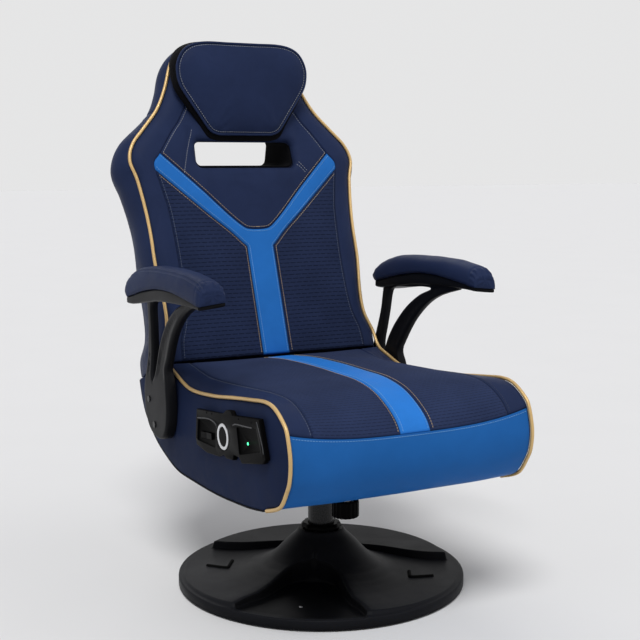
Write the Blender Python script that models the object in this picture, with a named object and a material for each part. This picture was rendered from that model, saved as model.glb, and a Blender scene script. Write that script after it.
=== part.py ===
"""Gaming rocker chair: an L-shaped upholstered seat on a swivel-tilt pedestal.

Metres, +Z up. The origin is on the floor, on the swivel axis. The seat faces -Y, and +X is the
sitter's left. The seat and back are sewn panels over foam, wrapped on two guide surfaces: the
seat surface, blended from an edge line and a centre line, and the flat leaning plane of the back.
"""

from math import asin, cos, pi, radians, sin, sqrt, tan

import bmesh
import bpy
from mathutils import Matrix, Vector

# Clearances and shared values
GAP = 0.0003                     # between two pieces that touch
SEAM = 0.0006                    # between two sewn panels
OVERRUN = 0.02                   # how far a cutter passes what it cuts
STEEL = 0.003                    # sheet steel wall
TIP = 0.001                      # chamfer at the end of a pin or bolt
WELD = 0.000003                  # points this close are one

# Base: moulded disc and cone on rubber feet
BASE_RADIUS = 0.28
BASE_LIFT = 0.003                # height of the rubber feet
RIM_WIDTH = 0.03                 # solid ring under the rim
RIM_EDGE = 0.003                 # rounding of the rim
FIELD_COLUMNS = 6                # facets from the recess to the raised field, each side
REAR_COLUMNS = 5                 # and from there to the rear
RECESS_COLUMNS = 2               # columns of the recess floor beside its middle
BASE_WALL = 0.004
NECK_RADIUS = 0.043
NECK_HEIGHT = 0.108              # top of the cone, at the first ring
HUB_WALL = 0.007
HUB_FIT = 0.0009                 # around the post in the cone
HUB_DROP = 0.012                 # of the hub's wall below the top of the cone
BASE_BLEND_POWER = 1.5           # how fast the cone falls beside the recess
BASE_TURN = radians(-37)         # the recess turns away from the seat's front
BASE_RINGS = (                   # radius, height over the recess, height at the sides and rear
    (0.043, 0.108, 0.108), (0.049, 0.0975, 0.0975), (0.061, 0.087, 0.087), (0.071, 0.077, 0.077),
    (0.0845, 0.0650, 0.0615), (0.092, 0.0600, 0.0525), (0.102, 0.0545, 0.0435),
    (0.120, 0.0480, 0.0315), (0.145, 0.0415, 0.0245), (0.1635, 0.0385, 0.0222),
    (0.1665, 0.0380, 0.0221), (0.195, 0.0345, 0.0215), (0.225, 0.0320, 0.0215),
    (0.2575, 0.0300, 0.0215), (0.2605, 0.0298, 0.0215), (0.2690, 0.0292, 0.0215),
    (0.2735, 0.0215, 0.0215))
RECESS_HALF_WIDTH = 0.120        # of the arched recess, near the rim
RECESS_APEX = 0.084              # radius where the arch closes on the cone
RECESS_DRAFT = 0.003             # how far the recess wall leans
RECESS_WIDTH_SHARES = (          # share of the run from apex to rim, share of the half width
    (0, 0), (0.03, 0.11), (0.066, 0.175), (0.178, 0.30), (0.362, 0.475), (0.58, 0.685),
    (0.786, 0.875), (0.95, 1.0), (1, 0.985))
RECESS_FLOOR = (                 # radius, height of the recess floor
    (0.084, 0.0650), (0.092, 0.046), (0.102, 0.032), (0.12, 0.0205), (0.26, 0.0205), (0.28, 0.0215))
FIELD_TOP = 0.035                # height of the raised rear field
FIELD_START = 0.165              # radius where it rises round the cone
FIELD_END = 0.259
FIELD_EDGE_DEGREES = (           # radius, angle of its front edge from the recess
    (0.165, 134), (0.17, 127), (0.18, 121), (0.195, 116), (0.21, 114), (0.23, 112), (0.26, 110))
FOOT_RADIUS = 0.011
FOOT_COUNT = 4

# Column: post, collar, bush, spindle
POST_RADIUS = 0.0258
POST_WALL = 0.003
POST_HEIGHT = 0.172
FLANGE_RADIUS = 0.070
FLANGE_HEIGHT = 0.004
FLANGE_LIFT = 0.006              # of the flange above the floor
COLLAR_RADIUS = 0.039
COLLAR_HEIGHT = 0.009
COLLAR_LUGS = 8
COLLAR_NOTCH = 0.003
BUSH_LENGTH = 0.075
BUSH_LIP = 0.0015
SPINDLE_RADIUS = 0.015
SPINDLE_END_RADIUS = 0.008
SPINDLE_END_LENGTH = 0.009
SPINDLE_TAIL = 0.010             # of the spindle below the bush
SPINDLE_FLANGE_RADIUS = 0.030
SPINDLE_FLANGE_HEIGHT = 0.006
SPINDLE_STUB_RADIUS = 0.010
NUT_RADIUS = 0.0165
NUT_HEIGHT = 0.008
THRUST_HEIGHT = 0.0034
THRUST_BORE = 0.0162

# Tilt mechanism
TRAY_HALF_WIDTH = 0.048
TRAY_REAR = 0.040
TRAY_STEP = 0.070                # distance in front of the column where the deep part ends
TRAY_STEP_RUN = 0.005
TRAY_NOSE = 0.135
TRAY_HEIGHT = 0.0389
NOSE_HEIGHT = 0.014
PIVOT_Y = 0.010
PIVOT_RISE = 0.0227              # axle above the tray's underside
AXLE_RADIUS = 0.005
AXLE_HEAD_RADIUS = 0.008
AXLE_HEAD_LENGTH = 0.004
PLATE_GAP = 0.0076               # between the tray and the seat plate
PLATE_THICKNESS = 0.0038
PLATE_HALF_WIDTH = 0.085
PLATE_FRONT = 0.150
PLATE_REAR = 0.075
PLATE_CORNER = 0.012
EAR_GAP = 0.0015
EAR_HALF_WIDTH = 0.018
EAR_DROP = 0.012                 # of the ear below the axle
BUMPER_HALF_WIDTH = 0.018
BUMPER_LENGTH = 0.0145
KNOB_Y = 0.097                   # distance of the tension bolt in front of the column
KNOB_RADIUS = 0.026
KNOB_HEIGHT = 0.032
KNOB_FLOOR = 0.012
KNOB_WALL = 0.0075
KNOB_RIBS = 18
KNOB_RIB_DEPTH = 0.0016
KNOB_CHAMFER = 0.002
KNOB_CLEAR = 0.0225              # free travel between the knob and the nose of the tray
BOLT_RADIUS = 0.005
BOLT_HEAD_RADIUS = 0.009
BOLT_HEAD_HEIGHT = 0.0056
BOLT_SLOT = 0.009                # half length of the slot in the nose
BOLT_END = 0.004                 # of the bolt above the knob's underside
SPRING_WIRE = 0.00175
SPRING_RADIUS = 0.0142
SPRING_TURNS = 5.5
SPRING_POINTS = 9                # per turn
SEAT_BOLT_RADIUS = 0.003
SEAT_BOLT_HEAD = 0.0065
SEAT_BOLT_HEAD_HEIGHT = 0.0045
SEAT_BOLT_INSET = 0.015          # of a seat bolt from the plate's edge
SEAT_BOLT_GRIP = 0.009           # of a seat bolt in the board

# Seat: guide lines as shares of reach and thickness, from the crease to under the front
SEAT_REACH = 0.348               # front of the seat from the swivel axis
SEAT_THICKNESS = 0.221           # crown of the seat above its lowest line
SEAT_DROP = 0.0189               # of the side panels' lowest line below the board
SEAT_HALF_WIDTH = 0.242          # at the piping
SKIN = 0.010                     # leather or mesh panel with its padding
FOAM_CLEAR = 0.0023              # between the skin and the foam
COVER = 0.003                    # black fabric under the seat
COVER_SHARES = (-1, -0.3, 0.3, 1)
COVER_START_SHARE = 0.3          # of the first step of the lower line left bare at the front
COVER_END_SHARE = 0.88           # of the rise from the line's end to the back's foot
BOARD_THICKNESS = 0.012
BOARD_FRONT = 0.215
BOARD_REAR = 0.160
SEAT_CROWN_POWER = 3
SEAT_EDGE_SHARES = (
    (0.546, 0.950), (0.448, 0.891), (0.213, 0.801), (-0.095, 0.824), (-0.374, 0.882),
    (-0.583, 0.923), (-0.733, 0.948), (-0.833, 0.928), (-0.925, 0.846), (-0.966, 0.769),
    (-0.997, 0.593), (-0.991, 0.443), (-0.963, 0.344), (-0.888, 0.194), (-0.741, 0.108))
SEAT_CENTRE_SHARES = (
    (0.541, 0.928), (0.431, 0.950), (0.216, 0.982), (-0.086, 1.0), (-0.359, 1.0),
    (-0.555, 0.995), (-0.718, 0.955), (-0.839, 0.878), (-0.937, 0.778), (-0.983, 0.679),
    (-1.011, 0.548), (-1.006, 0.412), (-0.977, 0.308), (-0.920, 0.195), (-0.741, 0.108))
SEAM_STATION = 9                 # the front seam's place in the two lists above
SEAM_SHARE = 0.018               # of a station left open on each side of it
FOAM_SECTION_SHARES = (-1, -0.93, -0.8, -0.65, -0.45, 0, 0.45, 0.65, 0.8, 0.93, 1)
LOWER_SHARES = (                 # side panels' lower line, from the front to the rear notch
    (-0.715, 0.097), (-0.55, 0.056), (-0.374, 0.030), (-0.2, 0.010), (-0.02, 0.0),
    (0.2, 0.0), (0.385, 0.005), (0.5, 0.035), (0.603, 0.085), (0.70, 0.140), (0.782, 0.204),
    (0.87, 0.300), (0.94, 0.400), (0.989, 0.520), (1.012, 0.610))
SIDE_BULGE = 0.010
SIDE_BULGE_POWER = 5
SIDE_LOOP_SHARES = (1, 0.96, 0.88, 0.7, 0.4)
STRIPE_HALF_WIDTH = 0.030
SEAT_BAND_WIDTH = 0.047          # leather band beside the mesh insert
PIPING_RADIUS = 0.004
PANEL_EDGE = 0.004               # rounding where a panel turns into its seam
PANEL_SINK = 0.003

# Back: a flat leaning plane through the piping, with panels in front and a shell behind
LEAN_SHARE = 0.351               # run of the back per rise
BACK_LENGTH = 0.684
BACK_SPREAD = 0.016              # of the back's shoulders beyond the seat, on each side
BACK_DEPTH = 0.165               # at the foot of the back
BACK_CROWN = 0.013               # front panels ahead of the piping
BACK_BED = 0.0042                # underside of the front panels behind the piping
BACK_OUTLINE_SHARES = (          # half width, height: from the crease to the top
    (0.938, 0.0), (0.938, 0.054), (0.884, 0.115), (0.880, 0.186), (0.908, 0.294),
    (0.912, 0.387), (0.926, 0.465), (0.959, 0.558), (1.0, 0.620), (0.958, 0.672),
    (0.841, 0.725), (0.712, 0.784), (0.620, 0.852), (0.543, 0.930), (0.465, 0.970),
    (0.340, 0.994), (0.170, 1.0), (0.0, 1.0))
BACK_DEPTH_SHARES = (            # height, depth
    (0, 1), (0.15, 0.91), (0.29, 0.79), (0.44, 0.73), (0.53, 0.75), (0.60, 0.776),
    (0.67, 0.62), (0.735, 0.46), (0.82, 0.47), (0.9, 0.51), (0.965, 0.44), (1.0, 0.29))
BACK_BULGE = 0.024
BACK_BULGE_SHARES = (
    (0, 0.42), (0.3, 0.45), (0.5, 0.75), (0.6, 1.0), (0.68, 0.8), (0.76, 0.35),
    (0.9, 0.5), (1, 0.35))
BACK_SIDE_WALL = 0.008
BACK_SIDE_TUCK = 0.006           # of the side's rear edge
BACK_SIDE_SHARES = (0, 0.25, 0.5, 0.78, 1)
REAR_COVER_SHARES = (-1, -0.8, 0, 0.8, 1)
BACK_BAND_SHARES = (0, 0.1, 0.4, 0.7, 0.9, 1)
REAR_PANEL = 0.005
REAR_CROWN = 0.006
INNER_SEAM_SHARES = (            # leather band's inner seam: half width, height
    (0.814, 0.001), (0.800, 0.060), (0.755, 0.115), (0.735, 0.186), (0.729, 0.287),
    (0.736, 0.375), (0.752, 0.460), (0.790, 0.540), (0.816, 0.587), (0.812, 0.612),
    (0.756, 0.638), (0.640, 0.702), (0.543, 0.750), (0.457, 0.810), (0.388, 0.870),
    (0.271, 0.915), (0.140, 0.928), (0.0, 0.930))
STRIPE_LOW_STATION = 8           # where the stripe's arm meets the inner seam, lower corner
STRIPE_HIGH_STATION = 10         # and its upper corner
BACK_STEPS = 34                  # along each side of the back, two per station
STRIPE_UPPER_SHARES = ((0.454, 0.526), (0.25, 0.445), (0.124, 0.402), (0.06, 0.394))
STRIPE_LOWER_SHARES = ((0.446, 0.457), (0.25, 0.391), (0.15, 0.352))
STRIPE_FORK_SHARE = 0.340        # height where the arms part from the upright bar
SLOT_HALF_WIDTH = 0.115
SLOT_HEIGHT = 0.062
SLOT_MIDDLE = 0.416              # of the slot above the crease
SLOT_CORNER = 0.016
SLOT_TAPER_SHARE = 0.115         # narrowing of each side per run towards the rear
SLOT_MOUTH = 0.009               # how far the chest panel's edge opens round the slot
LINER_WALL = 0.003
LINER_FIT = 0.0006               # around the liner in the foam

# Head pillow
PILLOW_HALF_WIDTH = 0.149
PILLOW_HEIGHT = 0.189
PILLOW_LIFT = 0.455              # of its lower edge above the crease
PILLOW_GUSSET = 0.002            # depth of the gusset at the pillow's lower edge
PILLOW_LEAN_SHARE = 0.07
PILLOW_FACE = 0.008              # thickness of the face panel at its seam
PILLOW_CROWN = 0.012
PILLOW_OUTLINE_SHARES = (        # half width, height
    (0.0, 0.0), (0.40, 0.0), (0.50, 0.025), (0.57, 0.075), (0.68, 0.20), (0.84, 0.38),
    (0.96, 0.53), (1.0, 0.66), (0.985, 0.78), (0.90, 0.90), (0.76, 0.970), (0.55, 1.0),
    (0.25, 1.0))
PILLOW_RING_SHARES = (1, 0.93, 0.80, 0.5)
PILLOW_MIDDLE_SHARE = 0.55       # height of the crown's middle

# Arms
ARM_GAP = 0.0004                 # between the arm's paddle and the side panel
ARM_THICKNESS = 0.022            # of the bolted paddle
ARM_LEG_THICKNESS = 0.016
ARM_THIN_START = 0.37            # height where the paddle begins to thin
ARM_THIN_END = 0.45              # and where it has the legs' thickness
ARM_LEAN = 0.012                 # how far the legs lean outwards at the top
ARM_LEAN_START = 0.41            # height where the lean starts
ARM_BOTTOM = 0.279
ARM_TOP = 0.572
ARM_REAR = 0.241
ARM_OUTLINE_SHARES = (           # depth share of ARM_REAR, height share from bottom to top
    (0.857, 0.91), (0.872, 0.755), (0.913, 0.62), (0.955, 0.50), (0.99, 0.37), (1.0, 0.26),
    (0.97, 0.13), (0.89, 0.045), (0.78, 0.005), (0.66, 0.0), (0.56, 0.03), (0.50, 0.10),
    (0.475, 0.20), (0.478, 0.30), (0.505, 0.40), (0.537, 0.48), (0.485, 0.555), (0.38, 0.68),
    (0.27, 0.775), (0.125, 0.865), (-0.05, 0.93), (-0.30, 0.985))
ARM_WINDOW_SHARES = (
    (0.815, 0.375), (0.842, 0.43), (0.836, 0.52), (0.81, 0.62), (0.782, 0.755), (0.765, 0.87),
    (0.73, 0.915), (0.62, 0.94), (0.40, 0.955), (0.20, 0.97), (0.08, 0.96), (0.24, 0.90),
    (0.415, 0.805), (0.56, 0.69), (0.655, 0.583), (0.712, 0.50), (0.765, 0.42))
PAD_FRONT = 0.137
PAD_BACK = 0.242
PAD_IN = 0.015                   # pad's inner edge outside the piping
PAD_WIDTH = 0.054
PAD_ROLL_SHARE = 0.11            # fall of the pad towards its outer edge
PAD_BOTTOM = 0.590               # top of the arch under the pad
PAD_THICKNESS = 0.047
PAD_STEPS = 14
PAD_LOWER_SHARES = (             # place from back to front, drop below PAD_BOTTOM
    (0, 0.71), (0.107, 0.55), (0.228, 0.32), (0.33, 0.18), (0.42, 0.07), (0.515, 0.01),
    (0.657, 0.01), (0.79, 0.106), (0.91, 0.21), (1, 0.32))
PAD_UPPER_SHARES = (             # place from back to front, height above the lower line
    (0, 0.50), (0.0126, 0.80), (0.05, 0.96), (0.107, 1.0), (0.228, 0.95), (0.375, 0.84),
    (0.515, 0.77), (0.65, 0.78), (0.78, 0.84), (0.9, 0.83), (0.95, 0.82), (0.987, 0.74), (1, 0.52))
PAD_SECTION_POWER = 2.8
PAD_END_DRAW_SHARE = 0.9         # width of the pad's end faces
ARM_PLATE_SHARES = (
    (0, 0.5), (0.05, 0.7), (0.22, 0.92), (0.375, 1), (0.515, 1), (0.645, 0.94), (0.8, 0.65),
    (1, 0.3))
ARM_PLATE = 0.026
ARM_PLATE_INSET = 0.002
ARM_BOLT_SHARES = ((0.88, 0.245), (0.76, 0.085))
ARM_BOLT_RADIUS = 0.0035
ARM_BOLT_CAP = 0.007
ARM_BOLT_CAP_HEIGHT = 0.0018
ARM_BOLT_LENGTH = 0.045

# Control panel in the sitter's right side panel
PANEL_Y = -0.146
PANEL_Z = 0.3495
PANEL_TILT = radians(-6.2)
PANEL_THICKNESS = 0.009
PANEL_HALF_LENGTH = 0.150
PANEL_HALF_HEIGHT = 0.038
PANEL_CORNER = 0.002
WINDOW_CORNER = 0.003
PANEL_OUTLINE_SHARES = (         # along, up: rear module, middle lobe, front module
    (0.94, 0.91), (0.22, 0.88), (0.12, 0.93), (0.04, 1.10), (-0.10, 1.10), (-0.15, 0.90),
    (-0.86, 0.96), (-0.98, -0.78), (-0.90, -1.0), (-0.33, -1.22), (-0.26, -0.98), (-0.12, -0.92),
    (-0.09, -1.18), (0.10, -1.18), (0.18, -1.04), (0.32, -1.18), (0.70, -1.14), (1.0, -0.86),
    (1.02, -0.5))
WINDOW_DEPTH = 0.002
REAR_WINDOW_SHARES = ((0.90, 0.40), (0.55, 0.50), (0.36, 0.25), (0.40, -0.80), (0.96, -0.62))
FRONT_WINDOW_SHARES = ((-0.24, 0.40), (-0.77, 0.50), (-0.86, -0.50), (-0.28, -0.84))
PANEL_BOX_HALF_LENGTH = 0.080
PANEL_BOX_HALF_HEIGHT = 0.026
PANEL_BOX_DEPTH = 0.040
RING_SHARE = 0.16                # the ring's middle along the panel's half length
RING_UP_SHARE = -0.18            # and up its half height
RING_RADIUS = 0.0235
RING_WIDTH = 0.0058
RING_PROUD = 0.0015
BUTTON_TRAVEL = 0.0012
BUTTON_PROUD = 0.0004
BUTTON_STEM_RADIUS = 0.006
BUTTON_STEM_DEPTH = 0.004
LED_RADIUS = 0.0022
LED_SHARES = (-0.53, -0.27)
KEY_SHARE = 0.66                 # the volume key's middle along the panel's half length
KEY_UP_SHARE = -0.30
KEY_HALF_LENGTH = 0.024
KEY_HALF_HEIGHT = 0.0055
KEY_HEIGHT = 0.006               # of its raised ends above the well's floor
KEY_WAIST = 0.005                # of its middle
KEY_PIVOT = 0.0015               # of its pivot
KEY_SLOPE_SHARE = 0.4            # of its half length, where the raised ends begin
KEY_CLEAR = 0.001                # around the key in its well
KEY_WELL = 0.003

# Speaker box in the back
SPEAKER_HALF_WIDTH = 0.085
SPEAKER_LOW = 0.16               # of its lower side above the crease
SPEAKER_HEIGHT = 0.12
SPEAKER_FRONT = 0.035            # of its front behind the piping plane

# Levels and places that follow
BASE_HUB_BOTTOM = FLANGE_LIFT + FLANGE_HEIGHT + GAP
THRUST_Z = POST_HEIGHT + GAP
SPINDLE_FLANGE_Z = THRUST_Z + THRUST_HEIGHT + GAP
TRAY_Z = SPINDLE_FLANGE_Z + SPINDLE_FLANGE_HEIGHT + GAP
TRAY_TOP = TRAY_Z + TRAY_HEIGHT
NOSE_Z = TRAY_TOP - NOSE_HEIGHT
PIVOT_Z = TRAY_Z + PIVOT_RISE
PLATE_Z = TRAY_TOP + PLATE_GAP
BOARD_Z = PLATE_Z + PLATE_THICKNESS + GAP
SEAT_Z = BOARD_Z - SEAT_DROP
KNOB_TOP = NOSE_Z - KNOB_CLEAR
KNOB_Z = KNOB_TOP - KNOB_HEIGHT
PAD_LENGTH = PAD_FRONT + PAD_BACK
PANEL_X = SEAT_HALF_WIDTH + SIDE_BULGE + GAP
FOAM_HALF_WIDTH = SEAT_HALF_WIDTH - PIPING_RADIUS - 2 * GAP
BACK_HALF_WIDTH = SEAT_HALF_WIDTH + BACK_SPREAD
BACK_SLOPE = sqrt(1 + LEAN_SHARE * LEAN_SHARE)
BACK_UP = Vector((0, LEAN_SHARE, 1)) / BACK_SLOPE
BACK_AHEAD = Vector((0, -1, LEAN_SHARE)) / BACK_SLOPE

# Colours, roughness and metallic value of each finish
NAVY_LEATHER = ((0.018, 0.026, 0.072, 1), 0.45, 0.0)
BLUE_LEATHER = ((0.030, 0.180, 0.600, 1), 0.42, 0.0)
NAVY_MESH = ((0.012, 0.015, 0.040, 1), 0.85, 0.0)
GOLD_PIPING = ((0.600, 0.360, 0.100, 1), 0.40, 0.0)
BLACK_FABRIC = ((0.010, 0.010, 0.012, 1), 0.90, 0.0)
BLACK_PLASTIC = ((0.014, 0.014, 0.016, 1), 0.45, 0.0)
GLOSS_PLASTIC = ((0.008, 0.008, 0.009, 1), 0.15, 0.0)
BLACK_STEEL = ((0.015, 0.015, 0.016, 1), 0.30, 0.9)
BRIGHT_STEEL = ((0.550, 0.550, 0.560, 1), 0.30, 1.0)
SILVER = ((0.620, 0.630, 0.660, 1), 0.25, 1.0)
RUBBER = ((0.012, 0.012, 0.012, 1), 0.90, 0.0)
NYLON = ((0.700, 0.690, 0.650, 1), 0.55, 0.0)
FOAM = ((0.550, 0.540, 0.480, 1), 0.95, 0.0)
PLYWOOD = ((0.500, 0.340, 0.190, 1), 0.70, 0.0)


# Curves and outlines


def smooth_point(points, place):
    """A point at place (0 at the first point, 1 per point) on a smooth curve through points."""
    last = len(points) - 1
    index = min(int(place), last - 1)
    part = place - index
    a = Vector(points[max(index - 1, 0)])
    b = Vector(points[index])
    c = Vector(points[index + 1])
    d = Vector(points[min(index + 2, last)])
    pull = (c - a) / 2
    push = (d - b) / 2
    turn = c - b
    return (b + pull * part + (3 * turn - 2 * pull - push) * part ** 2
            + (pull + push - 2 * turn) * part ** 3)


def smooth_line(points, steps):
    """steps + 1 points on a smooth curve, evenly shared between the given points."""
    last = len(points) - 1
    return [smooth_point(points, last * i / steps) for i in range(steps + 1)]


def share_at(shares, place):
    """Value at place in a table of (place, value), rising straight between its rows."""
    for (low, before), (high, after) in zip(shares, shares[1:]):
        if place <= high:
            return before + (after - before) * max(0, place - low) / (high - low)
    return shares[-1][1]


def rounded(corners, radius, steps=4):
    """A closed outline of plane corners, each turned with an arc of the given radius."""
    outline = []
    count = len(corners)
    for i, corner in enumerate(corners):
        here = Vector(corner)
        before = (Vector(corners[i - 1]) - here).normalized()
        after = (Vector(corners[(i + 1) % count]) - here).normalized()
        half = before.angle(after) / 2
        start = here + before * radius / tan(half)
        end = here + after * radius / tan(half)
        middle = here + (before + after).normalized() * radius / sin(half)
        for step in range(steps + 1):
            way = (start - middle).lerp(end - middle, step / steps)
            outline.append(middle + way.normalized() * radius)
    return outline


def inset(outline, distances):
    """A closed plane outline, counter-clockwise, with each point moved inwards by its distance."""
    moved = []
    count = len(outline)
    for i, point in enumerate(outline):
        before = (Vector(point) - Vector(outline[i - 1])).normalized()
        after = (Vector(outline[(i + 1) % count]) - Vector(point)).normalized()
        inwards = Vector((-before.y - after.y, before.x + after.x)).normalized()
        spread = max(inwards.dot(Vector((-after.y, after.x))), 0.5)
        moved.append(Vector(point) + inwards * distances[i] / spread)
    return moved


def polygon_area(outline):
    return sum(a[0] * b[1] - b[0] * a[1] for a, b in zip(outline, outline[1:] + outline[:1])) / 2


# Solids


def close(bm):
    bmesh.ops.remove_doubles(bm, verts=bm.verts, dist=WELD)
    bmesh.ops.recalc_face_normals(bm, faces=bm.faces)
    return bm


def slab(outer, inner):
    """A closed sheet between two grids of points with the same rows and columns."""
    bm = bmesh.new()
    top = [[bm.verts.new(p) for p in row] for row in outer]
    low = [[bm.verts.new(p) for p in row] for row in inner]
    rows = len(top)
    columns = len(top[0])
    for i in range(rows - 1):
        for j in range(columns - 1):
            bm.faces.new((top[i][j], top[i + 1][j], top[i + 1][j + 1], top[i][j + 1]))
            bm.faces.new((low[i][j], low[i][j + 1], low[i + 1][j + 1], low[i + 1][j]))
    for i in range(rows - 1):
        bm.faces.new((top[i][0], low[i][0], low[i + 1][0], top[i + 1][0]))
        bm.faces.new((top[i][-1], top[i + 1][-1], low[i + 1][-1], low[i][-1]))
    for j in range(columns - 1):
        bm.faces.new((top[0][j], top[0][j + 1], low[0][j + 1], low[0][j]))
        bm.faces.new((top[-1][j], low[-1][j], low[-1][j + 1], top[-1][j + 1]))
    return close(bm)


def loft(loops, closed=False):
    """A solid through closed loops of points, capped at both ends or joined end to end."""
    bm = bmesh.new()
    rings = [[bm.verts.new(p) for p in loop] for loop in loops]
    count = len(rings[0])
    pairs = list(zip(rings, rings[1:]))
    if closed:
        pairs.append((rings[-1], rings[0]))
    for a, b in pairs:
        for j in range(count):
            k = (j + 1) % count
            bm.faces.new((a[j], a[k], b[k], b[j]))
    if not closed:
        bm.faces.new(reversed(rings[0]))
        bm.faces.new(rings[-1])
    return close(bm)


def prism(outline, offset):
    """An outline of 3-D points pushed along an offset."""
    bm = bmesh.new()
    face = bm.faces.new([bm.verts.new(p) for p in outline])
    result = bmesh.ops.extrude_face_region(bm, geom=[face])
    verts = [item for item in result["geom"] if isinstance(item, bmesh.types.BMVert)]
    bmesh.ops.translate(bm, verts=verts, vec=offset)
    return close(bm)


def turned(profile, steps, centre=(0, 0, 0), along_x=False):
    """A profile of (radius, height) spun round an upright axis, or one along X, through centre."""
    bm = bmesh.new()
    verts = [bm.verts.new((r, 0, h)) for r, h in profile]
    edges = [bm.edges.new(pair) for pair in zip(verts, verts[1:])]
    if profile[0][0] > 0:
        edges.append(bm.edges.new((verts[-1], verts[0])))
    bmesh.ops.spin(bm, geom=verts + edges, axis=(0, 0, 1), cent=(0, 0, 0), angle=2 * pi,
                   steps=steps, use_merge=True, use_duplicate=False)
    turn = Matrix.Rotation(pi / 2, 4, "Y") if along_x else Matrix.Identity(4)
    bm.transform(Matrix.Translation(centre) @ turn)
    return close(bm)


def hexagon(radius, low, high, centre, bore=0.0):
    """A hexagonal head or nut, upright, with a plain bore where one is given."""
    x, y = centre
    corners = [(x + radius * cos(i * pi / 3), y + radius * sin(i * pi / 3)) for i in range(6)]
    if not bore:
        return prism([(a, b, low) for a, b in corners], Vector((0, 0, high - low)))
    outer = [Vector(corners[i // 2]) if i % 2 == 0 else
             (Vector(corners[i // 2]) + Vector(corners[(i // 2 + 1) % 6])) / 2 for i in range(12)]
    inner = [(x + bore * cos(i * pi / 6), y + bore * sin(i * pi / 6)) for i in range(12)]
    loops = [[(p[0], p[1], z) for p in ring] for ring, z in
             ((outer, low), (outer, high), (inner, high), (inner, low))]
    return loft(loops, closed=True)


# Objects, bodies and materials

for old in list(bpy.data.objects):
    bpy.data.objects.remove(old, do_unlink=True)

BODY_TREE = (                    # body, parent body, point on its joint's axis
    ("base", None, (0, 0, 0)),
    ("swivel", "base", (0, 0, 0)),
    ("seat", "swivel", (0, PIVOT_Y, PIVOT_Z)),
    ("knob", "seat", (0, -KNOB_Y, KNOB_Z)),
)
PLACES = {}
EMPTIES = {}


def add_body(name, parent, point):
    empty = bpy.data.objects.new(name + "_axis", None)
    bpy.context.scene.collection.objects.link(empty)
    PLACES[name] = Vector(point)
    empty.location = PLACES[name]
    if parent:
        empty.parent = EMPTIES[parent]
        empty.location = PLACES[name] - PLACES[parent]
    EMPTIES[name] = empty


def material(name, finish):
    colour, roughness, metallic = finish
    made = bpy.data.materials.new(name)
    made.use_nodes = True
    shader = made.node_tree.nodes["Principled BSDF"]
    shader.inputs["Base Color"].default_value = colour
    shader.inputs["Roughness"].default_value = roughness
    shader.inputs["Metallic"].default_value = metallic
    made.diffuse_color = colour
    return made


def add_piece(name, bm, body, finish, smooth_angle=40):
    """Make a named piece from a mesh built in world places, with its origin on its body's axis."""
    bmesh.ops.translate(bm, verts=bm.verts, vec=-PLACES[body])
    mesh = bpy.data.meshes.new(name)
    bm.to_mesh(mesh)
    bm.free()
    mesh.shade_smooth()
    mesh.set_sharp_from_angle(angle=radians(smooth_angle))
    piece = bpy.data.objects.new(name, mesh)
    bpy.context.scene.collection.objects.link(piece)
    piece.parent = EMPTIES[body]
    mesh.materials.append(material(name, finish))
    return piece


def add_cutter(name, bm):
    mesh = bpy.data.meshes.new(name)
    bm.to_mesh(mesh)
    bm.free()
    cutter = bpy.data.objects.new(name, mesh)
    bpy.context.scene.collection.objects.link(cutter)
    cutter.hide_render = True
    cutter.display_type = "WIRE"
    return cutter


def combine(piece, other, operation="DIFFERENCE"):
    modifier = piece.modifiers.new(other.name, "BOOLEAN")
    modifier.operation = operation
    modifier.solver = "EXACT"
    modifier.object = other


def soften(piece, width, segments=1, angle=40):
    modifier = piece.modifiers.new("soft_edges", "BEVEL")
    modifier.width = width
    modifier.segments = segments
    modifier.limit_method = "ANGLE"
    modifier.angle_limit = radians(angle)


for row in BODY_TREE:
    add_body(*row)


# Base


def base_direction(angle):
    """Unit direction at an angle from the middle of the recess."""
    turn = BASE_TURN - pi / 2 + angle
    return Vector((cos(turn), sin(turn), 0))


def recess_angle(radius):
    run = (radius - RECESS_APEX) / (BASE_RADIUS - RECESS_APEX)
    half = RECESS_HALF_WIDTH * share_at(RECESS_WIDTH_SHARES, max(run, 0))
    return max(asin(half / radius), 2 * RECESS_DRAFT / radius)


def field_angle(radius):
    return radians(share_at(FIELD_EDGE_DEGREES, radius))


def base_columns(radius):
    """Angles of the columns at one radius, with two at each step so that its wall is steep."""
    near = recess_angle(radius)
    far = field_angle(radius)
    lean = RECESS_DRAFT / radius
    half = [near / 2, near - min(lean, near / 4), near]
    half += [near + (far - near) * i / FIELD_COLUMNS for i in range(1, FIELD_COLUMNS + 1)]
    half.append(far + lean)
    half += [far + lean + (pi - far - lean) * i / REAR_COLUMNS for i in range(1, REAR_COLUMNS)]
    return [-angle for angle in reversed(half)] + [0] + half + [pi]


def base_top(radius, column):
    """Height of the top face at a radius, in a column counted from the middle of the recess."""
    over = share_at([(ring[0], ring[1]) for ring in BASE_RINGS], radius)
    side = share_at([(ring[0], ring[2]) for ring in BASE_RINGS], radius)
    if column <= RECESS_COLUMNS and radius > RECESS_APEX:
        return min(over, share_at(RECESS_FLOOR, radius))
    away = max(0, min(1, (column - RECESS_COLUMNS - 1) / FIELD_COLUMNS))
    height = side + (over - side) * (1 - away) ** BASE_BLEND_POWER
    if column >= FIELD_COLUMNS + RECESS_COLUMNS + 2 and FIELD_START < radius < FIELD_END:
        height = FIELD_TOP
    return height


def base_ring(radius, height=None, under=0.0):
    """One ring of the base: at a fixed height, or on the top face, or under it by a wall."""
    angles = base_columns(max(radius, NECK_RADIUS))
    middle = angles.index(0)
    points = []
    for i, angle in enumerate(angles):
        z = height
        if z is None:
            z = base_top(radius, abs(i - middle)) - under
        points.append(base_direction(angle) * radius + Vector((0, 0, z)))
    return points


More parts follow.
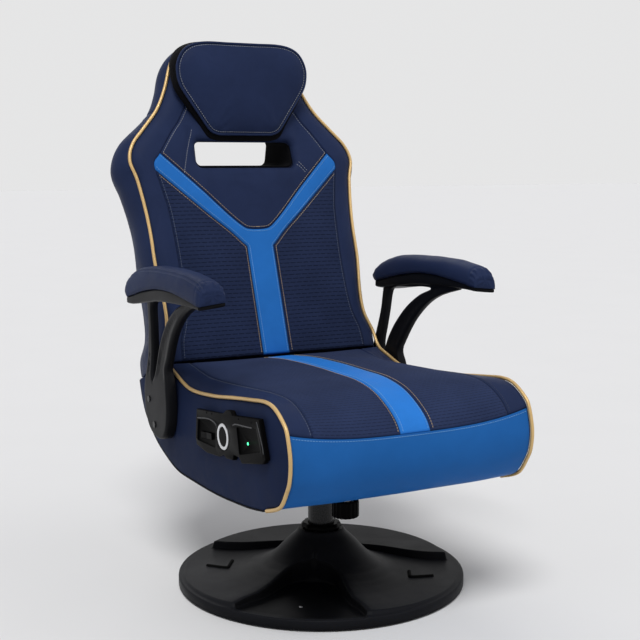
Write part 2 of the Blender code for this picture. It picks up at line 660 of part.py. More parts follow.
def make_base_shell():
    radii = [ring[0] for ring in BASE_RINGS]
    top = [base_ring(radius) for radius in radii]
    top.append(base_ring(BASE_RADIUS - RIM_EDGE))
    low = BASE_LIFT + GAP
    rim = [base_ring(BASE_RADIUS, low), base_ring(BASE_RADIUS - RIM_WIDTH, low)]
    edge = base_ring(BASE_RADIUS)
    for point in edge:
        point.z -= RIM_EDGE
    inner = [r for r in reversed(radii) if NECK_RADIUS + BASE_WALL < r < BASE_RADIUS - RIM_WIDTH]
    under = [base_ring(BASE_RADIUS - RIM_WIDTH - TIP, under=BASE_WALL)]
    under += [base_ring(radius, under=BASE_WALL) for radius in inner]
    bore = POST_RADIUS + HUB_FIT
    hub = [base_ring(bore + HUB_WALL, NECK_HEIGHT - HUB_DROP),
           base_ring(bore + HUB_WALL, BASE_HUB_BOTTOM),
           base_ring(bore, BASE_HUB_BOTTOM), base_ring(bore, NECK_HEIGHT)]
    return add_piece("base_shell", loft(top + [edge] + rim + under + hub, closed=True), "base",
                     BLACK_PLASTIC)


def make_foot(number):
    angle = 2 * pi * (number + 0.5) / FOOT_COUNT
    centre = base_direction(angle) * (BASE_RADIUS - RIM_WIDTH / 2)
    profile = [(0, 0), (FOOT_RADIUS - TIP, 0), (FOOT_RADIUS, TIP), (FOOT_RADIUS, BASE_LIFT),
               (0, BASE_LIFT)]
    add_piece(f"foot_{number + 1}", turned(profile, 16, centre), "base", RUBBER)


# Column


def make_post():
    """The steel tube on its closed bottom plate."""
    bore = POST_RADIUS - POST_WALL
    top = FLANGE_LIFT + FLANGE_HEIGHT
    profile = [(0, FLANGE_LIFT), (FLANGE_RADIUS, FLANGE_LIFT), (FLANGE_RADIUS, top),
               (POST_RADIUS, top), (POST_RADIUS, POST_HEIGHT), (bore, POST_HEIGHT), (bore, top),
               (0, top)]
    add_piece("post_tube", turned(profile, 32), "base", BLACK_STEEL)


def make_collar():
    """A collar on the cone's neck, notched round its edge for a hook spanner."""
    bore = POST_RADIUS + GAP
    low = NECK_HEIGHT + GAP
    steps = COLLAR_LUGS * 4
    outer = []
    inner = []
    for i in range(steps):
        way = Vector((cos(2 * pi * i / steps), sin(2 * pi * i / steps), 0))
        notch = COLLAR_NOTCH if i % 4 == 0 else 0
        outer.append(way * (COLLAR_RADIUS - notch))
        inner.append(way * bore)
    slope = COLLAR_NOTCH / COLLAR_RADIUS
    levels = ((outer, low, 1), (outer, low + COLLAR_HEIGHT / 2, 1),
              (outer, low + COLLAR_HEIGHT, 1 - slope), (inner, low + COLLAR_HEIGHT, 1),
              (inner, low, 1))
    loops = [[p * scale + Vector((0, 0, z)) for p in ring] for ring, z, scale in levels]
    add_piece("post_collar", loft(loops, closed=True), "base", GLOSS_PLASTIC)


def make_bush():
    bore = SPINDLE_RADIUS + GAP / 2
    outside = POST_RADIUS - POST_WALL - GAP
    high = POST_HEIGHT - BUSH_LIP
    low = high - BUSH_LENGTH
    profile = [(bore, low), (outside, low), (outside, high), (bore, high)]
    add_piece("spindle_bush", turned(profile, 24), "base", NYLON)
    return low


def make_spindle(bush_low):
    shoulder = bush_low - SPINDLE_TAIL
    end = shoulder - SPINDLE_END_LENGTH
    top = SPINDLE_FLANGE_Z + SPINDLE_FLANGE_HEIGHT
    profile = [(0, end), (SPINDLE_END_RADIUS, end), (SPINDLE_END_RADIUS, shoulder),
               (SPINDLE_RADIUS, shoulder), (SPINDLE_RADIUS, SPINDLE_FLANGE_Z),
               (SPINDLE_FLANGE_RADIUS, SPINDLE_FLANGE_Z), (SPINDLE_FLANGE_RADIUS, top),
               (SPINDLE_STUB_RADIUS, top), (SPINDLE_STUB_RADIUS, TRAY_Z + STEEL), (0, TRAY_Z + STEEL)]
    add_piece("spindle", turned(profile, 24), "swivel", BRIGHT_STEEL)
    high = shoulder - GAP
    add_piece("spindle_nut", hexagon(NUT_RADIUS, high - NUT_HEIGHT, high, (0, 0),
                                     SPINDLE_END_RADIUS + GAP), "swivel", BRIGHT_STEEL)


def make_thrust_bearing():
    outside = POST_RADIUS
    high = THRUST_Z + THRUST_HEIGHT
    profile = [(THRUST_BORE, THRUST_Z), (outside, THRUST_Z), (outside, high), (THRUST_BORE, high)]
    add_piece("thrust_bearing", turned(profile, 32), "swivel", NYLON)


# Tilt mechanism


def across(outline, half_width):
    """A (y, z) outline pushed from -half_width to +half_width along X."""
    return prism([(-half_width, y, z) for y, z in outline], Vector((2 * half_width, 0, 0)))


def pin_cutter(name, radius, low, high, centre, along_x=False, steps=16):
    profile = [(0, low), (radius, low), (radius, high), (0, high)]
    return add_cutter(name, turned(profile, steps, centre, along_x))


def make_mechanism():
    wall = STEEL
    outside = [(-TRAY_NOSE, TRAY_TOP), (-TRAY_NOSE, NOSE_Z), (-TRAY_STEP - TRAY_STEP_RUN, NOSE_Z),
               (-TRAY_STEP, TRAY_Z), (TRAY_REAR, TRAY_Z), (TRAY_REAR, TRAY_TOP)]
    inside = [(-TRAY_NOSE + wall, TRAY_TOP + OVERRUN), (-TRAY_NOSE + wall, NOSE_Z + wall),
              (-TRAY_STEP - TRAY_STEP_RUN + wall, NOSE_Z + wall), (-TRAY_STEP + wall, TRAY_Z + wall),
              (TRAY_REAR - wall, TRAY_Z + wall), (TRAY_REAR - wall, TRAY_TOP + OVERRUN)]
    tray = add_piece("mechanism_body", across(outside, TRAY_HALF_WIDTH), "swivel", BLACK_STEEL)
    combine(tray, add_cutter("tray_hollow", across(inside, TRAY_HALF_WIDTH - wall)))
    combine(tray, pin_cutter("stub_hole", SPINDLE_STUB_RADIUS + GAP, -OVERRUN, OVERRUN,
                             (0, 0, TRAY_Z)))
    combine(tray, pin_cutter("axle_hole", AXLE_RADIUS + GAP, -TRAY_HALF_WIDTH - OVERRUN,
                             TRAY_HALF_WIDTH + OVERRUN, (0, PIVOT_Y, PIVOT_Z), True))
    half = BOLT_RADIUS + GAP
    corners = ((-half, -KNOB_Y - BOLT_SLOT), (half, -KNOB_Y - BOLT_SLOT),
               (half, -KNOB_Y + BOLT_SLOT), (-half, -KNOB_Y + BOLT_SLOT))
    slot = [(p.x, p.y, NOSE_Z - OVERRUN) for p in rounded(corners, half - TIP)]
    combine(tray, add_cutter("bolt_slot", prism(slot, Vector((0, 0, wall + 2 * OVERRUN)))))


def make_axle():
    ear_out = TRAY_HALF_WIDTH + EAR_GAP + STEEL
    head = ear_out + GAP
    end = head + AXLE_HEAD_LENGTH
    profile = [(0, -end), (AXLE_HEAD_RADIUS, -end), (AXLE_HEAD_RADIUS, -head), (AXLE_RADIUS, -head),
               (AXLE_RADIUS, head), (AXLE_HEAD_RADIUS, head), (AXLE_HEAD_RADIUS, end), (0, end)]
    add_piece("tilt_axle", turned(profile, 16, (0, PIVOT_Y, PIVOT_Z), True), "swivel", BRIGHT_STEEL)


def make_bumper():
    front = -TRAY_NOSE + STEEL + GAP
    low = NOSE_Z + STEEL + GAP
    high = PLATE_Z - GAP
    outline = [(front, low), (front + BUMPER_LENGTH, low), (front + BUMPER_LENGTH, high),
               (front, high)]
    bumper = add_piece("tilt_bumper", across(outline, BUMPER_HALF_WIDTH), "swivel", RUBBER)
    soften(bumper, TIP)


def seat_bolt_places():
    x = PLATE_HALF_WIDTH - SEAT_BOLT_INSET
    return [(side * x, y) for side in (-1, 1)
            for y in (-PLATE_FRONT + SEAT_BOLT_INSET, PLATE_REAR - SEAT_BOLT_INSET)]


def make_seat_plate():
    corners = ((-PLATE_HALF_WIDTH, -PLATE_FRONT), (PLATE_HALF_WIDTH, -PLATE_FRONT),
               (PLATE_HALF_WIDTH, PLATE_REAR), (-PLATE_HALF_WIDTH, PLATE_REAR))
    outline = [(p.x, p.y, PLATE_Z) for p in rounded(corners, PLATE_CORNER, 3)]
    plate = add_piece("seat_plate", prism(outline, Vector((0, 0, PLATE_THICKNESS))), "seat",
                      BLACK_STEEL)
    low = PIVOT_Z - EAR_DROP
    foot = EAR_HALF_WIDTH - PLATE_CORNER / 2
    high = PLATE_Z + PLATE_THICKNESS / 2
    ear = [(PIVOT_Y - foot, low), (PIVOT_Y + foot, low), (PIVOT_Y + EAR_HALF_WIDTH, PIVOT_Z),
           (PIVOT_Y + EAR_HALF_WIDTH, high), (PIVOT_Y - EAR_HALF_WIDTH, high),
           (PIVOT_Y - EAR_HALF_WIDTH, PIVOT_Z)]
    start = TRAY_HALF_WIDTH + EAR_GAP
    for name, x in (("ear_left", start), ("ear_right", -start - STEEL)):
        solid = prism([(x, y, z) for y, z in ear], Vector((STEEL, 0, 0)))
        combine(plate, add_cutter(name, solid), "UNION")
    reach = start + STEEL + OVERRUN
    combine(plate, pin_cutter("ear_holes", AXLE_RADIUS + GAP, -reach, reach,
                              (0, PIVOT_Y, PIVOT_Z), True))
    for number, (x, y) in enumerate(seat_bolt_places()):
        combine(plate, pin_cutter(f"plate_hole_{number}", SEAT_BOLT_RADIUS + GAP, -OVERRUN, OVERRUN,
                                  (x, y, PLATE_Z), steps=10))
    combine(plate, pin_cutter("plate_bolt_hole", BOLT_RADIUS + GAP, -OVERRUN, OVERRUN,
                              (0, -KNOB_Y, PLATE_Z)))


def make_seat_bolt(number, x, y):
    head = PLATE_Z - GAP
    end = BOARD_Z + SEAT_BOLT_GRIP
    profile = [(0, head - SEAT_BOLT_HEAD_HEIGHT), (SEAT_BOLT_HEAD, head - SEAT_BOLT_HEAD_HEIGHT),
               (SEAT_BOLT_HEAD, head), (SEAT_BOLT_RADIUS, head), (SEAT_BOLT_RADIUS, end), (0, end)]
    add_piece(f"seat_bolt_{number + 1}", turned(profile, 12, (x, y, 0)), "seat", BRIGHT_STEEL)


def make_tension_bolt():
    low = PLATE_Z + PLATE_THICKNESS + GAP
    end = KNOB_Z + BOLT_END
    profile = [(0, end), (BOLT_RADIUS - TIP, end), (BOLT_RADIUS, end + TIP), (BOLT_RADIUS, low),
               (BOLT_HEAD_RADIUS, low), (BOLT_HEAD_RADIUS, low + BOLT_HEAD_HEIGHT),
               (0, low + BOLT_HEAD_HEIGHT)]
    add_piece("tension_bolt", turned(profile, 12, (0, -KNOB_Y, 0)), "seat", BRIGHT_STEEL)


def make_knob():
    """A cup with ribs round its side, threaded on the bolt; the spring stands on its floor."""
    steps = KNOB_RIBS * 4
    levels = ((KNOB_Z, KNOB_CHAMFER), (KNOB_Z + KNOB_CHAMFER, 0), (KNOB_TOP - TIP, 0), (KNOB_TOP, TIP))
    loops = []
    for z, cut in levels:
        loop = []
        for i in range(steps):
            angle = 2 * pi * i / steps
            radius = KNOB_RADIUS - cut - (KNOB_RIB_DEPTH if i % 4 >= 2 else 0)
            loop.append((radius * cos(angle), -KNOB_Y + radius * sin(angle), z))
        loops.append(loop)
    knob = add_piece("tension_knob", loft(loops), "knob", GLOSS_PLASTIC, 25)
    floor = KNOB_Z + KNOB_FLOOR
    combine(knob, pin_cutter("knob_cup", KNOB_RADIUS - KNOB_WALL, floor, KNOB_TOP + OVERRUN,
                             (0, -KNOB_Y, 0), steps=24))
    combine(knob, pin_cutter("knob_thread", BOLT_RADIUS + GAP, KNOB_Z + BOLT_END - GAP,
                             floor + OVERRUN, (0, -KNOB_Y, 0), steps=12))


def make_spring():
    """The tension spring, one round wire from the knob's floor to the nose of the tray."""
    low = KNOB_Z + KNOB_FLOOR + GAP + SPRING_WIRE
    high = NOSE_Z - GAP - SPRING_WIRE
    count = int(SPRING_TURNS * SPRING_POINTS)
    points = []
    for i in range(count + 1):
        angle = 2 * pi * SPRING_TURNS * i / count
        points.append(Vector((SPRING_RADIUS * cos(angle), -KNOB_Y + SPRING_RADIUS * sin(angle),
                              low + (high - low) * i / count)))
    gaps = [(points[i] - points[j]).length - 2 * SPRING_WIRE for i in range(count + 1)
            for j in range(i + SPRING_POINTS // 2, count + 1)]
    print(f"tension_spring least gap to itself {1000 * min(gaps):.2f} mm")
    curve = bpy.data.curves.new("tension_spring", "CURVE")
    curve.dimensions = "3D"
    curve.bevel_depth = SPRING_WIRE
    curve.bevel_resolution = 1
    curve.use_fill_caps = True
    spline = curve.splines.new("POLY")
    spline.points.add(count)
    for point, place in zip(spline.points, points):
        point.co = (*(place - PLACES["swivel"]), 1)
    spring = bpy.data.objects.new("tension_spring", curve)
    bpy.context.scene.collection.objects.link(spring)
    spring.parent = EMPTIES["swivel"]
    curve.materials.append(material("tension_spring", BRIGHT_STEEL))


# Seat guide surface


def seat_line(shares, place):
    share = smooth_point(shares, place)
    return Vector((0, share.x * SEAT_REACH, SEAT_Z + share.y * SEAT_THICKNESS))


def seat_point(x, place):
    """A point of the seat's skin at x, and at a place counted in stations from the crease."""
    blend = abs(x / SEAT_HALF_WIDTH) ** SEAT_CROWN_POWER
    point = seat_line(SEAT_CENTRE_SHARES, place).lerp(seat_line(SEAT_EDGE_SHARES, place), blend)
    point.x = x
    return point


def seat_normal(x, place):
    last = len(SEAT_EDGE_SHARES) - 1
    before = seat_point(x, max(place - 0.1, 0))
    after = seat_point(x, min(place + 0.1, last))
    side = seat_point(x + SEAM, place) - seat_point(x - SEAM, place)
    return (after - before).cross(side).normalized()


def seat_skin(x, place, depth):
    """A point under the seat's skin by a depth, kept inside the seam with the side panel."""
    point = seat_point(x, place) - seat_normal(x, place) * depth
    limit = SEAT_HALF_WIDTH - PIPING_RADIUS - SEAM
    point.x = max(-limit, min(limit, point.x))
    return point


def seat_panel(low_x, high_x, first, last, rows, columns):
    """A padded panel of the seat's skin, its edges sunk a little into their seams."""
    outer = []
    inner = []
    for i in range(rows + 1):
        place = first + (last - first) * i / rows
        top = []
        low = []
        for j in range(columns + 1):
            x = low_x + (high_x - low_x) * column_share(j, columns, high_x - low_x)
            sunk = PANEL_SINK if j in (0, columns) or i in (0, rows) else 0
            top.append(seat_skin(x, place, sunk))
            low.append(seat_skin(x, place, SKIN))
        outer.append(top)
        inner.append(low)
    return slab(outer, inner)


def column_share(j, columns, width):
    """Even columns, with the outermost ones at a panel edge's width from the seam."""
    edge = PANEL_EDGE / abs(width)
    if j in (0, columns):
        return j / columns
    return edge + (1 - 2 * edge) * (j - 1) / (columns - 2)


# Back guide plane


BACK_FOOT = seat_line(SEAT_EDGE_SHARES, 0)
BACK_ORIGIN = BACK_FOOT - BACK_AHEAD * BACK_CROWN
BACK_ORIGIN.x = 0


def back_point(u, v, ahead=0.0):
    """A point u across and v up the back, ahead of the plane through its piping."""
    return BACK_ORIGIN + Vector((u, 0, 0)) + BACK_UP * v + BACK_AHEAD * ahead


def back_depth(v):
    return BACK_DEPTH * share_at(BACK_DEPTH_SHARES, v / BACK_LENGTH)


def back_outline():
    """Half of the piping's line on the back plane, from the crease to the top's middle."""
    points = smooth_line(BACK_OUTLINE_SHARES, BACK_STEPS)
    return [Vector((p.x * BACK_HALF_WIDTH, p.y * BACK_LENGTH)) for p in points]


def inner_seam():
    points = smooth_line(INNER_SEAM_SHARES, BACK_STEPS)
    return [Vector((p.x * BACK_HALF_WIDTH, p.y * BACK_LENGTH)) for p in points]


def inset_half(half, distance):
    """Half an outline moved inwards, its segments kept parallel to the ones they came from."""
    moved = []
    for i, point in enumerate(half):
        after = (half[i + 1] - point).normalized() if i + 1 < len(half) else Vector((-1, 0))
        before = (point - half[i - 1]).normalized() if i else Vector((0, 1))
        inwards = Vector((-before.y - after.y, before.x + after.x)).normalized()
        moved.append(point + inwards * distance / max(inwards.dot(Vector((-after.y, after.x))), 0.5))
    return moved


# Seat


PLACE_END = len(SEAT_EDGE_SHARES) - 1


def lower_line(steps):
    """The side panels' lower line (y, z), from the front round to the notch under the back."""
    shares = smooth_line(LOWER_SHARES, steps)
    line = [Vector((p.x * SEAT_REACH, SEAT_Z + p.y * SEAT_THICKNESS)) for p in shares]
    return line


def notch():
    """The rear end of the seam between seat and back, in (y, z)."""
    point = back_point(0, 0, -BACK_DEPTH)
    return Vector((point.y, point.z))


def make_seat_board():
    half = FOAM_HALF_WIDTH
    corners = ((-half, -BOARD_FRONT), (half, -BOARD_FRONT), (half, BOARD_REAR), (-half, BOARD_REAR))
    outline = [(p.x, p.y, BOARD_Z) for p in rounded(corners, PLATE_CORNER, 3)]
    board = add_piece("seat_board", prism(outline, Vector((0, 0, BOARD_THICKNESS))), "seat", PLYWOOD)
    for number, (x, y) in enumerate(seat_bolt_places()):
        combine(board, pin_cutter(f"board_hole_{number}", SEAT_BOLT_RADIUS + GAP, -OVERRUN,
                                  BOARD_THICKNESS + OVERRUN, (x, y, BOARD_Z), steps=10))
    combine(board, pin_cutter("board_bolt_hole", BOLT_HEAD_RADIUS + TIP, -OVERRUN,
                              BOARD_THICKNESS + OVERRUN, (0, -KNOB_Y, BOARD_Z)))


def make_seat_foam():
    """The cushion's core: under the skin in front, on the board, and up to the back's foot."""
    lower = lower_line(24)
    rear = [p for p in lower if p.x > BOARD_REAR + GAP]
    front = [p for p in lower if p.x < -BOARD_FRONT - GAP]
    lift = BOARD_Z + BOARD_THICKNESS + GAP
    clear = SKIN + FOAM_CLEAR
    loops = []
    for share in FOAM_SECTION_SHARES:
        x = share * FOAM_HALF_WIDTH
        loop = []
        for i in range(2 * PLACE_END + 1):
            normal = seat_normal(x, i / 2)
            normal.x = 0
            p = seat_point(x, i / 2) - normal * clear / normal.length_squared
            loop.append((p.y, p.z))
        bottom = [(p.x, p.y + GAP) for p in front]
        bottom.append((-BOARD_FRONT - GAP, bottom[-1][1] if bottom else loop[-1][1]))
        bottom.append((-BOARD_FRONT - GAP, lift))
        bottom.append((BOARD_REAR + GAP, lift))
        bottom.append((BOARD_REAR + GAP, rear[0].y + GAP))
        bottom += [(p.x - GAP, p.y + GAP) for p in rear]
        top_rear = back_point(0, SEAM - GAP, -BACK_DEPTH + REAR_PANEL)
        top_front = back_point(0, SEAM - GAP, -BACK_BED - SKIN)
        bottom.append((top_rear.y, top_rear.z))
        bottom.append((top_front.y, top_front.z))
        loops.append([(x, y, z) for y, z in loop + bottom])
    return add_piece("seat_foam", loft(loops), "seat", FOAM)


def side_outline():
    """The seat's side panel (y, z), counter-clockwise seen from the sitter's left (+X)."""
    steps = 2 * PLACE_END
    top = [seat_line(SEAT_EDGE_SHARES, i / 2) for i in range(steps + 1)]
    points = [Vector((p.y, p.z)) for p in top]
    distances = [PIPING_RADIUS + SEAM] * len(points)
    lower = lower_line(20)[1:]
    points += lower
    distances += [GAP] * len(lower)
    end = notch()
    seam_start = back_point(0, 0, -PIPING_RADIUS - SEAM)
    start = Vector((seam_start.y, seam_start.z))
    for share in (0, 0.33, 0.66, 1):
        points.append(end.lerp(start, share))
        distances.append(0)
    return points, distances


def side_bulge(share):
    return SIDE_BULGE * (1 - share ** SIDE_BULGE_POWER)


def make_side_panel(name, side):
    """A padded side: flat inside, bulging outside from its sewn edge to a flat middle."""
    points, distances = side_outline()
    if polygon_area([tuple(p) for p in points]) < 0:
        points.reverse()
        distances.reverse()
    edge = inset(points, distances)
    middle = sum(edge, Vector((0, 0))) / len(edge)
    x = FOAM_HALF_WIDTH + GAP
    loops = [[(side * x, p.x, p.y) for p in edge]]
    for share in SIDE_LOOP_SHARES:
        out = SEAT_HALF_WIDTH + side_bulge(share)
        ring = [middle + (p - middle) * share for p in edge]
        loops.append([(side * out, p.x, p.y) for p in ring])
    return add_piece(name, loft(loops), "seat", NAVY_LEATHER)


def make_seat_skin():
    inner = SEAT_HALF_WIDTH - SEAT_BAND_WIDTH
    outer = SEAT_HALF_WIDTH - PIPING_RADIUS - SEAM
    last = SEAM_STATION - SEAM_SHARE
    half = SEAM / 2
    for side, name in ((1, "left"), (-1, "right")):
        band = seat_panel(side * (inner + half), side * outer, 0, last, 18, 4)
        add_piece(f"seat_band_{name}", band, "seat", NAVY_LEATHER)
        insert = seat_panel(side * (STRIPE_HALF_WIDTH + half), side * (inner - half), 0, last, 18, 5)
        add_piece(f"seat_insert_{name}", insert, "seat", NAVY_MESH)
    stripe = seat_panel(-STRIPE_HALF_WIDTH + half, STRIPE_HALF_WIDTH - half, 0, last, 18, 4)
    add_piece("seat_stripe", stripe, "seat", BLUE_LEATHER)
    front = seat_panel(-outer, outer, SEAM_STATION + SEAM_SHARE, PLACE_END, 10, 12)
    add_piece("front_panel", front, "seat", BLUE_LEATHER)


def make_underside_cover():
    """Black fabric over the seat's underside and rear, with an opening for the mechanism."""
    line = lower_line(26)
    line[0] = line[0].lerp(line[1], COVER_START_SHARE)
    line.append(line[-1].lerp(notch(), COVER_END_SHARE))
    outer = []
    inner = []
    half = SEAT_HALF_WIDTH + SIDE_BULGE / 2
    for i, p in enumerate(line):
        way = (line[min(i + 1, len(line) - 1)] - line[max(i - 1, 0)]).normalized()
        out = Vector((way.y, -way.x))
        near = p + out * GAP
        far = p + out * (GAP + COVER)
        outer.append([(share * half, far.x, far.y) for share in COVER_SHARES])
        inner.append([(share * half, near.x, near.y) for share in COVER_SHARES])
    cover = add_piece("underside_cover", slab(outer, inner), "seat", BLACK_FABRIC)
    x = PLATE_HALF_WIDTH + PLATE_CORNER / 2
    low_y = -PLATE_FRONT - PLATE_CORNER / 2
    high_y = PLATE_REAR + PLATE_CORNER / 2
    corners = ((-x, low_y), (x, low_y), (x, high_y), (-x, high_y))
    outline = [(p.x, p.y, SEAT_Z - OVERRUN) for p in rounded(corners, PLATE_CORNER, 3)]
    combine(cover, add_cutter("mechanism_opening", prism(outline, Vector((0, 0, 3 * OVERRUN)))))


# Piping


def piping_path(side):
    """Centre of the piping: under the seat's front, up round it, along the seat, up the back."""
    lower = [seat_line(SEAT_EDGE_SHARES, (PLACE_END * 2 - i) / 2) for i in range(PLACE_END * 2 + 1)]
    for p in lower:
        p.x = SEAT_HALF_WIDTH
    upper = [back_point(u, v) for u, v in back_outline()[2:]]
    upper[-1].x = SEAM
    path = lower + upper
    return [Vector((side * p.x, p.y, p.z)) for p in path]


def make_piping(name, side):
    points = piping_path(side)
    curve = bpy.data.curves.new(name, "CURVE")
    curve.dimensions = "3D"
    curve.bevel_depth = PIPING_RADIUS
    curve.bevel_resolution = 1
    curve.use_fill_caps = True
    spline = curve.splines.new("POLY")
    spline.points.add(len(points) - 1)
    for point, place in zip(spline.points, points):
        point.co = (*(place - PLACES["seat"]), 1)
    piece = bpy.data.objects.new(name, curve)
    bpy.context.scene.collection.objects.link(piece)
    piece.parent = EMPTIES["seat"]
    curve.materials.append(material(name, GOLD_PIPING))


# Back


def slot_outline(shrink=0.0):
    """The slot's outline (x, z), rounded at its corners."""
    half = SLOT_HALF_WIDTH - shrink
    middle = BACK_ORIGIN.z + SLOT_MIDDLE
    tall = SLOT_HEIGHT / 2 - shrink
    corners = ((-half, middle - tall), (half, middle - tall), (half, middle + tall),
               (-half, middle + tall))
    return rounded(corners, SLOT_CORNER - shrink, 4)


def slot_x(x, y):
    """A place across the slot at a depth, narrowing towards the rear."""
    run = y - BACK_ORIGIN.y - LEAN_SHARE * SLOT_MIDDLE
    return x * (1 - SLOT_TAPER_SHARE * run / SLOT_HALF_WIDTH)


def slot_cutter(name):
    near = back_point(0, 0, BACK_CROWN).y
    far = back_point(0, BACK_LENGTH, -BACK_DEPTH).y
    loops = [[(slot_x(p.x, y), y, p.y) for p in slot_outline()]
             for y in (near - OVERRUN, far + OVERRUN)]
    return add_cutter(name, loft(loops))


def plane_y(z, ahead):
    """Where a plane ahead of the piping lies at a height."""
    return BACK_ORIGIN.y + LEAN_SHARE * (z - BACK_ORIGIN.z) - ahead * BACK_SLOPE


def chest_cutter():
    """The slot's mouth: its edge rolls in from the chest panel's face to its underside."""
    loops = []
    for grow, ahead in ((SLOT_MOUTH, BACK_CROWN + OVERRUN), (SLOT_MOUTH, BACK_CROWN),
                        (-LINER_WALL, -BACK_BED), (-LINER_WALL, -BACK_BED - OVERRUN)):
        outline = slot_outline(-grow)
        loops.append([(slot_x(p.x, plane_y(p.y, ahead)), plane_y(p.y, ahead), p.y)
                      for p in outline])
    return add_cutter("chest_slot", loft(loops))


def rear_y(z, ahead=0.0):
    """How far back the rear of the back lies at a height."""
    low = 0.0
    high = BACK_LENGTH
    for _ in range(40):
        v = (low + high) / 2
        if back_point(0, v, -back_depth(v) + ahead).z < z:
            low = v
        else:
            high = v
    return back_point(0, low, -back_depth(low) + ahead).y


def make_slot_liner():
    """A black sleeve through the slot, flush with the panels in front and behind."""
    def ring(outline, front):
        points = []
        for p in outline:
            y = plane_y(p.y, -BACK_BED - LINER_FIT) if front else rear_y(p.y, -REAR_PANEL)
            points.append((slot_x(p.x, y), y, p.y))
        return points

    outer = slot_outline(LINER_FIT)
    inner = slot_outline(LINER_FIT + LINER_WALL)
    loops = [ring(outer, True), ring(outer, False), ring(inner, False), ring(inner, True)]
    add_piece("slot_liner", loft(loops, closed=True), "seat", BLACK_FABRIC)


def make_back_foam():
    half = inset_half(back_outline(), BACK_SIDE_WALL + GAP)
    loops = []
    for u, v in half[:-1]:
        v = max(v, SEAM)
        rear = -back_depth(v) + GAP + TIP
        front = -BACK_BED - GAP
        width = max(u, SLOT_CORNER)
        section = ((-width, front), (0, front), (width, front), (width, rear), (0, rear),
                   (-width, rear))
        loops.append([back_point(x, v, w) for x, w in section])
    foam = add_piece("back_foam", loft(loops), "seat", FOAM)
    combine(foam, slot_cutter("foam_slot"))
    combine(foam, add_cutter("speaker_pocket", speaker_box(GAP, OVERRUN)))


def speaker_box(clear, tail):
    """A box across the back plane, open at its tail into the rear of the foam."""
    half = SPEAKER_HALF_WIDTH + clear
    low = SPEAKER_LOW - clear
    high = SPEAKER_LOW + SPEAKER_HEIGHT + clear
    depth = back_depth(high) - TIP - LINER_FIT + tail
    outline = [back_point(x, v, -SPEAKER_FRONT + clear) for x, v in
               ((-half, low), (half, low), (half, high), (-half, high))]
    return prism(outline, BACK_AHEAD * -(depth - SPEAKER_FRONT + clear))


def make_speaker_box():
    box = add_piece("speaker_box", speaker_box(0.0, 0.0), "seat", BLACK_PLASTIC)
    soften(box, TIP)


def make_back_side():
    """The leather side of the back, one band from the foot over the top to the other foot."""
    half = back_outline()
    half[0] = Vector((half[0].x, SEAM))
    outwards = []
    for i in range(len(half)):
        way = (half[min(i + 1, len(half) - 1)] - half[max(i - 1, 0)]).normalized()
        outwards.append(Vector((way.y, -way.x)))
    outwards[0] = Vector((1, 0))
    outwards[-1] = Vector((0, 1))
    stations = list(zip(half, outwards))
    stations += [(Vector((-p.x, p.y)), Vector((-n.x, n.y))) for p, n in reversed(stations[:-1])]
    start = PIPING_RADIUS + SEAM
    loops = []
    for point, out in stations:
        deep = back_depth(point.y)
        bulge = BACK_BULGE * share_at(BACK_BULGE_SHARES, point.y / BACK_LENGTH)
        section = []
        for share in BACK_SIDE_SHARES:
            swell = bulge * sin(pi * share ** 0.8) - BACK_SIDE_TUCK * share ** 3
            section.append((swell, -start - (deep - start) * share))
        section.append((-BACK_SIDE_WALL, -deep))
        section.append((-BACK_SIDE_WALL, -start))
        loop = []
        for away, ahead in section:
            place = point + out * away
            loop.append(back_point(place.x, place.y, ahead))
        loops.append(loop)
    add_piece("back_side", loft(loops), "seat", NAVY_LEATHER)


def make_rear_cover():
    half = inset_half(back_outline(), BACK_SIDE_WALL + SEAM)
    outer = []
    inner = []
    for u, v in half[:-1]:
        v = max(v, SEAM)
        width = max(u, SLOT_CORNER)
        deep = back_depth(v)
        top = []
        low = []
        for share in REAR_COVER_SHARES:
            swell = REAR_CROWN * (1 - abs(share) ** 4)
            top.append(back_point(share * width, v, -deep - REAR_PANEL / 2 - swell))
            low.append(back_point(share * width, v, -deep + TIP))
        outer.append(top)
        inner.append(low)
    cover = add_piece("rear_cover", slab(outer, inner), "seat", NAVY_LEATHER)
    combine(cover, slot_cutter("rear_slot"))


def band_line(first, last):
    """Part of the inner seam, between two of its stations."""
    return inner_seam()[2 * first:2 * last + 1]


def shares_on_back(shares):
    return [Vector((u * BACK_HALF_WIDTH, v * BACK_LENGTH)) for u, v in shares]


def flat_panel(outline):
    """A padded front panel: its outline drawn in by half a seam, with a rounded edge."""
    if polygon_area([tuple(p) for p in outline]) < 0:
        outline = list(reversed(outline))
    edge = inset(outline, [SEAM / 2] * len(outline))
    soft = inset(edge, [PANEL_EDGE] * len(edge))
    loops = [[back_point(p.x, p.y, -BACK_BED) for p in edge],
             [back_point(p.x, p.y, BACK_CROWN - PANEL_SINK) for p in edge],
             [back_point(p.x, p.y, BACK_CROWN) for p in soft]]
    return loft(loops)


def make_back_stripe():
    """The Y: an upright bar that parts into two arms up to the leather bands."""
    end = band_line(STRIPE_LOW_STATION, STRIPE_HIGH_STATION)
    foot = Vector((STRIPE_HALF_WIDTH, SEAM))
    lower = shares_on_back(STRIPE_LOWER_SHARES)
    upper = shares_on_back(STRIPE_UPPER_SHARES)
    junction = Vector((STRIPE_HALF_WIDTH, BACK_LENGTH * STRIPE_FORK_SHARE))
    right = [foot, junction] + list(reversed(lower)) + end + upper
    left = [Vector((-p.x, p.y)) for p in reversed(right)]
    add_piece("back_stripe", flat_panel(right + left), "seat", BLUE_LEATHER)


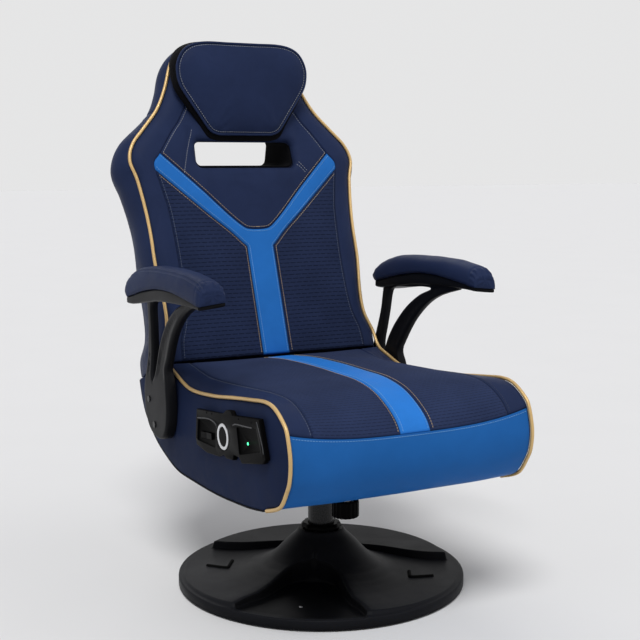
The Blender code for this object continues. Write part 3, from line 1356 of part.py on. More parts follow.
def make_back_insert(name, side):
    lower = shares_on_back(STRIPE_LOWER_SHARES)
    junction = Vector((STRIPE_HALF_WIDTH, BACK_LENGTH * STRIPE_FORK_SHARE))
    outline = [Vector((STRIPE_HALF_WIDTH, SEAM))]
    outline += band_line(0, STRIPE_LOW_STATION) + lower + [junction]
    outline = [Vector((side * p.x, p.y)) for p in outline]
    add_piece(name, flat_panel(outline), "seat", NAVY_MESH)


def make_chest_panel():
    """The leather field between the Y's arms and the top, pierced by the slot."""
    upper = shares_on_back(STRIPE_UPPER_SHARES)
    last = len(INNER_SEAM_SHARES) - 1
    right = list(reversed(upper)) + band_line(STRIPE_HIGH_STATION, last)
    left = [Vector((-p.x, p.y)) for p in reversed(right[:-1])]
    panel = add_piece("chest_panel", flat_panel(right + left), "seat", NAVY_LEATHER)
    combine(panel, chest_cutter())


def make_back_band(name, side):
    """The leather band between the piping and the inner seam, rolling down to the piping."""
    outside = inset_half(back_outline(), PIPING_RADIUS + SEAM)
    inside = inner_seam()
    outer = []
    inner = []
    for i in range(BACK_STEPS + 1):
        a = inside[i] + (outside[i] - inside[i]).normalized() * SEAM / 2
        b = outside[i]
        top = []
        low = []
        for j, share in enumerate(BACK_BAND_SHARES):
            p = a.lerp(b, share)
            u = max(p.x, SEAM)
            v = max(p.y, SEAM)
            rise = BACK_CROWN * (1 - share ** 3)
            if j == 0:
                rise -= PANEL_SINK
            top.append(back_point(side * u, v, rise))
            low.append(back_point(side * u, v, -BACK_BED))
        outer.append(top)
        inner.append(low)
    add_piece(name, slab(outer, inner), "seat", NAVY_LEATHER)


# Pillow


def pillow_outline():
    right = [Vector((u * PILLOW_HALF_WIDTH, h * PILLOW_HEIGHT)) for u, h in PILLOW_OUTLINE_SHARES]
    left = [Vector((-p.x, p.y)) for p in reversed(right[1:])]
    return right + left


def pillow_place(p, ahead):
    """A point of the pillow, ahead of the plane through its seam."""
    foot = plane_y(BACK_ORIGIN.z + PILLOW_LIFT, BACK_CROWN) - GAP - PILLOW_GUSSET
    return Vector((p.x, foot + PILLOW_LEAN_SHARE * p.y - ahead, BACK_ORIGIN.z + PILLOW_LIFT + p.y))


def make_pillow():
    edge = pillow_outline()
    middle = Vector((0, PILLOW_HEIGHT * PILLOW_MIDDLE_SHARE))
    loops = [[pillow_place(p, 0) for p in edge]]
    for share in PILLOW_RING_SHARES:
        rise = PILLOW_FACE + PILLOW_CROWN * (1 - share ** 3)
        loops.append([pillow_place(middle + (p - middle) * share, rise) for p in edge])
    add_piece("pillow_face", loft(loops), "seat", NAVY_LEATHER)
    start = []
    finish = []
    for p in edge:
        near = pillow_place(p, -GAP)
        start.append(near)
        finish.append(Vector((near.x, plane_y(near.z, BACK_CROWN) - GAP, near.z)))
    add_piece("pillow_gusset", loft([start, finish]), "seat", BLACK_FABRIC)


# Arms


def arm_points(shares):
    rise = ARM_TOP - ARM_BOTTOM
    return [Vector((y * ARM_REAR, ARM_BOTTOM + z * rise)) for y, z in shares]


def arm_lean(z):
    share = max(0, z - ARM_LEAN_START) / (ARM_TOP - ARM_LEAN_START)
    return ARM_LEAN * share


def arm_thinning(z):
    share = (z - ARM_THIN_START) / (ARM_THIN_END - ARM_THIN_START)
    return (ARM_THICKNESS - ARM_LEG_THICKNESS) * max(0, min(1, share))


def pad_line(place, x=None):
    """Height of the pad's lower face, from its back (0) to its front (1), at a distance x."""
    middle = SEAT_HALF_WIDTH + PAD_IN + PAD_WIDTH / 2
    roll = 0 if x is None else PAD_ROLL_SHARE * (abs(x) - middle)
    return PAD_BOTTOM - PAD_THICKNESS * share_at(PAD_LOWER_SHARES, place) - roll


def pad_places():
    """Places of the pad's sections, close together at its ends."""
    return [(1 - cos(pi * i / PAD_STEPS)) / 2 for i in range(PAD_STEPS + 1)]


def make_arm(name, side):
    """A moulded arm: a plate under the pad on two legs that run together into a bolted paddle."""
    inner_x = SEAT_HALF_WIDTH + SIDE_BULGE + ARM_GAP
    outline = smooth_line(arm_points(ARM_OUTLINE_SHARES), 38)
    front = outline[-1].x
    rear = outline[0].x
    for i in range(1, 10):
        y = front + (rear - front) * i / 10
        place = (PAD_BACK - y) / PAD_LENGTH
        outline.append(Vector((y, pad_line(place) - ARM_PLATE * share_at(ARM_PLATE_SHARES, place) / 2)))
    bm = prism([(side * inner_x, y, z) for y, z in outline], Vector((side * ARM_THICKNESS, 0, 0)))
    for height in (ARM_THIN_START, ARM_LEAN_START, ARM_THIN_END):
        bmesh.ops.bisect_plane(bm, geom=bm.verts[:] + bm.edges[:] + bm.faces[:],
                               plane_co=(0, 0, height), plane_no=(0, 0, 1))
    for vert in bm.verts:
        if abs(vert.co.x) > inner_x + ARM_THICKNESS / 2:
            vert.co.x -= side * arm_thinning(vert.co.z)
        vert.co.x += side * arm_lean(vert.co.z)
    arm = add_piece("arm_frame_" + name, bm, "seat", BLACK_PLASTIC)
    window = smooth_line(arm_points(ARM_WINDOW_SHARES + ARM_WINDOW_SHARES[:1]), 28)[:-1]
    low = [(side * (inner_x - OVERRUN), y, z) for y, z in window]
    through = ARM_THICKNESS + ARM_LEAN + 2 * OVERRUN
    combine(arm, add_cutter("arm_window_" + name, prism(low, Vector((side * through, 0, 0)))))
    combine(arm, add_cutter("arm_plate_" + name, arm_plate(side)), "UNION")
    for number, (y, z) in enumerate(arm_points(ARM_BOLT_SHARES)):
        near, far = sorted((side * (inner_x - OVERRUN), side * (inner_x - OVERRUN + through)))
        combine(arm, pin_cutter(f"arm_hole_{name}_{number}", ARM_BOLT_RADIUS + GAP, near, far,
                                (0, y, z), True, 12))


def arm_plate(side):
    """The curved plate under the pad, thick over the legs and thin at the front."""
    low_x = SEAT_HALF_WIDTH + PAD_IN + ARM_PLATE_INSET
    high_x = SEAT_HALF_WIDTH + PAD_IN + PAD_WIDTH - ARM_PLATE_INSET
    loops = []
    for place in pad_places()[1:-1]:
        y = PAD_BACK - PAD_LENGTH * place
        deep = ARM_PLATE * share_at(ARM_PLATE_SHARES, place)
        section = [(low_x, deep), (high_x, deep), (high_x, 0), (low_x, 0)]
        loops.append([(side * x, y, pad_line(place, x) - GAP - down) for x, down in section])
    return loft(loops)


def make_arm_pad(name, side):
    """A padded armrest: flat under, crowned over, tapering towards both ends."""
    middle = SEAT_HALF_WIDTH + PAD_IN + PAD_WIDTH / 2
    loops = []
    for place in pad_places():
        y = PAD_BACK - PAD_LENGTH * place
        tall = PAD_THICKNESS * share_at(PAD_UPPER_SHARES, place)
        draw = PAD_END_DRAW_SHARE if place in (0, 1) else 1
        half = PAD_WIDTH / 2 * draw
        loop = []
        for j in range(13):
            angle = pi * j / 12
            c = cos(angle)
            s = sin(angle)
            across_share = abs(c) ** (2 / PAD_SECTION_POWER) * (1 if c >= 0 else -1)
            up_share = abs(s) ** (2 / PAD_SECTION_POWER)
            x = middle + half * across_share
            loop.append((side * x, y, pad_line(place, x) + tall * up_share))
        loops.append(loop)
    add_piece("arm_pad_" + name, loft(loops), "seat", NAVY_LEATHER)


def make_arm_bolts(name, side):
    out = SEAT_HALF_WIDTH + SIDE_BULGE + ARM_GAP + ARM_THICKNESS
    for number, (y, z) in enumerate(arm_points(ARM_BOLT_SHARES)):
        face = out + arm_lean(z) + GAP
        end = face - ARM_BOLT_LENGTH
        top = face + ARM_BOLT_CAP_HEIGHT
        profile = [(0, end), (ARM_BOLT_RADIUS, end), (ARM_BOLT_RADIUS, face), (ARM_BOLT_CAP, face),
                   (ARM_BOLT_CAP, face + ARM_BOLT_CAP_HEIGHT / 2), (ARM_BOLT_CAP - TIP, top), (0, top)]
        if side < 0:
            profile = [(r, -h) for r, h in reversed(profile)]
        add_piece(f"arm_bolt_{name}_{number + 1}", turned(profile, 14, (0, y, z), True), "seat",
                  BLACK_STEEL)


def drill_for_arm_bolts(piece, label, side):
    """Holes for the arm bolts' shanks in what lies behind the paddle."""
    out = SEAT_HALF_WIDTH + SIDE_BULGE + OVERRUN
    deep = SEAT_HALF_WIDTH + SIDE_BULGE + ARM_GAP + ARM_THICKNESS - ARM_BOLT_LENGTH - TIP
    for number, (y, z) in enumerate(arm_points(ARM_BOLT_SHARES)):
        low, high = (deep, out) if side > 0 else (-out, -deep)
        combine(piece, pin_cutter(f"{label}_{number}", ARM_BOLT_RADIUS + GAP, low, high,
                                  (0, y, z), True, 12))


# Control panel


def panel_point(along, up, out):
    """A point on the control panel: along towards the rear, up, and out from the side panel."""
    y = PANEL_Y + along * cos(PANEL_TILT) - up * sin(PANEL_TILT)
    z = PANEL_Z + along * sin(PANEL_TILT) + up * cos(PANEL_TILT)
    return Vector((-PANEL_X - out, y, z))


def panel_outline(shares, out, radius=0.0, steps=2):
    points = [Vector((a * PANEL_HALF_LENGTH, b * PANEL_HALF_HEIGHT)) for a, b in shares]
    if radius:
        points = rounded(points, radius, steps)
    return [panel_point(p.x, p.y, out) for p in points]


def panel_box(clear, out):
    length = PANEL_BOX_HALF_LENGTH + clear
    height = PANEL_BOX_HALF_HEIGHT + clear
    corners = ((-length, -height), (length, -height), (length, height), (-length, height))
    outline = [panel_point(a, b, out) for a, b in corners]
    return prism(outline, Vector((PANEL_BOX_DEPTH + out + clear, 0, 0)))


def panel_disc(radius, low, high, along, up, bore=0.0, steps=24):
    """A disc or ring standing out from the panel, its axis along X."""
    middle = panel_point(along, up, 0)
    if bore:
        profile = [(bore, -high), (radius, -high), (radius, -low), (bore, -low)]
    else:
        profile = [(0, -high), (radius, -high), (radius, -low), (0, -low)]
    return turned(profile, steps, middle, True)


def make_control_panel():
    panel = add_piece("control_panel", prism(panel_outline(PANEL_OUTLINE_SHARES, 0.0, PANEL_CORNER, 1),
                                             Vector((-PANEL_THICKNESS, 0, 0))), "seat", GLOSS_PLASTIC)
    soften(panel, TIP)
    combine(panel, add_cutter("panel_housing", panel_box(0.0, TIP)), "UNION")
    floor = PANEL_THICKNESS - WINDOW_DEPTH
    for label, shares in (("rear_window", REAR_WINDOW_SHARES), ("front_window", FRONT_WINDOW_SHARES)):
        window = prism(panel_outline(shares, floor, WINDOW_CORNER, 2), Vector((-OVERRUN, 0, 0)))
        combine(panel, add_cutter(label, window))
    along = RING_SHARE * PANEL_HALF_LENGTH
    up = RING_UP_SHARE * PANEL_HALF_HEIGHT
    combine(panel, add_cutter("ring_seat", panel_disc(RING_RADIUS + GAP, floor, OVERRUN, along, up)))
    well = floor - BUTTON_TRAVEL - BUTTON_STEM_DEPTH - GAP
    combine(panel, add_cutter("button_well", panel_disc(BUTTON_STEM_RADIUS + GAP, well, OVERRUN,
                                                        along, up)))
    button = RING_RADIUS - RING_WIDTH
    combine(panel, add_cutter("button_seat", panel_disc(button, floor - BUTTON_TRAVEL - GAP, OVERRUN,
                                                        along, up)))
    middle = KEY_SHARE * PANEL_HALF_LENGTH
    length = KEY_HALF_LENGTH + KEY_CLEAR
    level = KEY_UP_SHARE * PANEL_HALF_HEIGHT
    low = level - KEY_HALF_HEIGHT - KEY_CLEAR
    high = level + KEY_HALF_HEIGHT + KEY_CLEAR
    corners = ((middle - length, low), (middle + length, low), (middle + length, high),
               (middle - length, high))
    key_well = prism([panel_point(a, b, floor - KEY_WELL) for a, b in corners],
                     Vector((-OVERRUN, 0, 0)))
    combine(panel, add_cutter("key_well", key_well))
    led = panel_disc(LED_RADIUS, floor - TIP, floor + TIP, LED_SHARES[0] * PANEL_HALF_LENGTH,
                     LED_SHARES[1] * PANEL_HALF_HEIGHT, steps=12)
    combine(panel, add_cutter("status_light", led), "UNION")


def make_ring_and_button():
    along = RING_SHARE * PANEL_HALF_LENGTH
    floor = PANEL_THICKNESS - WINDOW_DEPTH + GAP
    high = PANEL_THICKNESS + RING_PROUD
    up = RING_UP_SHARE * PANEL_HALF_HEIGHT
    middle = panel_point(along, up, 0)
    bore = RING_RADIUS - RING_WIDTH
    profile = [(bore, -high + TIP), (bore + TIP, -high), (RING_RADIUS - TIP, -high),
               (RING_RADIUS, -high + TIP), (RING_RADIUS, -floor), (bore, -floor)]
    add_piece("panel_ring", turned(profile, 32, middle, True), "seat", SILVER)
    radius = bore - GAP
    top = PANEL_THICKNESS + BUTTON_PROUD
    end = floor - BUTTON_STEM_DEPTH
    button = [(0, -top), (radius - TIP, -top), (radius, -top + TIP), (radius, -floor),
              (BUTTON_STEM_RADIUS, -floor), (BUTTON_STEM_RADIUS, -end), (0, -end)]
    add_body("button", "seat", middle)
    add_piece("power_button", turned(button, 24, middle, True), "button", GLOSS_PLASTIC)


def make_volume_key():
    """A rocker key with a raised end each way, pivoted at its middle."""
    middle = KEY_SHARE * PANEL_HALF_LENGTH
    floor = PANEL_THICKNESS - WINDOW_DEPTH - KEY_WELL
    low = floor + KEY_PIVOT
    high = floor + KEY_HEIGHT
    step = high - TIP / 2
    top = ((-1, high), (-KEY_SLOPE_SHARE, step), (0, floor + KEY_WAIST), (KEY_SLOPE_SHARE, step),
           (1, high))
    level = KEY_UP_SHARE * PANEL_HALF_HEIGHT
    outline = [panel_point(middle + share * KEY_HALF_LENGTH, level - KEY_HALF_HEIGHT, out)
               for share, out in top]
    outline += [panel_point(middle + share * KEY_HALF_LENGTH, level - KEY_HALF_HEIGHT, out)
                for share, out in ((1, low), (0, floor + GAP), (-1, low))]
    across_key = panel_point(0, KEY_HALF_HEIGHT, 0) - panel_point(0, -KEY_HALF_HEIGHT, 0)
    pivot = panel_point(middle, level, low)
    add_body("key", "seat", pivot)
    add_piece("volume_key", prism(outline, across_key), "key", GLOSS_PLASTIC)


# Assembly


def make_chair():
    make_base_shell()
    for number in range(FOOT_COUNT):
        make_foot(number)
    make_post()
    make_collar()
    make_spindle(make_bush())
    make_thrust_bearing()
    make_mechanism()
    make_axle()
    make_bumper()
    make_seat_plate()
    for number, (x, y) in enumerate(seat_bolt_places()):
        make_seat_bolt(number, x, y)
    make_tension_bolt()
    make_knob()
    make_spring()
    make_seat_board()
    foam = make_seat_foam()
    make_seat_skin()
    make_underside_cover()
    for side, name in ((1, "left"), (-1, "right")):
        panel = make_side_panel("side_panel_" + name, side)
        drill_for_arm_bolts(panel, "panel_hole_" + name, side)
        drill_for_arm_bolts(foam, "foam_hole_" + name, side)
        make_piping("piping_" + name, side)
        make_back_insert("back_insert_" + name, side)
        make_back_band("back_band_" + name, side)
        make_arm(name, side)
        make_arm_pad(name, side)
        make_arm_bolts(name, side)
    combine(panel, add_cutter("panel_pocket", panel_box(GAP, OVERRUN)))
    combine(foam, add_cutter("foam_pocket", panel_box(GAP, OVERRUN)))
    make_back_foam()
    make_speaker_box()
    make_back_side()
    make_rear_cover()
    make_slot_liner()
    make_back_stripe()
    make_chest_panel()
    make_pillow()
    make_control_panel()
    make_ring_and_button()
    make_volume_key()


make_chair()
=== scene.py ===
"""Looks of a gaming rocker chair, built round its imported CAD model.

The sewn panels are filled outlines laid on the same guide surfaces as the solids they stand for,
held down at their seams and puffed by the cloth solver. Stitches are Geometry Nodes instances
along lines that are settled on the finished panels.
"""

from math import asin, cos, pi, radians, sin, sqrt

import bmesh
import bpy
import numpy as np
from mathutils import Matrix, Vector, geometry
from mathutils.bvhtree import BVHTree


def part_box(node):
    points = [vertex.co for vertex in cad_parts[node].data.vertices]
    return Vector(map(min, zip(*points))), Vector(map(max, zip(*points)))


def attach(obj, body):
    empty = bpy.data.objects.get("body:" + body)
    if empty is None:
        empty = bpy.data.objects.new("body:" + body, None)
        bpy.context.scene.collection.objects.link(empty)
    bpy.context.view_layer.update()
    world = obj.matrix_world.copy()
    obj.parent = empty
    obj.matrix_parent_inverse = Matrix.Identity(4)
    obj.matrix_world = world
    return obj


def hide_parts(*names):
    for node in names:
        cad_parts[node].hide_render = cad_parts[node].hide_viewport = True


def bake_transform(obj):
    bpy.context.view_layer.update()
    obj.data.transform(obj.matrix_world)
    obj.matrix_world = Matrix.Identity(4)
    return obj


bl_info = {
    "name": "Gaming rocker chair",
    "version": (1, 0, 0),
    "blender": (4, 5, 0),
    "location": "View3D > Sidebar > Chair",
    "description": "Padded panels, seams, mouldings and studio of a gaming rocker chair",
    "category": "Add Mesh",
}

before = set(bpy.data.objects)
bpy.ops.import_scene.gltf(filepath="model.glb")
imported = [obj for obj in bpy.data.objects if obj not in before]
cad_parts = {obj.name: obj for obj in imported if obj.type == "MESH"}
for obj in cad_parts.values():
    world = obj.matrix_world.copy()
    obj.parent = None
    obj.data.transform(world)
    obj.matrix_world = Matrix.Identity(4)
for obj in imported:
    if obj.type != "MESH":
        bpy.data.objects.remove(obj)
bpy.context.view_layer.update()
SCENE = bpy.context.scene

SIDES = ((1, "left"), (-1, "right"))

# Guide sizes in metres, the same as the solids'. Shares are of the sizes beside them.
GAP = 0.0003
SEAM = 0.0006
BOARD_LIFT = 0.0189               # the seat board above the seat's lowest line
SEAT_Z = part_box("seat_board")[0].z - BOARD_LIFT
SEAT_REACH = 0.348
SEAT_THICKNESS = 0.221
SEAT_HALF_WIDTH = 0.242
SKIN = 0.010
SEAT_CROWN_POWER = 3
SEAT_EDGE_SHARES = (
    (0.546, 0.950), (0.448, 0.891), (0.213, 0.801), (-0.095, 0.824), (-0.374, 0.882),
    (-0.583, 0.923), (-0.733, 0.948), (-0.833, 0.928), (-0.925, 0.846), (-0.966, 0.769),
    (-0.997, 0.593), (-0.991, 0.443), (-0.963, 0.344), (-0.888, 0.194), (-0.741, 0.108))
SEAT_CENTRE_SHARES = (
    (0.541, 0.928), (0.431, 0.950), (0.216, 0.982), (-0.086, 1.0), (-0.359, 1.0),
    (-0.555, 0.995), (-0.718, 0.955), (-0.839, 0.878), (-0.937, 0.778), (-0.983, 0.679),
    (-1.011, 0.548), (-1.006, 0.412), (-0.977, 0.308), (-0.920, 0.195), (-0.741, 0.108))
SEAM_STATION = 9                  # the row at which the front panel is sewn on
LOWER_SHARES = (
    (-0.715, 0.097), (-0.55, 0.056), (-0.374, 0.030), (-0.2, 0.010), (-0.02, 0.0),
    (0.2, 0.0), (0.385, 0.005), (0.5, 0.035), (0.603, 0.085), (0.70, 0.140), (0.782, 0.204),
    (0.87, 0.300), (0.94, 0.400), (0.989, 0.520), (1.012, 0.610))
STRIPE_HALF_WIDTH = 0.030
SEAT_BAND_WIDTH = 0.047
PIPING_RADIUS = 0.004
SIDE_BULGE = 0.010

LEAN = 0.351                      # how far the back leans to the rear over its height
BACK_LENGTH = 0.684
BACK_HALF_WIDTH = 0.258
BACK_DEPTH = 0.165
BACK_CROWN = 0.013
BACK_BED = 0.0042
BACK_OUTLINE_SHARES = (
    (0.938, 0.0), (0.938, 0.054), (0.884, 0.115), (0.880, 0.186), (0.908, 0.294),
    (0.912, 0.387), (0.926, 0.465), (0.959, 0.558), (1.0, 0.620), (0.958, 0.672),
    (0.841, 0.725), (0.712, 0.784), (0.620, 0.852), (0.543, 0.930), (0.465, 0.970),
    (0.340, 0.994), (0.170, 1.0), (0.0, 1.0))
BACK_DEPTH_SHARES = (
    (0, 1), (0.15, 0.91), (0.29, 0.79), (0.44, 0.73), (0.53, 0.75), (0.60, 0.776),
    (0.67, 0.62), (0.735, 0.46), (0.82, 0.47), (0.9, 0.51), (0.965, 0.44), (1.0, 0.29))
BACK_BULGE = 0.024
BACK_BULGE_SHARES = (
    (0, 0.42), (0.3, 0.45), (0.5, 0.75), (0.6, 1.0), (0.68, 0.8), (0.76, 0.35),
    (0.9, 0.5), (1, 0.35))
BACK_SIDE_WALL = 0.008
BACK_SIDE_TUCK = 0.006
REAR_PANEL = 0.005
REAR_CROWN = 0.006
INNER_SEAM_SHARES = (
    (0.814, 0.001), (0.800, 0.060), (0.755, 0.115), (0.735, 0.186), (0.729, 0.287),
    (0.736, 0.375), (0.752, 0.460), (0.790, 0.540), (0.816, 0.587), (0.812, 0.612),
    (0.756, 0.638), (0.640, 0.702), (0.543, 0.750), (0.457, 0.810), (0.388, 0.870),
    (0.271, 0.915), (0.140, 0.928), (0.0, 0.930))
STRIPE_LOW_STATION = 8
STRIPE_HIGH_STATION = 10
STRIPE_UPPER_SHARES = ((0.454, 0.526), (0.25, 0.445), (0.124, 0.402), (0.06, 0.394))
STRIPE_LOWER_SHARES = ((0.446, 0.457), (0.25, 0.391), (0.15, 0.352))
STRIPE_FORK_SHARE = 0.340
SLOT_HALF_WIDTH = 0.115
SLOT_HEIGHT = 0.062
SLOT_MIDDLE = 0.416
SLOT_CORNER = 0.016
SLOT_TAPER = 1.0                  # how fast the slot narrows to the rear, per metre
LINER_WALL = 0.003
CHEST_DARTS = (((-0.122, 0.4862), (-0.1375, 0.4422), (-0.1506, 0.3960)),
               ((0.1195, 0.4140), (0.1270, 0.4055), (0.1345, 0.3965)))
CHEST_FOLD = ((0.1190, 0.4300), (0.1205, 0.4450), (0.1270, 0.4700), (0.1300, 0.4900))
SHOULDER_DART = 0.530

PILLOW_HALF_WIDTH = 0.149
PILLOW_HEIGHT = 0.189
PILLOW_LIFT = 0.455
PILLOW_GUSSET = 0.002
PILLOW_LEAN = 0.07
PILLOW_FACE = 0.008
PILLOW_CROWN = 0.012
PILLOW_OUTLINE_SHARES = (
    (0.0, 0.0), (0.40, 0.0), (0.50, 0.025), (0.57, 0.075), (0.68, 0.20), (0.84, 0.38),
    (0.96, 0.53), (1.0, 0.66), (0.985, 0.78), (0.90, 0.90), (0.76, 0.970), (0.55, 1.0),
    (0.25, 1.0))

ARM_INNER = 0.2524
ARM_THICKNESS = 0.022
ARM_LEG_THICKNESS = 0.016
ARM_THIN_START = 0.37
ARM_THIN_END = 0.45
ARM_LEAN = 0.012
ARM_LEAN_START = 0.41
ARM_BOTTOM = 0.279
ARM_TOP = 0.572
ARM_REAR = 0.241
ARM_OUTLINE_SHARES = (
    (0.857, 0.91), (0.872, 0.755), (0.913, 0.62), (0.955, 0.50), (0.99, 0.37), (1.0, 0.26),
    (0.97, 0.13), (0.89, 0.045), (0.78, 0.005), (0.66, 0.0), (0.56, 0.03), (0.50, 0.10),
    (0.475, 0.20), (0.478, 0.30), (0.505, 0.40), (0.537, 0.48), (0.485, 0.555), (0.38, 0.68),
    (0.27, 0.775), (0.125, 0.865), (-0.05, 0.93), (-0.30, 0.985))
ARM_WINDOW_SHARES = (
    (0.815, 0.375), (0.842, 0.43), (0.836, 0.52), (0.81, 0.62), (0.782, 0.755), (0.765, 0.87),
    (0.73, 0.915), (0.62, 0.94), (0.40, 0.955), (0.20, 0.97), (0.09, 0.962), (0.265, 0.905),
    (0.447, 0.812), (0.597, 0.695), (0.694, 0.588), (0.745, 0.50), (0.783, 0.42))
PAD_FRONT = 0.137
PAD_BACK = 0.242
PAD_IN = 0.015
PAD_WIDTH = 0.054
PAD_ROLL = 0.11
PAD_BOTTOM = 0.590
PAD_THICKNESS = 0.047
PAD_LOWER_SHARES = (
    (0, 0.71), (0.107, 0.55), (0.228, 0.32), (0.33, 0.18), (0.42, 0.07), (0.515, 0.01),
    (0.657, 0.01), (0.79, 0.106), (0.91, 0.21), (1, 0.32))
PAD_UPPER_SHARES = (
    (0, 0.46), (0.0126, 0.70), (0.05, 0.89), (0.107, 0.98), (0.17, 0.99), (0.228, 0.96),
    (0.375, 0.85), (0.515, 0.77), (0.65, 0.78), (0.78, 0.84), (0.9, 0.83), (0.95, 0.82),
    (0.987, 0.74), (1, 0.52))
PAD_SECTION_POWER = 2.8
PAD_TOP_ROLL = 0.12               # the top stands higher at its outer side
PAD_BULGES = ((-1, 0.0022), (1, 0.0075))   # front and rear ends
ARM_PLATE_SHARES = (
    (0, 0.5), (0.05, 0.7), (0.22, 0.92), (0.375, 1), (0.515, 1), (0.645, 0.94), (0.8, 0.65),
    (1, 0.3))
ARM_PLATE = 0.026
ARM_PLATE_INSET = 0.002
PAD_LENGTH = PAD_FRONT + PAD_BACK

BASE_RADIUS = 0.28
BASE_LIFT = 0.0033               # rim above the floor
RIM_EDGE = 0.003
BASE_TURN = radians(-37)
BASE_RINGS = (                     # radius, height over the recess, height elsewhere
    (0.043, 0.108, 0.108), (0.049, 0.0975, 0.0975), (0.061, 0.087, 0.087), (0.071, 0.077, 0.077),
    (0.0845, 0.0650, 0.0615), (0.092, 0.0600, 0.0525), (0.102, 0.0545, 0.0435),
    (0.120, 0.0480, 0.0315), (0.145, 0.0415, 0.0245), (0.1635, 0.0385, 0.0222),
    (0.1665, 0.0380, 0.0221), (0.195, 0.0345, 0.0215), (0.225, 0.0320, 0.0215),
    (0.2575, 0.0300, 0.0215), (0.2605, 0.0298, 0.0215), (0.2690, 0.0292, 0.0215),
    (0.2735, 0.0215, 0.0215))
RECESS_HALF_WIDTH = 0.120
RECESS_APEX = 0.084
RECESS_DRAFT = 0.003
RECESS_WIDTH_SHARES = (
    (0, 0.02), (0.01, 0.11), (0.025, 0.19), (0.047, 0.262), (0.107, 0.362), (0.20, 0.44),
    (0.33, 0.52), (0.48, 0.612), (0.62, 0.71), (0.786, 0.875), (0.95, 1.0), (1, 0.985))
RECESS_FLOOR = (
    (0.084, 0.0650), (0.0848, 0.0300), (0.088, 0.0225), (0.10, 0.0205), (0.26, 0.0205),
    (0.28, 0.0215))
FIELD_TOP = 0.035
FIELD_START = 0.116
FIELD_END = 0.259
FIELD_EDGE_DEGREES = (
    (0.110, 171), (0.120, 165), (0.135, 153), (0.150, 142), (0.165, 132), (0.18, 124),
    (0.195, 118.5), (0.21, 115), (0.23, 112), (0.26, 110))
BASE_BLEND_POWER = 1.5
BASE_SCREW = (-0.132, -0.168)

COIL_Y = -0.097
COIL_RADIUS = 0.0142
COIL_WIRE = 0.00175
COIL_TURNS = 5.5
COIL_ROOM = 0.0007                # left free at each end for the tilt

PANEL_X = 0.2523
PANEL_THICKNESS = 0.009
WELL_LIP = 0.0015                 # a face of the panel this far in from its front is a well's floor, which gets a darker finish as painted shade
# lines along the panel's bevels, where thin raised trims in a lighter finish stand for the
# highlights: painted highlights
PANEL_HIGHLIGHT_LINES = (
    ((-0.008, 0.3525), (-0.0432, 0.3584), (-0.0677, 0.3603), (-0.0864, 0.3584), (-0.0945, 0.3549)),
    ((-0.1655, 0.3690), (-0.1788, 0.3731), (-0.2128, 0.3763), (-0.2435, 0.3791)),
    ((-0.2622, 0.3930), (-0.2733, 0.3746), (-0.2843, 0.3550), (-0.2880, 0.3440)))
PANEL_WELLS = ((-0.0735, 0.3721), (-0.1888, 0.3844), (-0.050, 0.3700), (-0.2400, 0.3880))
PANEL_LIGHT = (-0.2251, 0.3486)

BACK_SLOPE = sqrt(1 + LEAN * LEAN)
BACK_UP = np.array((0, LEAN, 1)) / BACK_SLOPE
BACK_AHEAD = np.array((0, -1, LEAN)) / BACK_SLOPE

# Meshes
EASED_SAMPLES = 9
SHARP_CORNER = radians(28)        # an outline keeps its points where it bends more than this
GRID_ROW = 0.866                  # rows of equal-sided triangles
GRID_CLEAR = 0.6                  # steps between the grid and the rows beside a seam
ROW_CLEAR = 0.93                  # share of its distance that a row keeps from every seam
WELD = 1e-7
SEAM_ROWS = (0.0012, 0.0028, 0.005)
SEWN_MARGIN = 0.0006              # points this far beyond the last row are still held
UNDER_STEP = 0.02                 # the undersides of panels are coarse
FINE_STEP, LEATHER_STEP, MESH_STEP, BROAD_STEP = 0.0045, 0.0055, 0.0065, 0.008
TUBE_SIDE = (0.3, 0.2, 1.0)       # lies along no path
SLOPE_RUN, SLOPE_X = 0.004, 0.002  # how far apart the seat's slope is measured
PIPING_OVERLAP = 0.0012           # the seat's panels go this far under the cord
RIPPLES = (                       # rate, bend and the bend's rate of each wave
    (1.0, 1.7, 0.9), (1.3, 1.4, 1.1), (1.2, 1.6, 0.8))
CORNER_EASE = 0.03                # share of a length over which the corners of its table are eased

# Skins
SEAM_SINK = 0.0030
SEAM_ROLL, SEAM_ROLL_POWER = 0.0022, 1.6
STITCH_EDGE = 0.0045              # topstitches run this far from their seam
STITCH_DIP, STITCH_DIP_WIDTH = 0.0006, 0.0013
STITCH_STEP = 0.003
STITCH_LIFT = 0.0003
STITCH_CLEAR, STITCH_NEAR = 0.9, 1.3   # shares of a topstitch's distance from its seam
SHORTEST_SEAM = 3                 # points
SWELLS = {                        # height and pitch of each skin's small uneven swells
    "seat": (0.0009, 42), "seat_mesh": (0.0006, 35), "side": (0.0007, 30), "fork": (0.0007, 42),
    "back_mesh": (0.0006, 30), "bolster": (0.0008, 50), "chest": (0.0009, 40), "rear": (0.001, 26),
    "pillow": (0.0008, 34)}
SWELL_START, SWELL_RUN = 0.004, 0.02   # the swells begin this far from a seam

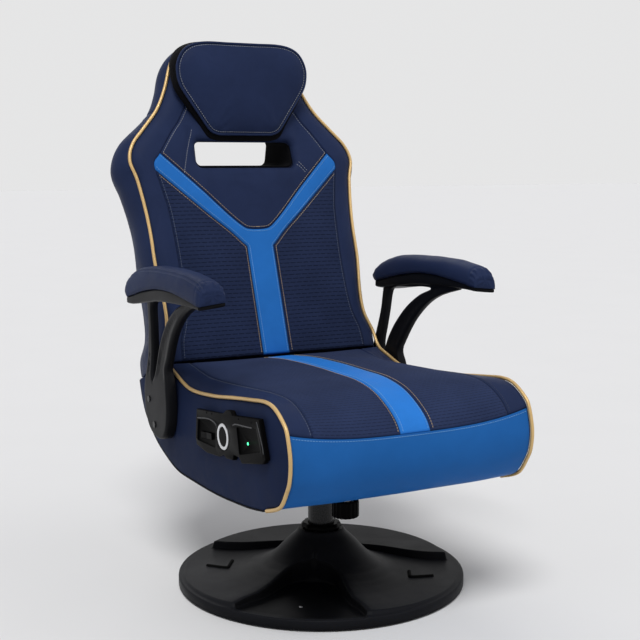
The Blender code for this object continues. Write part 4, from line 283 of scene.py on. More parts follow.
CREASE_ROOM = 0.0015              # the seat's panels start this far from its crease
SEAT_MESH_CROWN, SEAT_MESH_RUN = 0.0012, 0.05
SIDE_DEPTH = 0.0042
SIDE_RUN, SIDE_POWER, SIDE_SINK = 0.19, 5, 0.0022
PIPING_TUCK = PIPING_RADIUS * 0.8  # panels are sewn in under the cord
LOWER_INSET, CLOSING_INSET = 0.0005, 0.0004
PIPING_STEP = 0.0025
TOP_STATION = len(INNER_SEAM_SHARES) - 1
STATION_STEPS = 12
FORK_STEPS, FORK_DIP = 40, 0.001
SLOT_CORNER_STEPS, SLOT_ROUNDS = 10, 30
BACK_ROOM = 0.0012                # the back's panels start this far above its foot
BOLSTER_SINK = 0.0024
MOUTH_INSET, MOUTH_ROLL = 0.003, 0.014
DART_DEPTH, DART_WIDTH, DART_STITCH = 0.0026, 0.0028, 0.0028
FOLD_DEPTH, FOLD_WIDTH = 0.0022, 0.006
SHELL_STEPS, SHELL_RINGS = 340, 22
SHELL_ROLL = 0.003
SHELL_START = PIPING_RADIUS * 0.6  # how far behind the cord's middle the side begins
SHOULDER_OUT = 0.012              # from here the shoulder's stitches are laid on the skin
SHOULDER_ENDS = (0.008, 0.006)    # left free in front and behind
SHOULDER_POINTS = 60
SHOULDER_LIFT = 0.0002
SHOULDER_DEPTH, SHOULDER_WIDTH, SHOULDER_STITCH = 0.003, 0.003, 0.0045
SHELL_SWELL, SHELL_PITCH = 0.0009, 38
REAR_DEPTH, REAR_SINK = 0.0035, 0.002
REAR_INSET = BACK_SIDE_WALL * 0.7  # the rear cover's edge, inside the back's outline
REAR_CUT_INSET = 0.001
REAR_LEAST_WIDTH = 0.02
SLEEVE_INSET = 0.0008
SLEEVE_RINGS = (12, 24)           # outside and inside
PLATE_ROOM = 0.006                # the cloth's opening round the seat plate
UNDER_RISE, UNDER_SAG, UNDER_PITCH, UNDER_DROP = 0.0025, 0.0015, 25, 0.001
UNDER_STEPS, UNDER_SKIPPED = 300, 4    # the cloth starts a few steps behind the front
UNDER_INSET = 0.001
UNDER_DEPTH, UNDER_GRID = -0.0004, 0.010
PILLOW_STEPS, PILLOW_EDGE_STEP = 132, 0.004
PILLOW_PRESS = 0.001              # the pillow's wall sinks this far into the back
PILLOW_DEPTH = 0.0003
PILLOW_ROLL, PILLOW_RUN, PILLOW_POWER = 0.004, 0.085, 2.6
PILLOW_VALLEY, PILLOW_VALLEY_EDGE, PILLOW_VALLEY_WIDTH = 0.0016, 0.0105, 0.0022
GUSSET_START, GUSSET_SWELL, GUSSET_FOOT_SWELL, GUSSET_RINGS = 0.0016, 0.004, 0.010, 15
WELT_RADIUS, WELT_BEHIND = 0.0026, 0.003
ARM_STEP, ARM_GRID = 0.004, 0.006
ARM_ROWS = (0.0008, 0.002, 0.0038, 0.006, 0.0085)
ARM_CORNER = 0.006
ARM_OUTLINE_STEPS, ARM_WINDOW_STEPS, ARM_TOP_STEPS = 210, 170, 40
OUTER_FILLET, INNER_FILLET, INNER_CHANNEL = 0.85, 0.3, 0.5   # shares of the full depths
CHANNEL_DEPTH, CHANNEL_EDGE, CHANNEL_RUN = 0.0022, 0.008, 0.005
CHANNEL_OUTER_FOOT, CHANNEL_FADE, CHANNEL_INNER_FOOT = 0.395, 0.02, 0.43
PLATE_ENDS, PLATE_RINGS, PLATE_SIDES = (0.026, 0.992), 90, 28
PLATE_SIDE_POWER, PLATE_TOP_POWER = 0.35, 0.4   # below 1 they square the plate's section
PLATE_OVERLAP = 0.0010            # the plate goes this far into the pad
PAD_RINGS, PAD_SIDES, PAD_UNDER_SIDES = 120, 40, 8
PAD_SEAM_SIDE = 11                # the point of each ring at which the pad's seam runs
PAD_CAPS = 5                      # rings that round each end
PAD_DRAW, PAD_DRAW_RUN = 0.08, 0.03    # how much narrower the ends are
PAD_TUCK, PAD_TUCK_RUN = 0.009, 0.08   # the rear end's foot goes in under the pad
PAD_SEAM, PAD_SEAM_SIDES = 0.0016, 0.8
PAD_GATHERS = (                   # height, rate, shift, and where and how fast they set in
    (0.0020, 1.25, 0.6, 0.945, 0.03), (0.0008, 1.7, 0.0, 0.06, -0.05))
PAD_CROSS_SEAM, PAD_CROSS_PLACE, PAD_CROSS_WIDTH = 0.0016, 0.950, 0.006
PAD_SWELL, PAD_PITCH = 0.0007, 48
PAD_PLEAT, PAD_PLEAT_RATE = 0.0013, 900
PAD_END_EASE, PAD_END_FADE = 0.008, 0.01
PAD_CLEAR = 0.0003                # between the pad's underside and its guide line
PAD_STITCH, PAD_STITCH_WAY, PAD_STITCH_LIFT = 0.0035, (0.6, -0.8), 0.0001
PAD_STITCH_ENDS = (12, -9)        # rings without these stitches
PAD_FILL = (2.0, 0.0015)
HOOD, HOOD_RADIUS, HOOD_RUN, HOOD_COLUMNS = 0.0050, 0.0790, 0.0080, 12
RIDGE, RIDGE_COLUMNS = 0.0012, 2.0     # the raised edge round the recess
RIDGE_START, RIDGE_RUN = 0.11, 0.03
BASE_STRETCHES = ((0.043, 0.083, 24), (0.083, 0.089, 13), (0.089, 0.140, 26),
                  (0.140, 0.252, 34), (0.252, 0.2735, 16))
BASE_INSIDE = ((BASE_RADIUS, 0), (0.25, 0), (0.248, 0.012), (0.10, 0.014), (0.079, 0.014),
               (0.036, 0.060), (0.036, 0.100))   # radius and height over the rim
BASE_RIBS = (((-0.196, 0.113), (-0.169, 0.072), (-0.142, 0.112)),
             ((0.136, -0.110), (0.118, -0.141), (0.166, -0.149)))

# Cloth solver
CLOTH = {"quality": 4, "mass": 0.3, "tension_stiffness": 18, "compression_stiffness": 18,
         "shear_stiffness": 9, "bending_stiffness": 1.5, "vertex_group_mass": "sewn",
         "use_pressure": True}
CLOTH_FRAMES = 14
FULL = (3.0, 0.003)               # pressure in a panel, and the most that it may swell
SLIGHT = (2.0, 0.002)


# Lines and tables


def smooth_line(points, steps):
    """steps + 1 points on a smooth curve, evenly shared between the given points."""
    table = np.array(points, float)
    last = len(table) - 1
    place = np.linspace(0, last, steps + 1)
    index = np.minimum(place.astype(int), last - 1)
    part = (place - index)[:, None]
    before, start, stop, after = (table[np.clip(index + i, 0, last)] for i in (-1, 0, 1, 2))
    pull = (stop - before) / 2
    push = (after - start) / 2
    turn = stop - start
    square = 3 * turn - 2 * pull - push
    cube = pull + push - 2 * turn
    return start + pull * part + square * part ** 2 + cube * part ** 3


def run_along(points):
    """The distance run at each point of a line."""
    return np.concatenate(([0], np.cumsum(np.linalg.norm(np.diff(points, axis=0), axis=1))))


def points_at(run, along, line):
    """Points of a line at given runs, where along is the run at each of its own points."""
    return np.stack([np.interp(run, along, column) for column in line.T], 1)


def dense(path, step):
    """A path with a point at every step."""
    path = np.array(path, float)
    along = run_along(path)
    return points_at(np.linspace(0, along[-1], max(2, round(along[-1] / step)) + 1), along, path)


def loop_way(loop):
    """The way of a closed outline at each of its points."""
    return np.roll(loop, -1, 0) - np.roll(loop, 1, 0)


def left_of(way):
    """Directions of length one, square to ways in a plane and to their left."""
    return np.stack([-way[:, 1], way[:, 0]], 1) / np.linalg.norm(way, axis=1)[:, None]


def mirrored(line):
    """A line's other half, in the order that carries on from it."""
    return line[::-1] * (-1, 1)


def table_at(table, place):
    """A table's value at a place, straight between its rows."""
    rows = np.array(table, float)
    return np.interp(place, rows[:, 0], rows[:, 1])


def soft_at(table, place, width):
    """A table's value with its corners eased over a width."""
    offsets = np.linspace(-width, width, EASED_SAMPLES)
    return sum(table_at(table, place + o) for o in offsets) / len(offsets)


def ease(value):
    """From 0 to 1 with a gentle start and stop."""
    value = np.clip(value, 0, 1)
    return value * value * (3 - 2 * value)


def bell(distance, width):
    """1 at no distance, fading to nothing over about two widths."""
    return np.exp(-(distance / width) ** 2)


def rounded(share):
    """A quarter circle's depth: 1 at its edge, 0 from a share of 1 on."""
    return 1 - np.sqrt(1 - (1 - np.clip(share, 0, 1)) ** 2)


def crown(height, edge, run, power):
    """A swell that rises from a seam to its height over a run."""
    return height * (1 - (1 - np.clip(edge / run, 0, 1)) ** power)


def noise_at(points, scale):
    """A smooth, repeatable ripple over points, about -1 to 1."""
    axes = (np.asarray(points) * scale).T
    total = 0
    for i, (rate, bend, turn) in enumerate(RIPPLES):
        total = total + np.sin(axes[i] * rate + bend * np.sin(axes[i - 2] * turn + axes[i - 1]))
    return total / len(RIPPLES)


def flat_noise(points, scale):
    """The ripple over points of a plane."""
    return noise_at(np.concatenate([points, np.zeros((len(points), 1))], 1), scale)


# Filled outlines


def resample(loop, step):
    """A closed outline with a point at every step, its sharp corners kept."""
    points = np.array(loop, float)
    before = points - np.roll(points, 1, 0)
    after = np.roll(points, -1, 0) - points
    bend = np.abs(np.arctan2(before[:, 0] * after[:, 1] - before[:, 1] * after[:, 0],
                             (before * after).sum(1)))
    corners = [i for i in range(len(points)) if bend[i] > SHARP_CORNER] or [0]
    made = []
    for k, start in enumerate(corners):
        stop = corners[(k + 1) % len(corners)]
        span = (stop - start - 1) % len(points) + 1
        part = points[[(start + i) % len(points) for i in range(span + 1)]]
        along = run_along(part)
        places = np.linspace(0, along[-1], max(1, round(along[-1] / step)) + 1)[:-1]
        made.append(points_at(places, along, part))
    return np.concatenate(made)


def inside(points, loops):
    """Which points lie inside an outline with holes."""
    result = np.zeros(len(points), bool)
    x, y = points[:, 0], points[:, 1]
    for loop in loops:
        for (x0, y0), (x1, y1) in zip(loop, np.roll(loop, -1, 0)):
            if y0 != y1:
                result ^= ((y0 > y) != (y1 > y)) & (x < (x1 - x0) * (y - y0) / (y1 - y0) + x0)
    return result


def distance_to(points, loops, closed=True):
    """How far each point lies from the nearest of some lines."""
    best = np.full(len(points), 9.0)
    for loop in loops:
        ends = np.roll(loop, -1, 0) if closed else loop[1:]
        for a, b in zip(loop, ends):
            run = b - a
            share = np.clip(((points - a) @ run) / max(run @ run, 1e-12), 0, 1)
            best = np.minimum(best, np.linalg.norm(points - a - share[:, None] * run, axis=1))
    return best


def inwards(loop, loops, distance):
    """Points at a distance inside the outline from one of its loops."""
    normal = left_of(loop_way(loop))
    points = np.concatenate([loop + normal * distance, loop - normal * distance])
    points = points[inside(points, loops)]
    return points[distance_to(points, loops) > ROW_CLEAR * distance]


def fill(loops, step, rows):
    """Triangles over an outline with holes: points, triangles, each loop's own point numbers."""
    points = [np.concatenate(loops)]
    for row in rows:
        points += [inwards(loop, loops, row) for loop in loops]
    low = points[0].min(0)
    high = points[0].max(0)
    grid = []
    for k, y in enumerate(np.arange(low[1], high[1], step * GRID_ROW)):
        xs = np.arange(low[0] + (step / 2 if k % 2 else 0), high[0], step)
        grid.append(np.stack([xs, np.full(len(xs), y)], 1))
    grid = np.concatenate(grid)
    grid = grid[inside(grid, loops)]
    clear = (rows[-1] if len(rows) else 0) + step * GRID_CLEAR
    points.append(grid[distance_to(grid, loops) > clear])
    cloud = np.concatenate(points)
    edges = []
    spans = []
    start = 0
    for loop in loops:
        spans.append(range(start, start + len(loop)))
        edges += [(start + i, start + (i + 1) % len(loop)) for i in range(len(loop))]
        start += len(loop)
    found = geometry.delaunay_2d_cdt([Vector(p) for p in cloud], edges, [], 0, WELD)
    out = np.array([tuple(p) for p in found[0]])
    number = {source: i for i, sources in enumerate(found[3]) for source in sources}
    triangles = np.array([f for f in found[2] if len(f) == 3])
    triangles = triangles[inside(out[triangles].mean(1), loops)]
    return out, triangles, [[number[i] for i in span] for span in spans]


def add_object(name, data):
    """A new object, put in the scene."""
    made = bpy.data.objects.new(name, data)
    SCENE.collection.objects.link(made)
    return made


def wall(ring, other):
    """Faces between two rings of point numbers."""
    following = [(i, (i + 1) % len(ring)) for i in range(len(ring))]
    return [(ring[i], ring[j], other[j], other[i]) for i, j in following]


def two_sided(triangles, low_triangles, count):
    """Triangles of a face and, turned over, of the face whose points follow its own."""
    return [tuple(t) for t in triangles] + [tuple(count + t[::-1]) for t in low_triangles]


def hold(piece, numbers):
    """Pin points of a piece at its seams for the cloth solver."""
    piece.vertex_groups.new(name="sewn").add([int(i) for i in numbers], 1.0, "REPLACE")


def mesh_object(name, points, faces, coordinates=None):
    """A smooth mesh object with its normals out and its weave coordinates in metres."""
    mesh = bpy.data.meshes.new(name)
    mesh.from_pydata([tuple(p) for p in points], [], [tuple(int(i) for i in f) for f in faces])
    if coordinates is not None:
        layer = mesh.uv_layers.new(name="weave")
        corner = np.zeros(len(mesh.loops), int)
        mesh.loops.foreach_get("vertex_index", corner)
        layer.data.foreach_set("uv", np.asarray(coordinates, np.float32)[corner].ravel())
    bm = bmesh.new()
    bm.from_mesh(mesh)
    bmesh.ops.recalc_face_normals(bm, faces=bm.faces)
    bm.to_mesh(mesh)
    bm.free()
    mesh.shade_smooth()
    return add_object(name, mesh)


def sheet_piece(name, loops, place, rise, depth, step):
    """A padded panel over an outline, with an underside at a depth.

    place(points, height) puts it in space and rise(points, edge) is the height of its face.
    """
    loops = [resample(loop, step) for loop in loops]
    face, triangles, rings = fill(loops, step, SEAM_ROWS)
    edge = distance_to(face, loops)
    back, low_triangles, low_rings = fill(loops, UNDER_STEP, ())
    top = place(face, rise(face, edge))
    low = place(back, np.full(len(back), -depth))
    count = len(top)
    faces = two_sided(triangles, low_triangles, count)
    for ring, low_ring in zip(rings, low_rings):
        faces += wall(ring, [count + i for i in low_ring])
    made = mesh_object(name, np.concatenate([top, low]), faces, np.concatenate([face, back]))
    held = np.concatenate([edge < SEAM_ROWS[-1] + SEWN_MARGIN, np.ones(len(back), bool)])
    hold(made, np.nonzero(held)[0])
    return made


def loft_piece(name, rings, closed=False):
    """A skin through rings of points, closed at both ends or joined end to end."""
    rings = np.array(rings, float)
    count, around = rings.shape[:2]
    spans = [range(i * around, (i + 1) * around) for i in range(count)]
    faces = []
    for i in range(count if closed else count - 1):
        faces += wall(spans[i], spans[(i + 1) % count])
    if not closed:
        faces += [tuple(spans[0]), tuple(reversed(spans[-1]))]
    coordinates = np.stack([np.tile(run_along(rings[count // 2]), count),
                            np.repeat(run_along(rings.mean(1)), around)], 1)
    return mesh_object(name, rings.reshape(-1, 3), faces, coordinates)


def tube_points(path, radius, sides):
    """Rings round a smooth path."""
    path = np.array(path, float)
    way = np.gradient(path, axis=0)
    way /= np.linalg.norm(way, axis=1)[:, None]
    side = np.cross(way[0], TUBE_SIDE)
    turns = np.arange(sides) * 2 * pi / sides
    rings = []
    for p, w in zip(path, way):
        side = side - w * (side @ w)
        side /= np.linalg.norm(side)
        up = np.cross(w, side)
        rings.append(p + radius * (np.cos(turns)[:, None] * side + np.sin(turns)[:, None] * up))
    return rings


def finish_piece(piece, replaced=(), material=None, body="seat"):
    """Give a piece its finish and tell the frame what it is."""
    if material:
        piece.data.materials.clear()
        piece.data.materials.append(FINISHES[material])
    if body:
        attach(piece, body)
    if replaced:
        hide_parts(*replaced)


# Seat and back guides


def seat_line(shares, steps):
    """A line of the seat in (y, z), seen from the side."""
    return smooth_line(shares, steps) * (SEAT_REACH, SEAT_THICKNESS) + (0, SEAT_Z)


SEAT_STEPS = 1400
SEAT_PLACES = np.linspace(0, len(SEAT_EDGE_SHARES) - 1, SEAT_STEPS + 1)
SEAT_EDGE = seat_line(SEAT_EDGE_SHARES, SEAT_STEPS)
SEAT_CENTRE = seat_line(SEAT_CENTRE_SHARES, SEAT_STEPS)
SEAT_RUN = run_along(SEAT_CENTRE)
BACK_ORIGIN = np.array((0, *SEAT_EDGE[0])) - BACK_AHEAD * BACK_CROWN


def run_at(station):
    """The run down the seat's middle at a row of its table."""
    return float(np.interp(station, SEAT_PLACES, SEAT_RUN))


def seat_skin(x, run):
    """Points of the seat's guide surface at x and a run from the crease."""
    edge = points_at(run, SEAT_RUN, SEAT_EDGE)
    centre = points_at(run, SEAT_RUN, SEAT_CENTRE)
    blend = np.abs(x / SEAT_HALF_WIDTH)[:, None] ** SEAT_CROWN_POWER
    return np.concatenate([x[:, None], centre + (edge - centre) * blend], 1)


def seat_place(points, height):
    """Points of (x, run) at a height over the seat's guide surface, between the cords."""
    x = points[:, 0]
    run = points[:, 1]
    ahead = seat_skin(x, np.minimum(run + SLOPE_RUN, SEAT_RUN[-1]))
    behind = seat_skin(x, np.maximum(run - SLOPE_RUN, 0))
    across = seat_skin(x + SLOPE_X, run) - seat_skin(x - SLOPE_X, run)
    normal = np.cross(ahead - behind, across)
    normal /= np.linalg.norm(normal, axis=1)[:, None]
    made = seat_skin(x, run) + normal * np.asarray(height)[:, None]
    limit = SEAT_HALF_WIDTH - PIPING_RADIUS + PIPING_OVERLAP
    made[:, 0] = np.clip(made[:, 0], -limit, limit)
    return made


def back_place(points, height):
    """Points of (x, distance up the back) at a height over the back's plane."""
    height = np.asarray(height)[:, None]
    return (BACK_ORIGIN + points[:, :1] * np.array((1, 0, 0)) + points[:, 1:2] * BACK_UP
            + height * BACK_AHEAD)


def back_depth(v):
    """How thick the back is, at a distance up it."""
    return BACK_DEPTH * soft_at(BACK_DEPTH_SHARES, np.asarray(v) / BACK_LENGTH, CORNER_EASE)


def back_line(shares, steps):
    """A line on the back's plane, in metres."""
    return smooth_line(shares, steps) * (BACK_HALF_WIDTH, BACK_LENGTH)


def rolled(edge, sink=SEAM_SINK):
    """How far a face lies below its crown: it rolls in at a seam and dips along its stitches."""
    dip = STITCH_DIP * bell(edge - STITCH_EDGE, STITCH_DIP_WIDTH)
    return -sink * np.exp(-(edge / SEAM_ROLL) ** SEAM_ROLL_POWER) - dip


# Shaders


class Nodes:
    """A short hand for building a node tree."""

    def __init__(self, tree):
        self.tree = tree

    def add(self, kind, **settings):
        node = self.tree.nodes.new(kind)
        for key, value in settings.items():
            if key.startswith("in_"):
                name = key[3:].replace("_", " ")
                place = int(name) if name.isdigit() else name
                self.put(value, node.inputs[place])
            else:
                setattr(node, key, value)
        return node

    def put(self, value, socket):
        if isinstance(value, bpy.types.NodeSocket):
            self.tree.links.new(value, socket)
        else:
            socket.default_value = value

    def math(self, operation, a, b=0.0):
        node = self.add("ShaderNodeMath", operation=operation)
        for value, socket in zip((a, b), node.inputs):
            self.put(value, socket)
        return node.outputs[0]

    def plus(self, a, b):
        return self.math("ADD", a, b)

    def minus(self, a, b):
        return self.math("SUBTRACT", a, b)

    def times(self, a, b):
        return self.math("MULTIPLY", a, b)

    def over(self, a, b):
        return self.math("DIVIDE", a, b)

    def noise(self, vector, scale, detail=2.0, roughness=0.5, distortion=0.0):
        node = self.add("ShaderNodeTexNoise", in_Vector=vector, in_Scale=scale, in_Detail=detail,
                        in_Roughness=roughness, in_Distortion=distortion)
        return node.outputs["Fac"]

    def span(self, value, low, high, to_low=0.0, to_high=1.0):
        node = self.add("ShaderNodeMapRange")
        for socket, item in zip(node.inputs, (value, low, high, to_low, to_high)):
            self.put(item, socket)
        return node.outputs[0]

    def mix(self, share, a, b):
        node = self.add("ShaderNodeMix", data_type="RGBA")
        self.put(share, node.inputs[0])
        self.put(a, node.inputs[6])
        self.put(b, node.inputs[7])
        return node.outputs[2]


def new_group(name, inputs, outputs):
    """A shader node group with named sockets: (name, kind, default) in, (name, kind) out."""
    tree = bpy.data.node_groups.new(name, "ShaderNodeTree")
    for label, kind, default in inputs:
        socket = tree.interface.new_socket(label, in_out="INPUT", socket_type="NodeSocket" + kind)
        if default is not None:
            socket.default_value = default
    for label, kind in outputs:
        tree.interface.new_socket(label, in_out="OUTPUT", socket_type="NodeSocket" + kind)
    nodes = Nodes(tree)
    return tree, nodes, nodes.add("NodeGroupInput").outputs, nodes.add("NodeGroupOutput").inputs


def leather_grain():
    """Pores, creases and slow changes of tone of coated leather."""
    tree, n, given, out = new_group(
        "leather_grain",
        (("Vector", "Vector", None), ("Pores", "Float", 620.0), ("Creases", "Float", 34.0)),
        (("Height", "Float"), ("Tone", "Float"), ("Gloss", "Float")))
    cell = n.add("ShaderNodeTexVoronoi", feature="DISTANCE_TO_EDGE", in_Vector=given["Vector"],
                 in_Scale=given["Pores"])
    pores = n.span(cell.outputs["Distance"], 0.0, 0.25)
    crease = n.noise(given["Vector"], given["Creases"], detail=4.0, roughness=0.55, distortion=0.8)
    slow = n.noise(given["Vector"], scale=7.0)
    n.put(n.plus(n.times(pores, 0.35), crease), out["Height"])
    n.put(n.span(n.plus(n.times(slow, 0.7), n.times(crease, 0.3)), 0.3, 0.7), out["Tone"])
    n.put(n.span(crease, 0.3, 0.7), out["Gloss"])
    return tree


def mesh_weave():
    """Staggered rows of short dashes woven into a fine knit."""
    tree, n, given, out = new_group(
        "mesh_weave",
        (("Vector", "Vector", None), ("Dash", "Float", 0.0150), ("Row", "Float", 0.0085),
         ("Thickness", "Float", 0.0019)),
        (("Height", "Float"), ("Dashes", "Float"), ("Tone", "Float")))
    place = n.add("ShaderNodeSeparateXYZ", in_Vector=given["Vector"]).outputs
    row = n.over(place["Y"], given["Row"])
    odd = n.math("MODULO", n.math("FLOOR", row), 2.0)
    along = n.plus(n.over(place["X"], given["Dash"]), n.times(odd, 0.5))
    off_row, off_dash = (n.math("ABSOLUTE", n.minus(n.math("FRACT", value), 0.5))
                         for value in (row, along))
    half = n.over(n.times(given["Thickness"], 0.5), given["Row"])
    line = n.minus(1.0, n.span(off_row, n.times(half, 0.6), n.times(half, 1.6)))
    dashes = n.times(line, n.minus(1.0, n.span(off_dash, 0.36, 0.42)))
    knit = n.add("ShaderNodeTexVoronoi", in_Vector=given["Vector"], in_Scale=900.0)
    holes = n.span(knit.outputs["Distance"], 0.15, 0.55)
    slow = n.noise(given["Vector"], scale=11.0, detail=3.0)
    n.put(n.minus(n.times(holes, -0.25), dashes), out["Height"])
    n.put(dashes, out["Dashes"])
    n.put(n.span(n.plus(slow, n.times(holes, 0.25)), 0.4, 0.9), out["Tone"])
    return tree


def moulded_grain():
    """Fine spark-eroded grain of a moulding, with rubbed patches and dust on what faces up."""
    tree, n, given, out = new_group(
        "moulded_grain", (("Vector", "Vector", None), ("Grain", "Float", 900.0)),
        (("Height", "Float"), ("Rub", "Float"), ("Dust", "Float")))
    n.put(n.noise(given["Vector"], given["Grain"], detail=3.0, roughness=0.6), out["Height"])
    rub = n.noise(given["Vector"], scale=9.0, detail=4.0, roughness=0.6, distortion=0.6)
    n.put(n.span(rub, 0.35, 0.75), out["Rub"])
    up = n.add("ShaderNodeSeparateXYZ", in_Vector=n.add("ShaderNodeNewGeometry").outputs["Normal"])
    specks = n.span(n.noise(given["Vector"], scale=130.0, detail=5.0, roughness=0.7), 0.5, 0.8)
    n.put(n.times(n.span(up.outputs["Z"], 0.6, 1.0), specks), out["Dust"])
    return tree


def rib_knit():
    """Fine cords of a stretch fabric."""
    tree, n, given, out = new_group(
        "rib_knit", (("Vector", "Vector", None), ("Cords", "Float", 260.0)),
        (("Height", "Float"), ("Tone", "Float")))
    wave = n.add("ShaderNodeTexWave", in_Vector=given["Vector"], in_Scale=given["Cords"],
                 in_Distortion=0.6, in_Detail=1.0).outputs["Fac"]
    fuzz = n.noise(given["Vector"], scale=700.0)
    slow = n.noise(given["Vector"], scale=14.0, detail=3.0)
    n.put(n.plus(n.times(wave, 0.7), n.times(fuzz, 0.5)), out["Height"])
    n.put(n.span(n.plus(slow, n.times(fuzz, 0.3)), 0.4, 1.0), out["Tone"])
    return tree


GROUPS = {}
FINISHES = {}


class Finish(Nodes):
    """A new material: its shader, its pattern's coordinates and the ways to colour it."""

    def __init__(self, name, roughness, metallic=0.0, **more):
        made = bpy.data.materials.new(name)
        made.use_nodes = True
        super().__init__(made.node_tree)
        self.shader = made.node_tree.nodes["Principled BSDF"].inputs
        self.where = self.add("ShaderNodeTexCoord").outputs
        for key, value in (("Roughness", roughness), ("Metallic", metallic), *more.items()):
            self.shader[key.replace("_", " ")].default_value = value
        FINISHES[name] = made

    def group(self, name, vector, **values):
        node = self.add("ShaderNodeGroup", node_tree=GROUPS[name])
        for key, value in (("Vector", vector), *values.items()):
            self.put(value, node.inputs[key])
        return node.outputs

    def paint(self, share, dark, light, socket="Base Color"):
        self.put(self.mix(share, dark, light), self.shader[socket])

    def roughen(self, share, start, stop, low=0.0, high=1.0):
        self.put(self.span(share, low, high, start, stop), self.shader["Roughness"])

    def bump(self, height, strength, distance):
        node = self.add("ShaderNodeBump", in_Strength=strength, in_Distance=distance,
                        in_Height=height)
        self.put(node.outputs["Normal"], self.shader["Normal"])


def toned(colour, factor):
    """A colour made lighter or darker."""
    return (*[min(1.0, c * factor) for c in colour[:3]], 1.0)


def leather(name, colour, roughness, spread, gloss, metallic):
    """Coated leather, a little darker and glossier in places."""
    made = Finish(name, roughness, metallic, Specular_IOR_Level=gloss)
    grain = made.group("leather_grain", made.where["Object"])
    made.paint(grain["Tone"], toned(colour, 1 - spread), toned(colour, 1 + spread))
    made.roughen(grain["Gloss"], roughness - 0.05, roughness + 0.07)
    made.bump(grain["Height"], strength=0.45, distance=0.0006)


def open_mesh(name, colour, dark, dash, row):
    """Woven fabric with rows of darker dashes."""
    made = Finish(name, 0.85, Sheen_Weight=0.03, Sheen_Roughness=0.4, Specular_IOR_Level=0.05)
    weave = made.group("mesh_weave", made.where["UV"], Dash=dash, Row=row, Thickness=0.2 * row)
    body = made.mix(weave["Tone"], toned(colour, 0.82), toned(colour, 1.18))
    made.paint(made.times(weave["Dashes"], 0.6), body, dark)
    made.bump(weave["Height"], strength=0.7, distance=0.0008)


def moulding(name, colour, roughness, grain, strength, gloss):
    """Moulded plastic or rubber, rubbed and dusty in places."""
    made = Finish(name, roughness, Specular_IOR_Level=gloss)
    skin = made.group("moulded_grain", made.where["Object"], Grain=grain)
    rubbed = made.mix(made.times(skin["Rub"], 0.5), toned(colour, 0.9), toned(colour, 1.25))
    made.paint(made.times(skin["Dust"], 0.05), rubbed, DUST)
    made.roughen(skin["Rub"], roughness + 0.05, roughness - 0.06)
    made.bump(skin["Height"], strength, distance=0.0003)


def metal(name, colour, roughness, metallic, gloss):
    """Bare, plated or painted metal with a fine grain."""
    made = Finish(name, roughness, metallic, Specular_IOR_Level=gloss)
    grain = made.noise(made.where["Object"], scale=400.0, detail=3.0, roughness=0.6)
    made.paint(grain, toned(colour, 0.9), toned(colour, 1.08))
    made.roughen(grain, roughness - 0.04, roughness + 0.06, low=0.3, high=0.7)
    made.bump(grain, strength=0.12, distance=0.0002)


def cloth(name, colour, roughness, cords, sheen):
    """Knitted or felted fabric, and thread."""
    made = Finish(name, roughness, Sheen_Weight=sheen, Sheen_Roughness=0.5,
                  Specular_IOR_Level=0.06)
    knit = made.group("rib_knit", made.where["Object"], Cords=cords)
    made.paint(knit["Tone"], toned(colour, 0.75), toned(colour, 1.3))
    made.bump(knit["Height"], strength=0.5, distance=0.0004)


DUST = (0.030, 0.030, 0.034, 1)
THREAD = (0.7, 3000.0, 0.03)      # roughness, cords and sheen of every thread

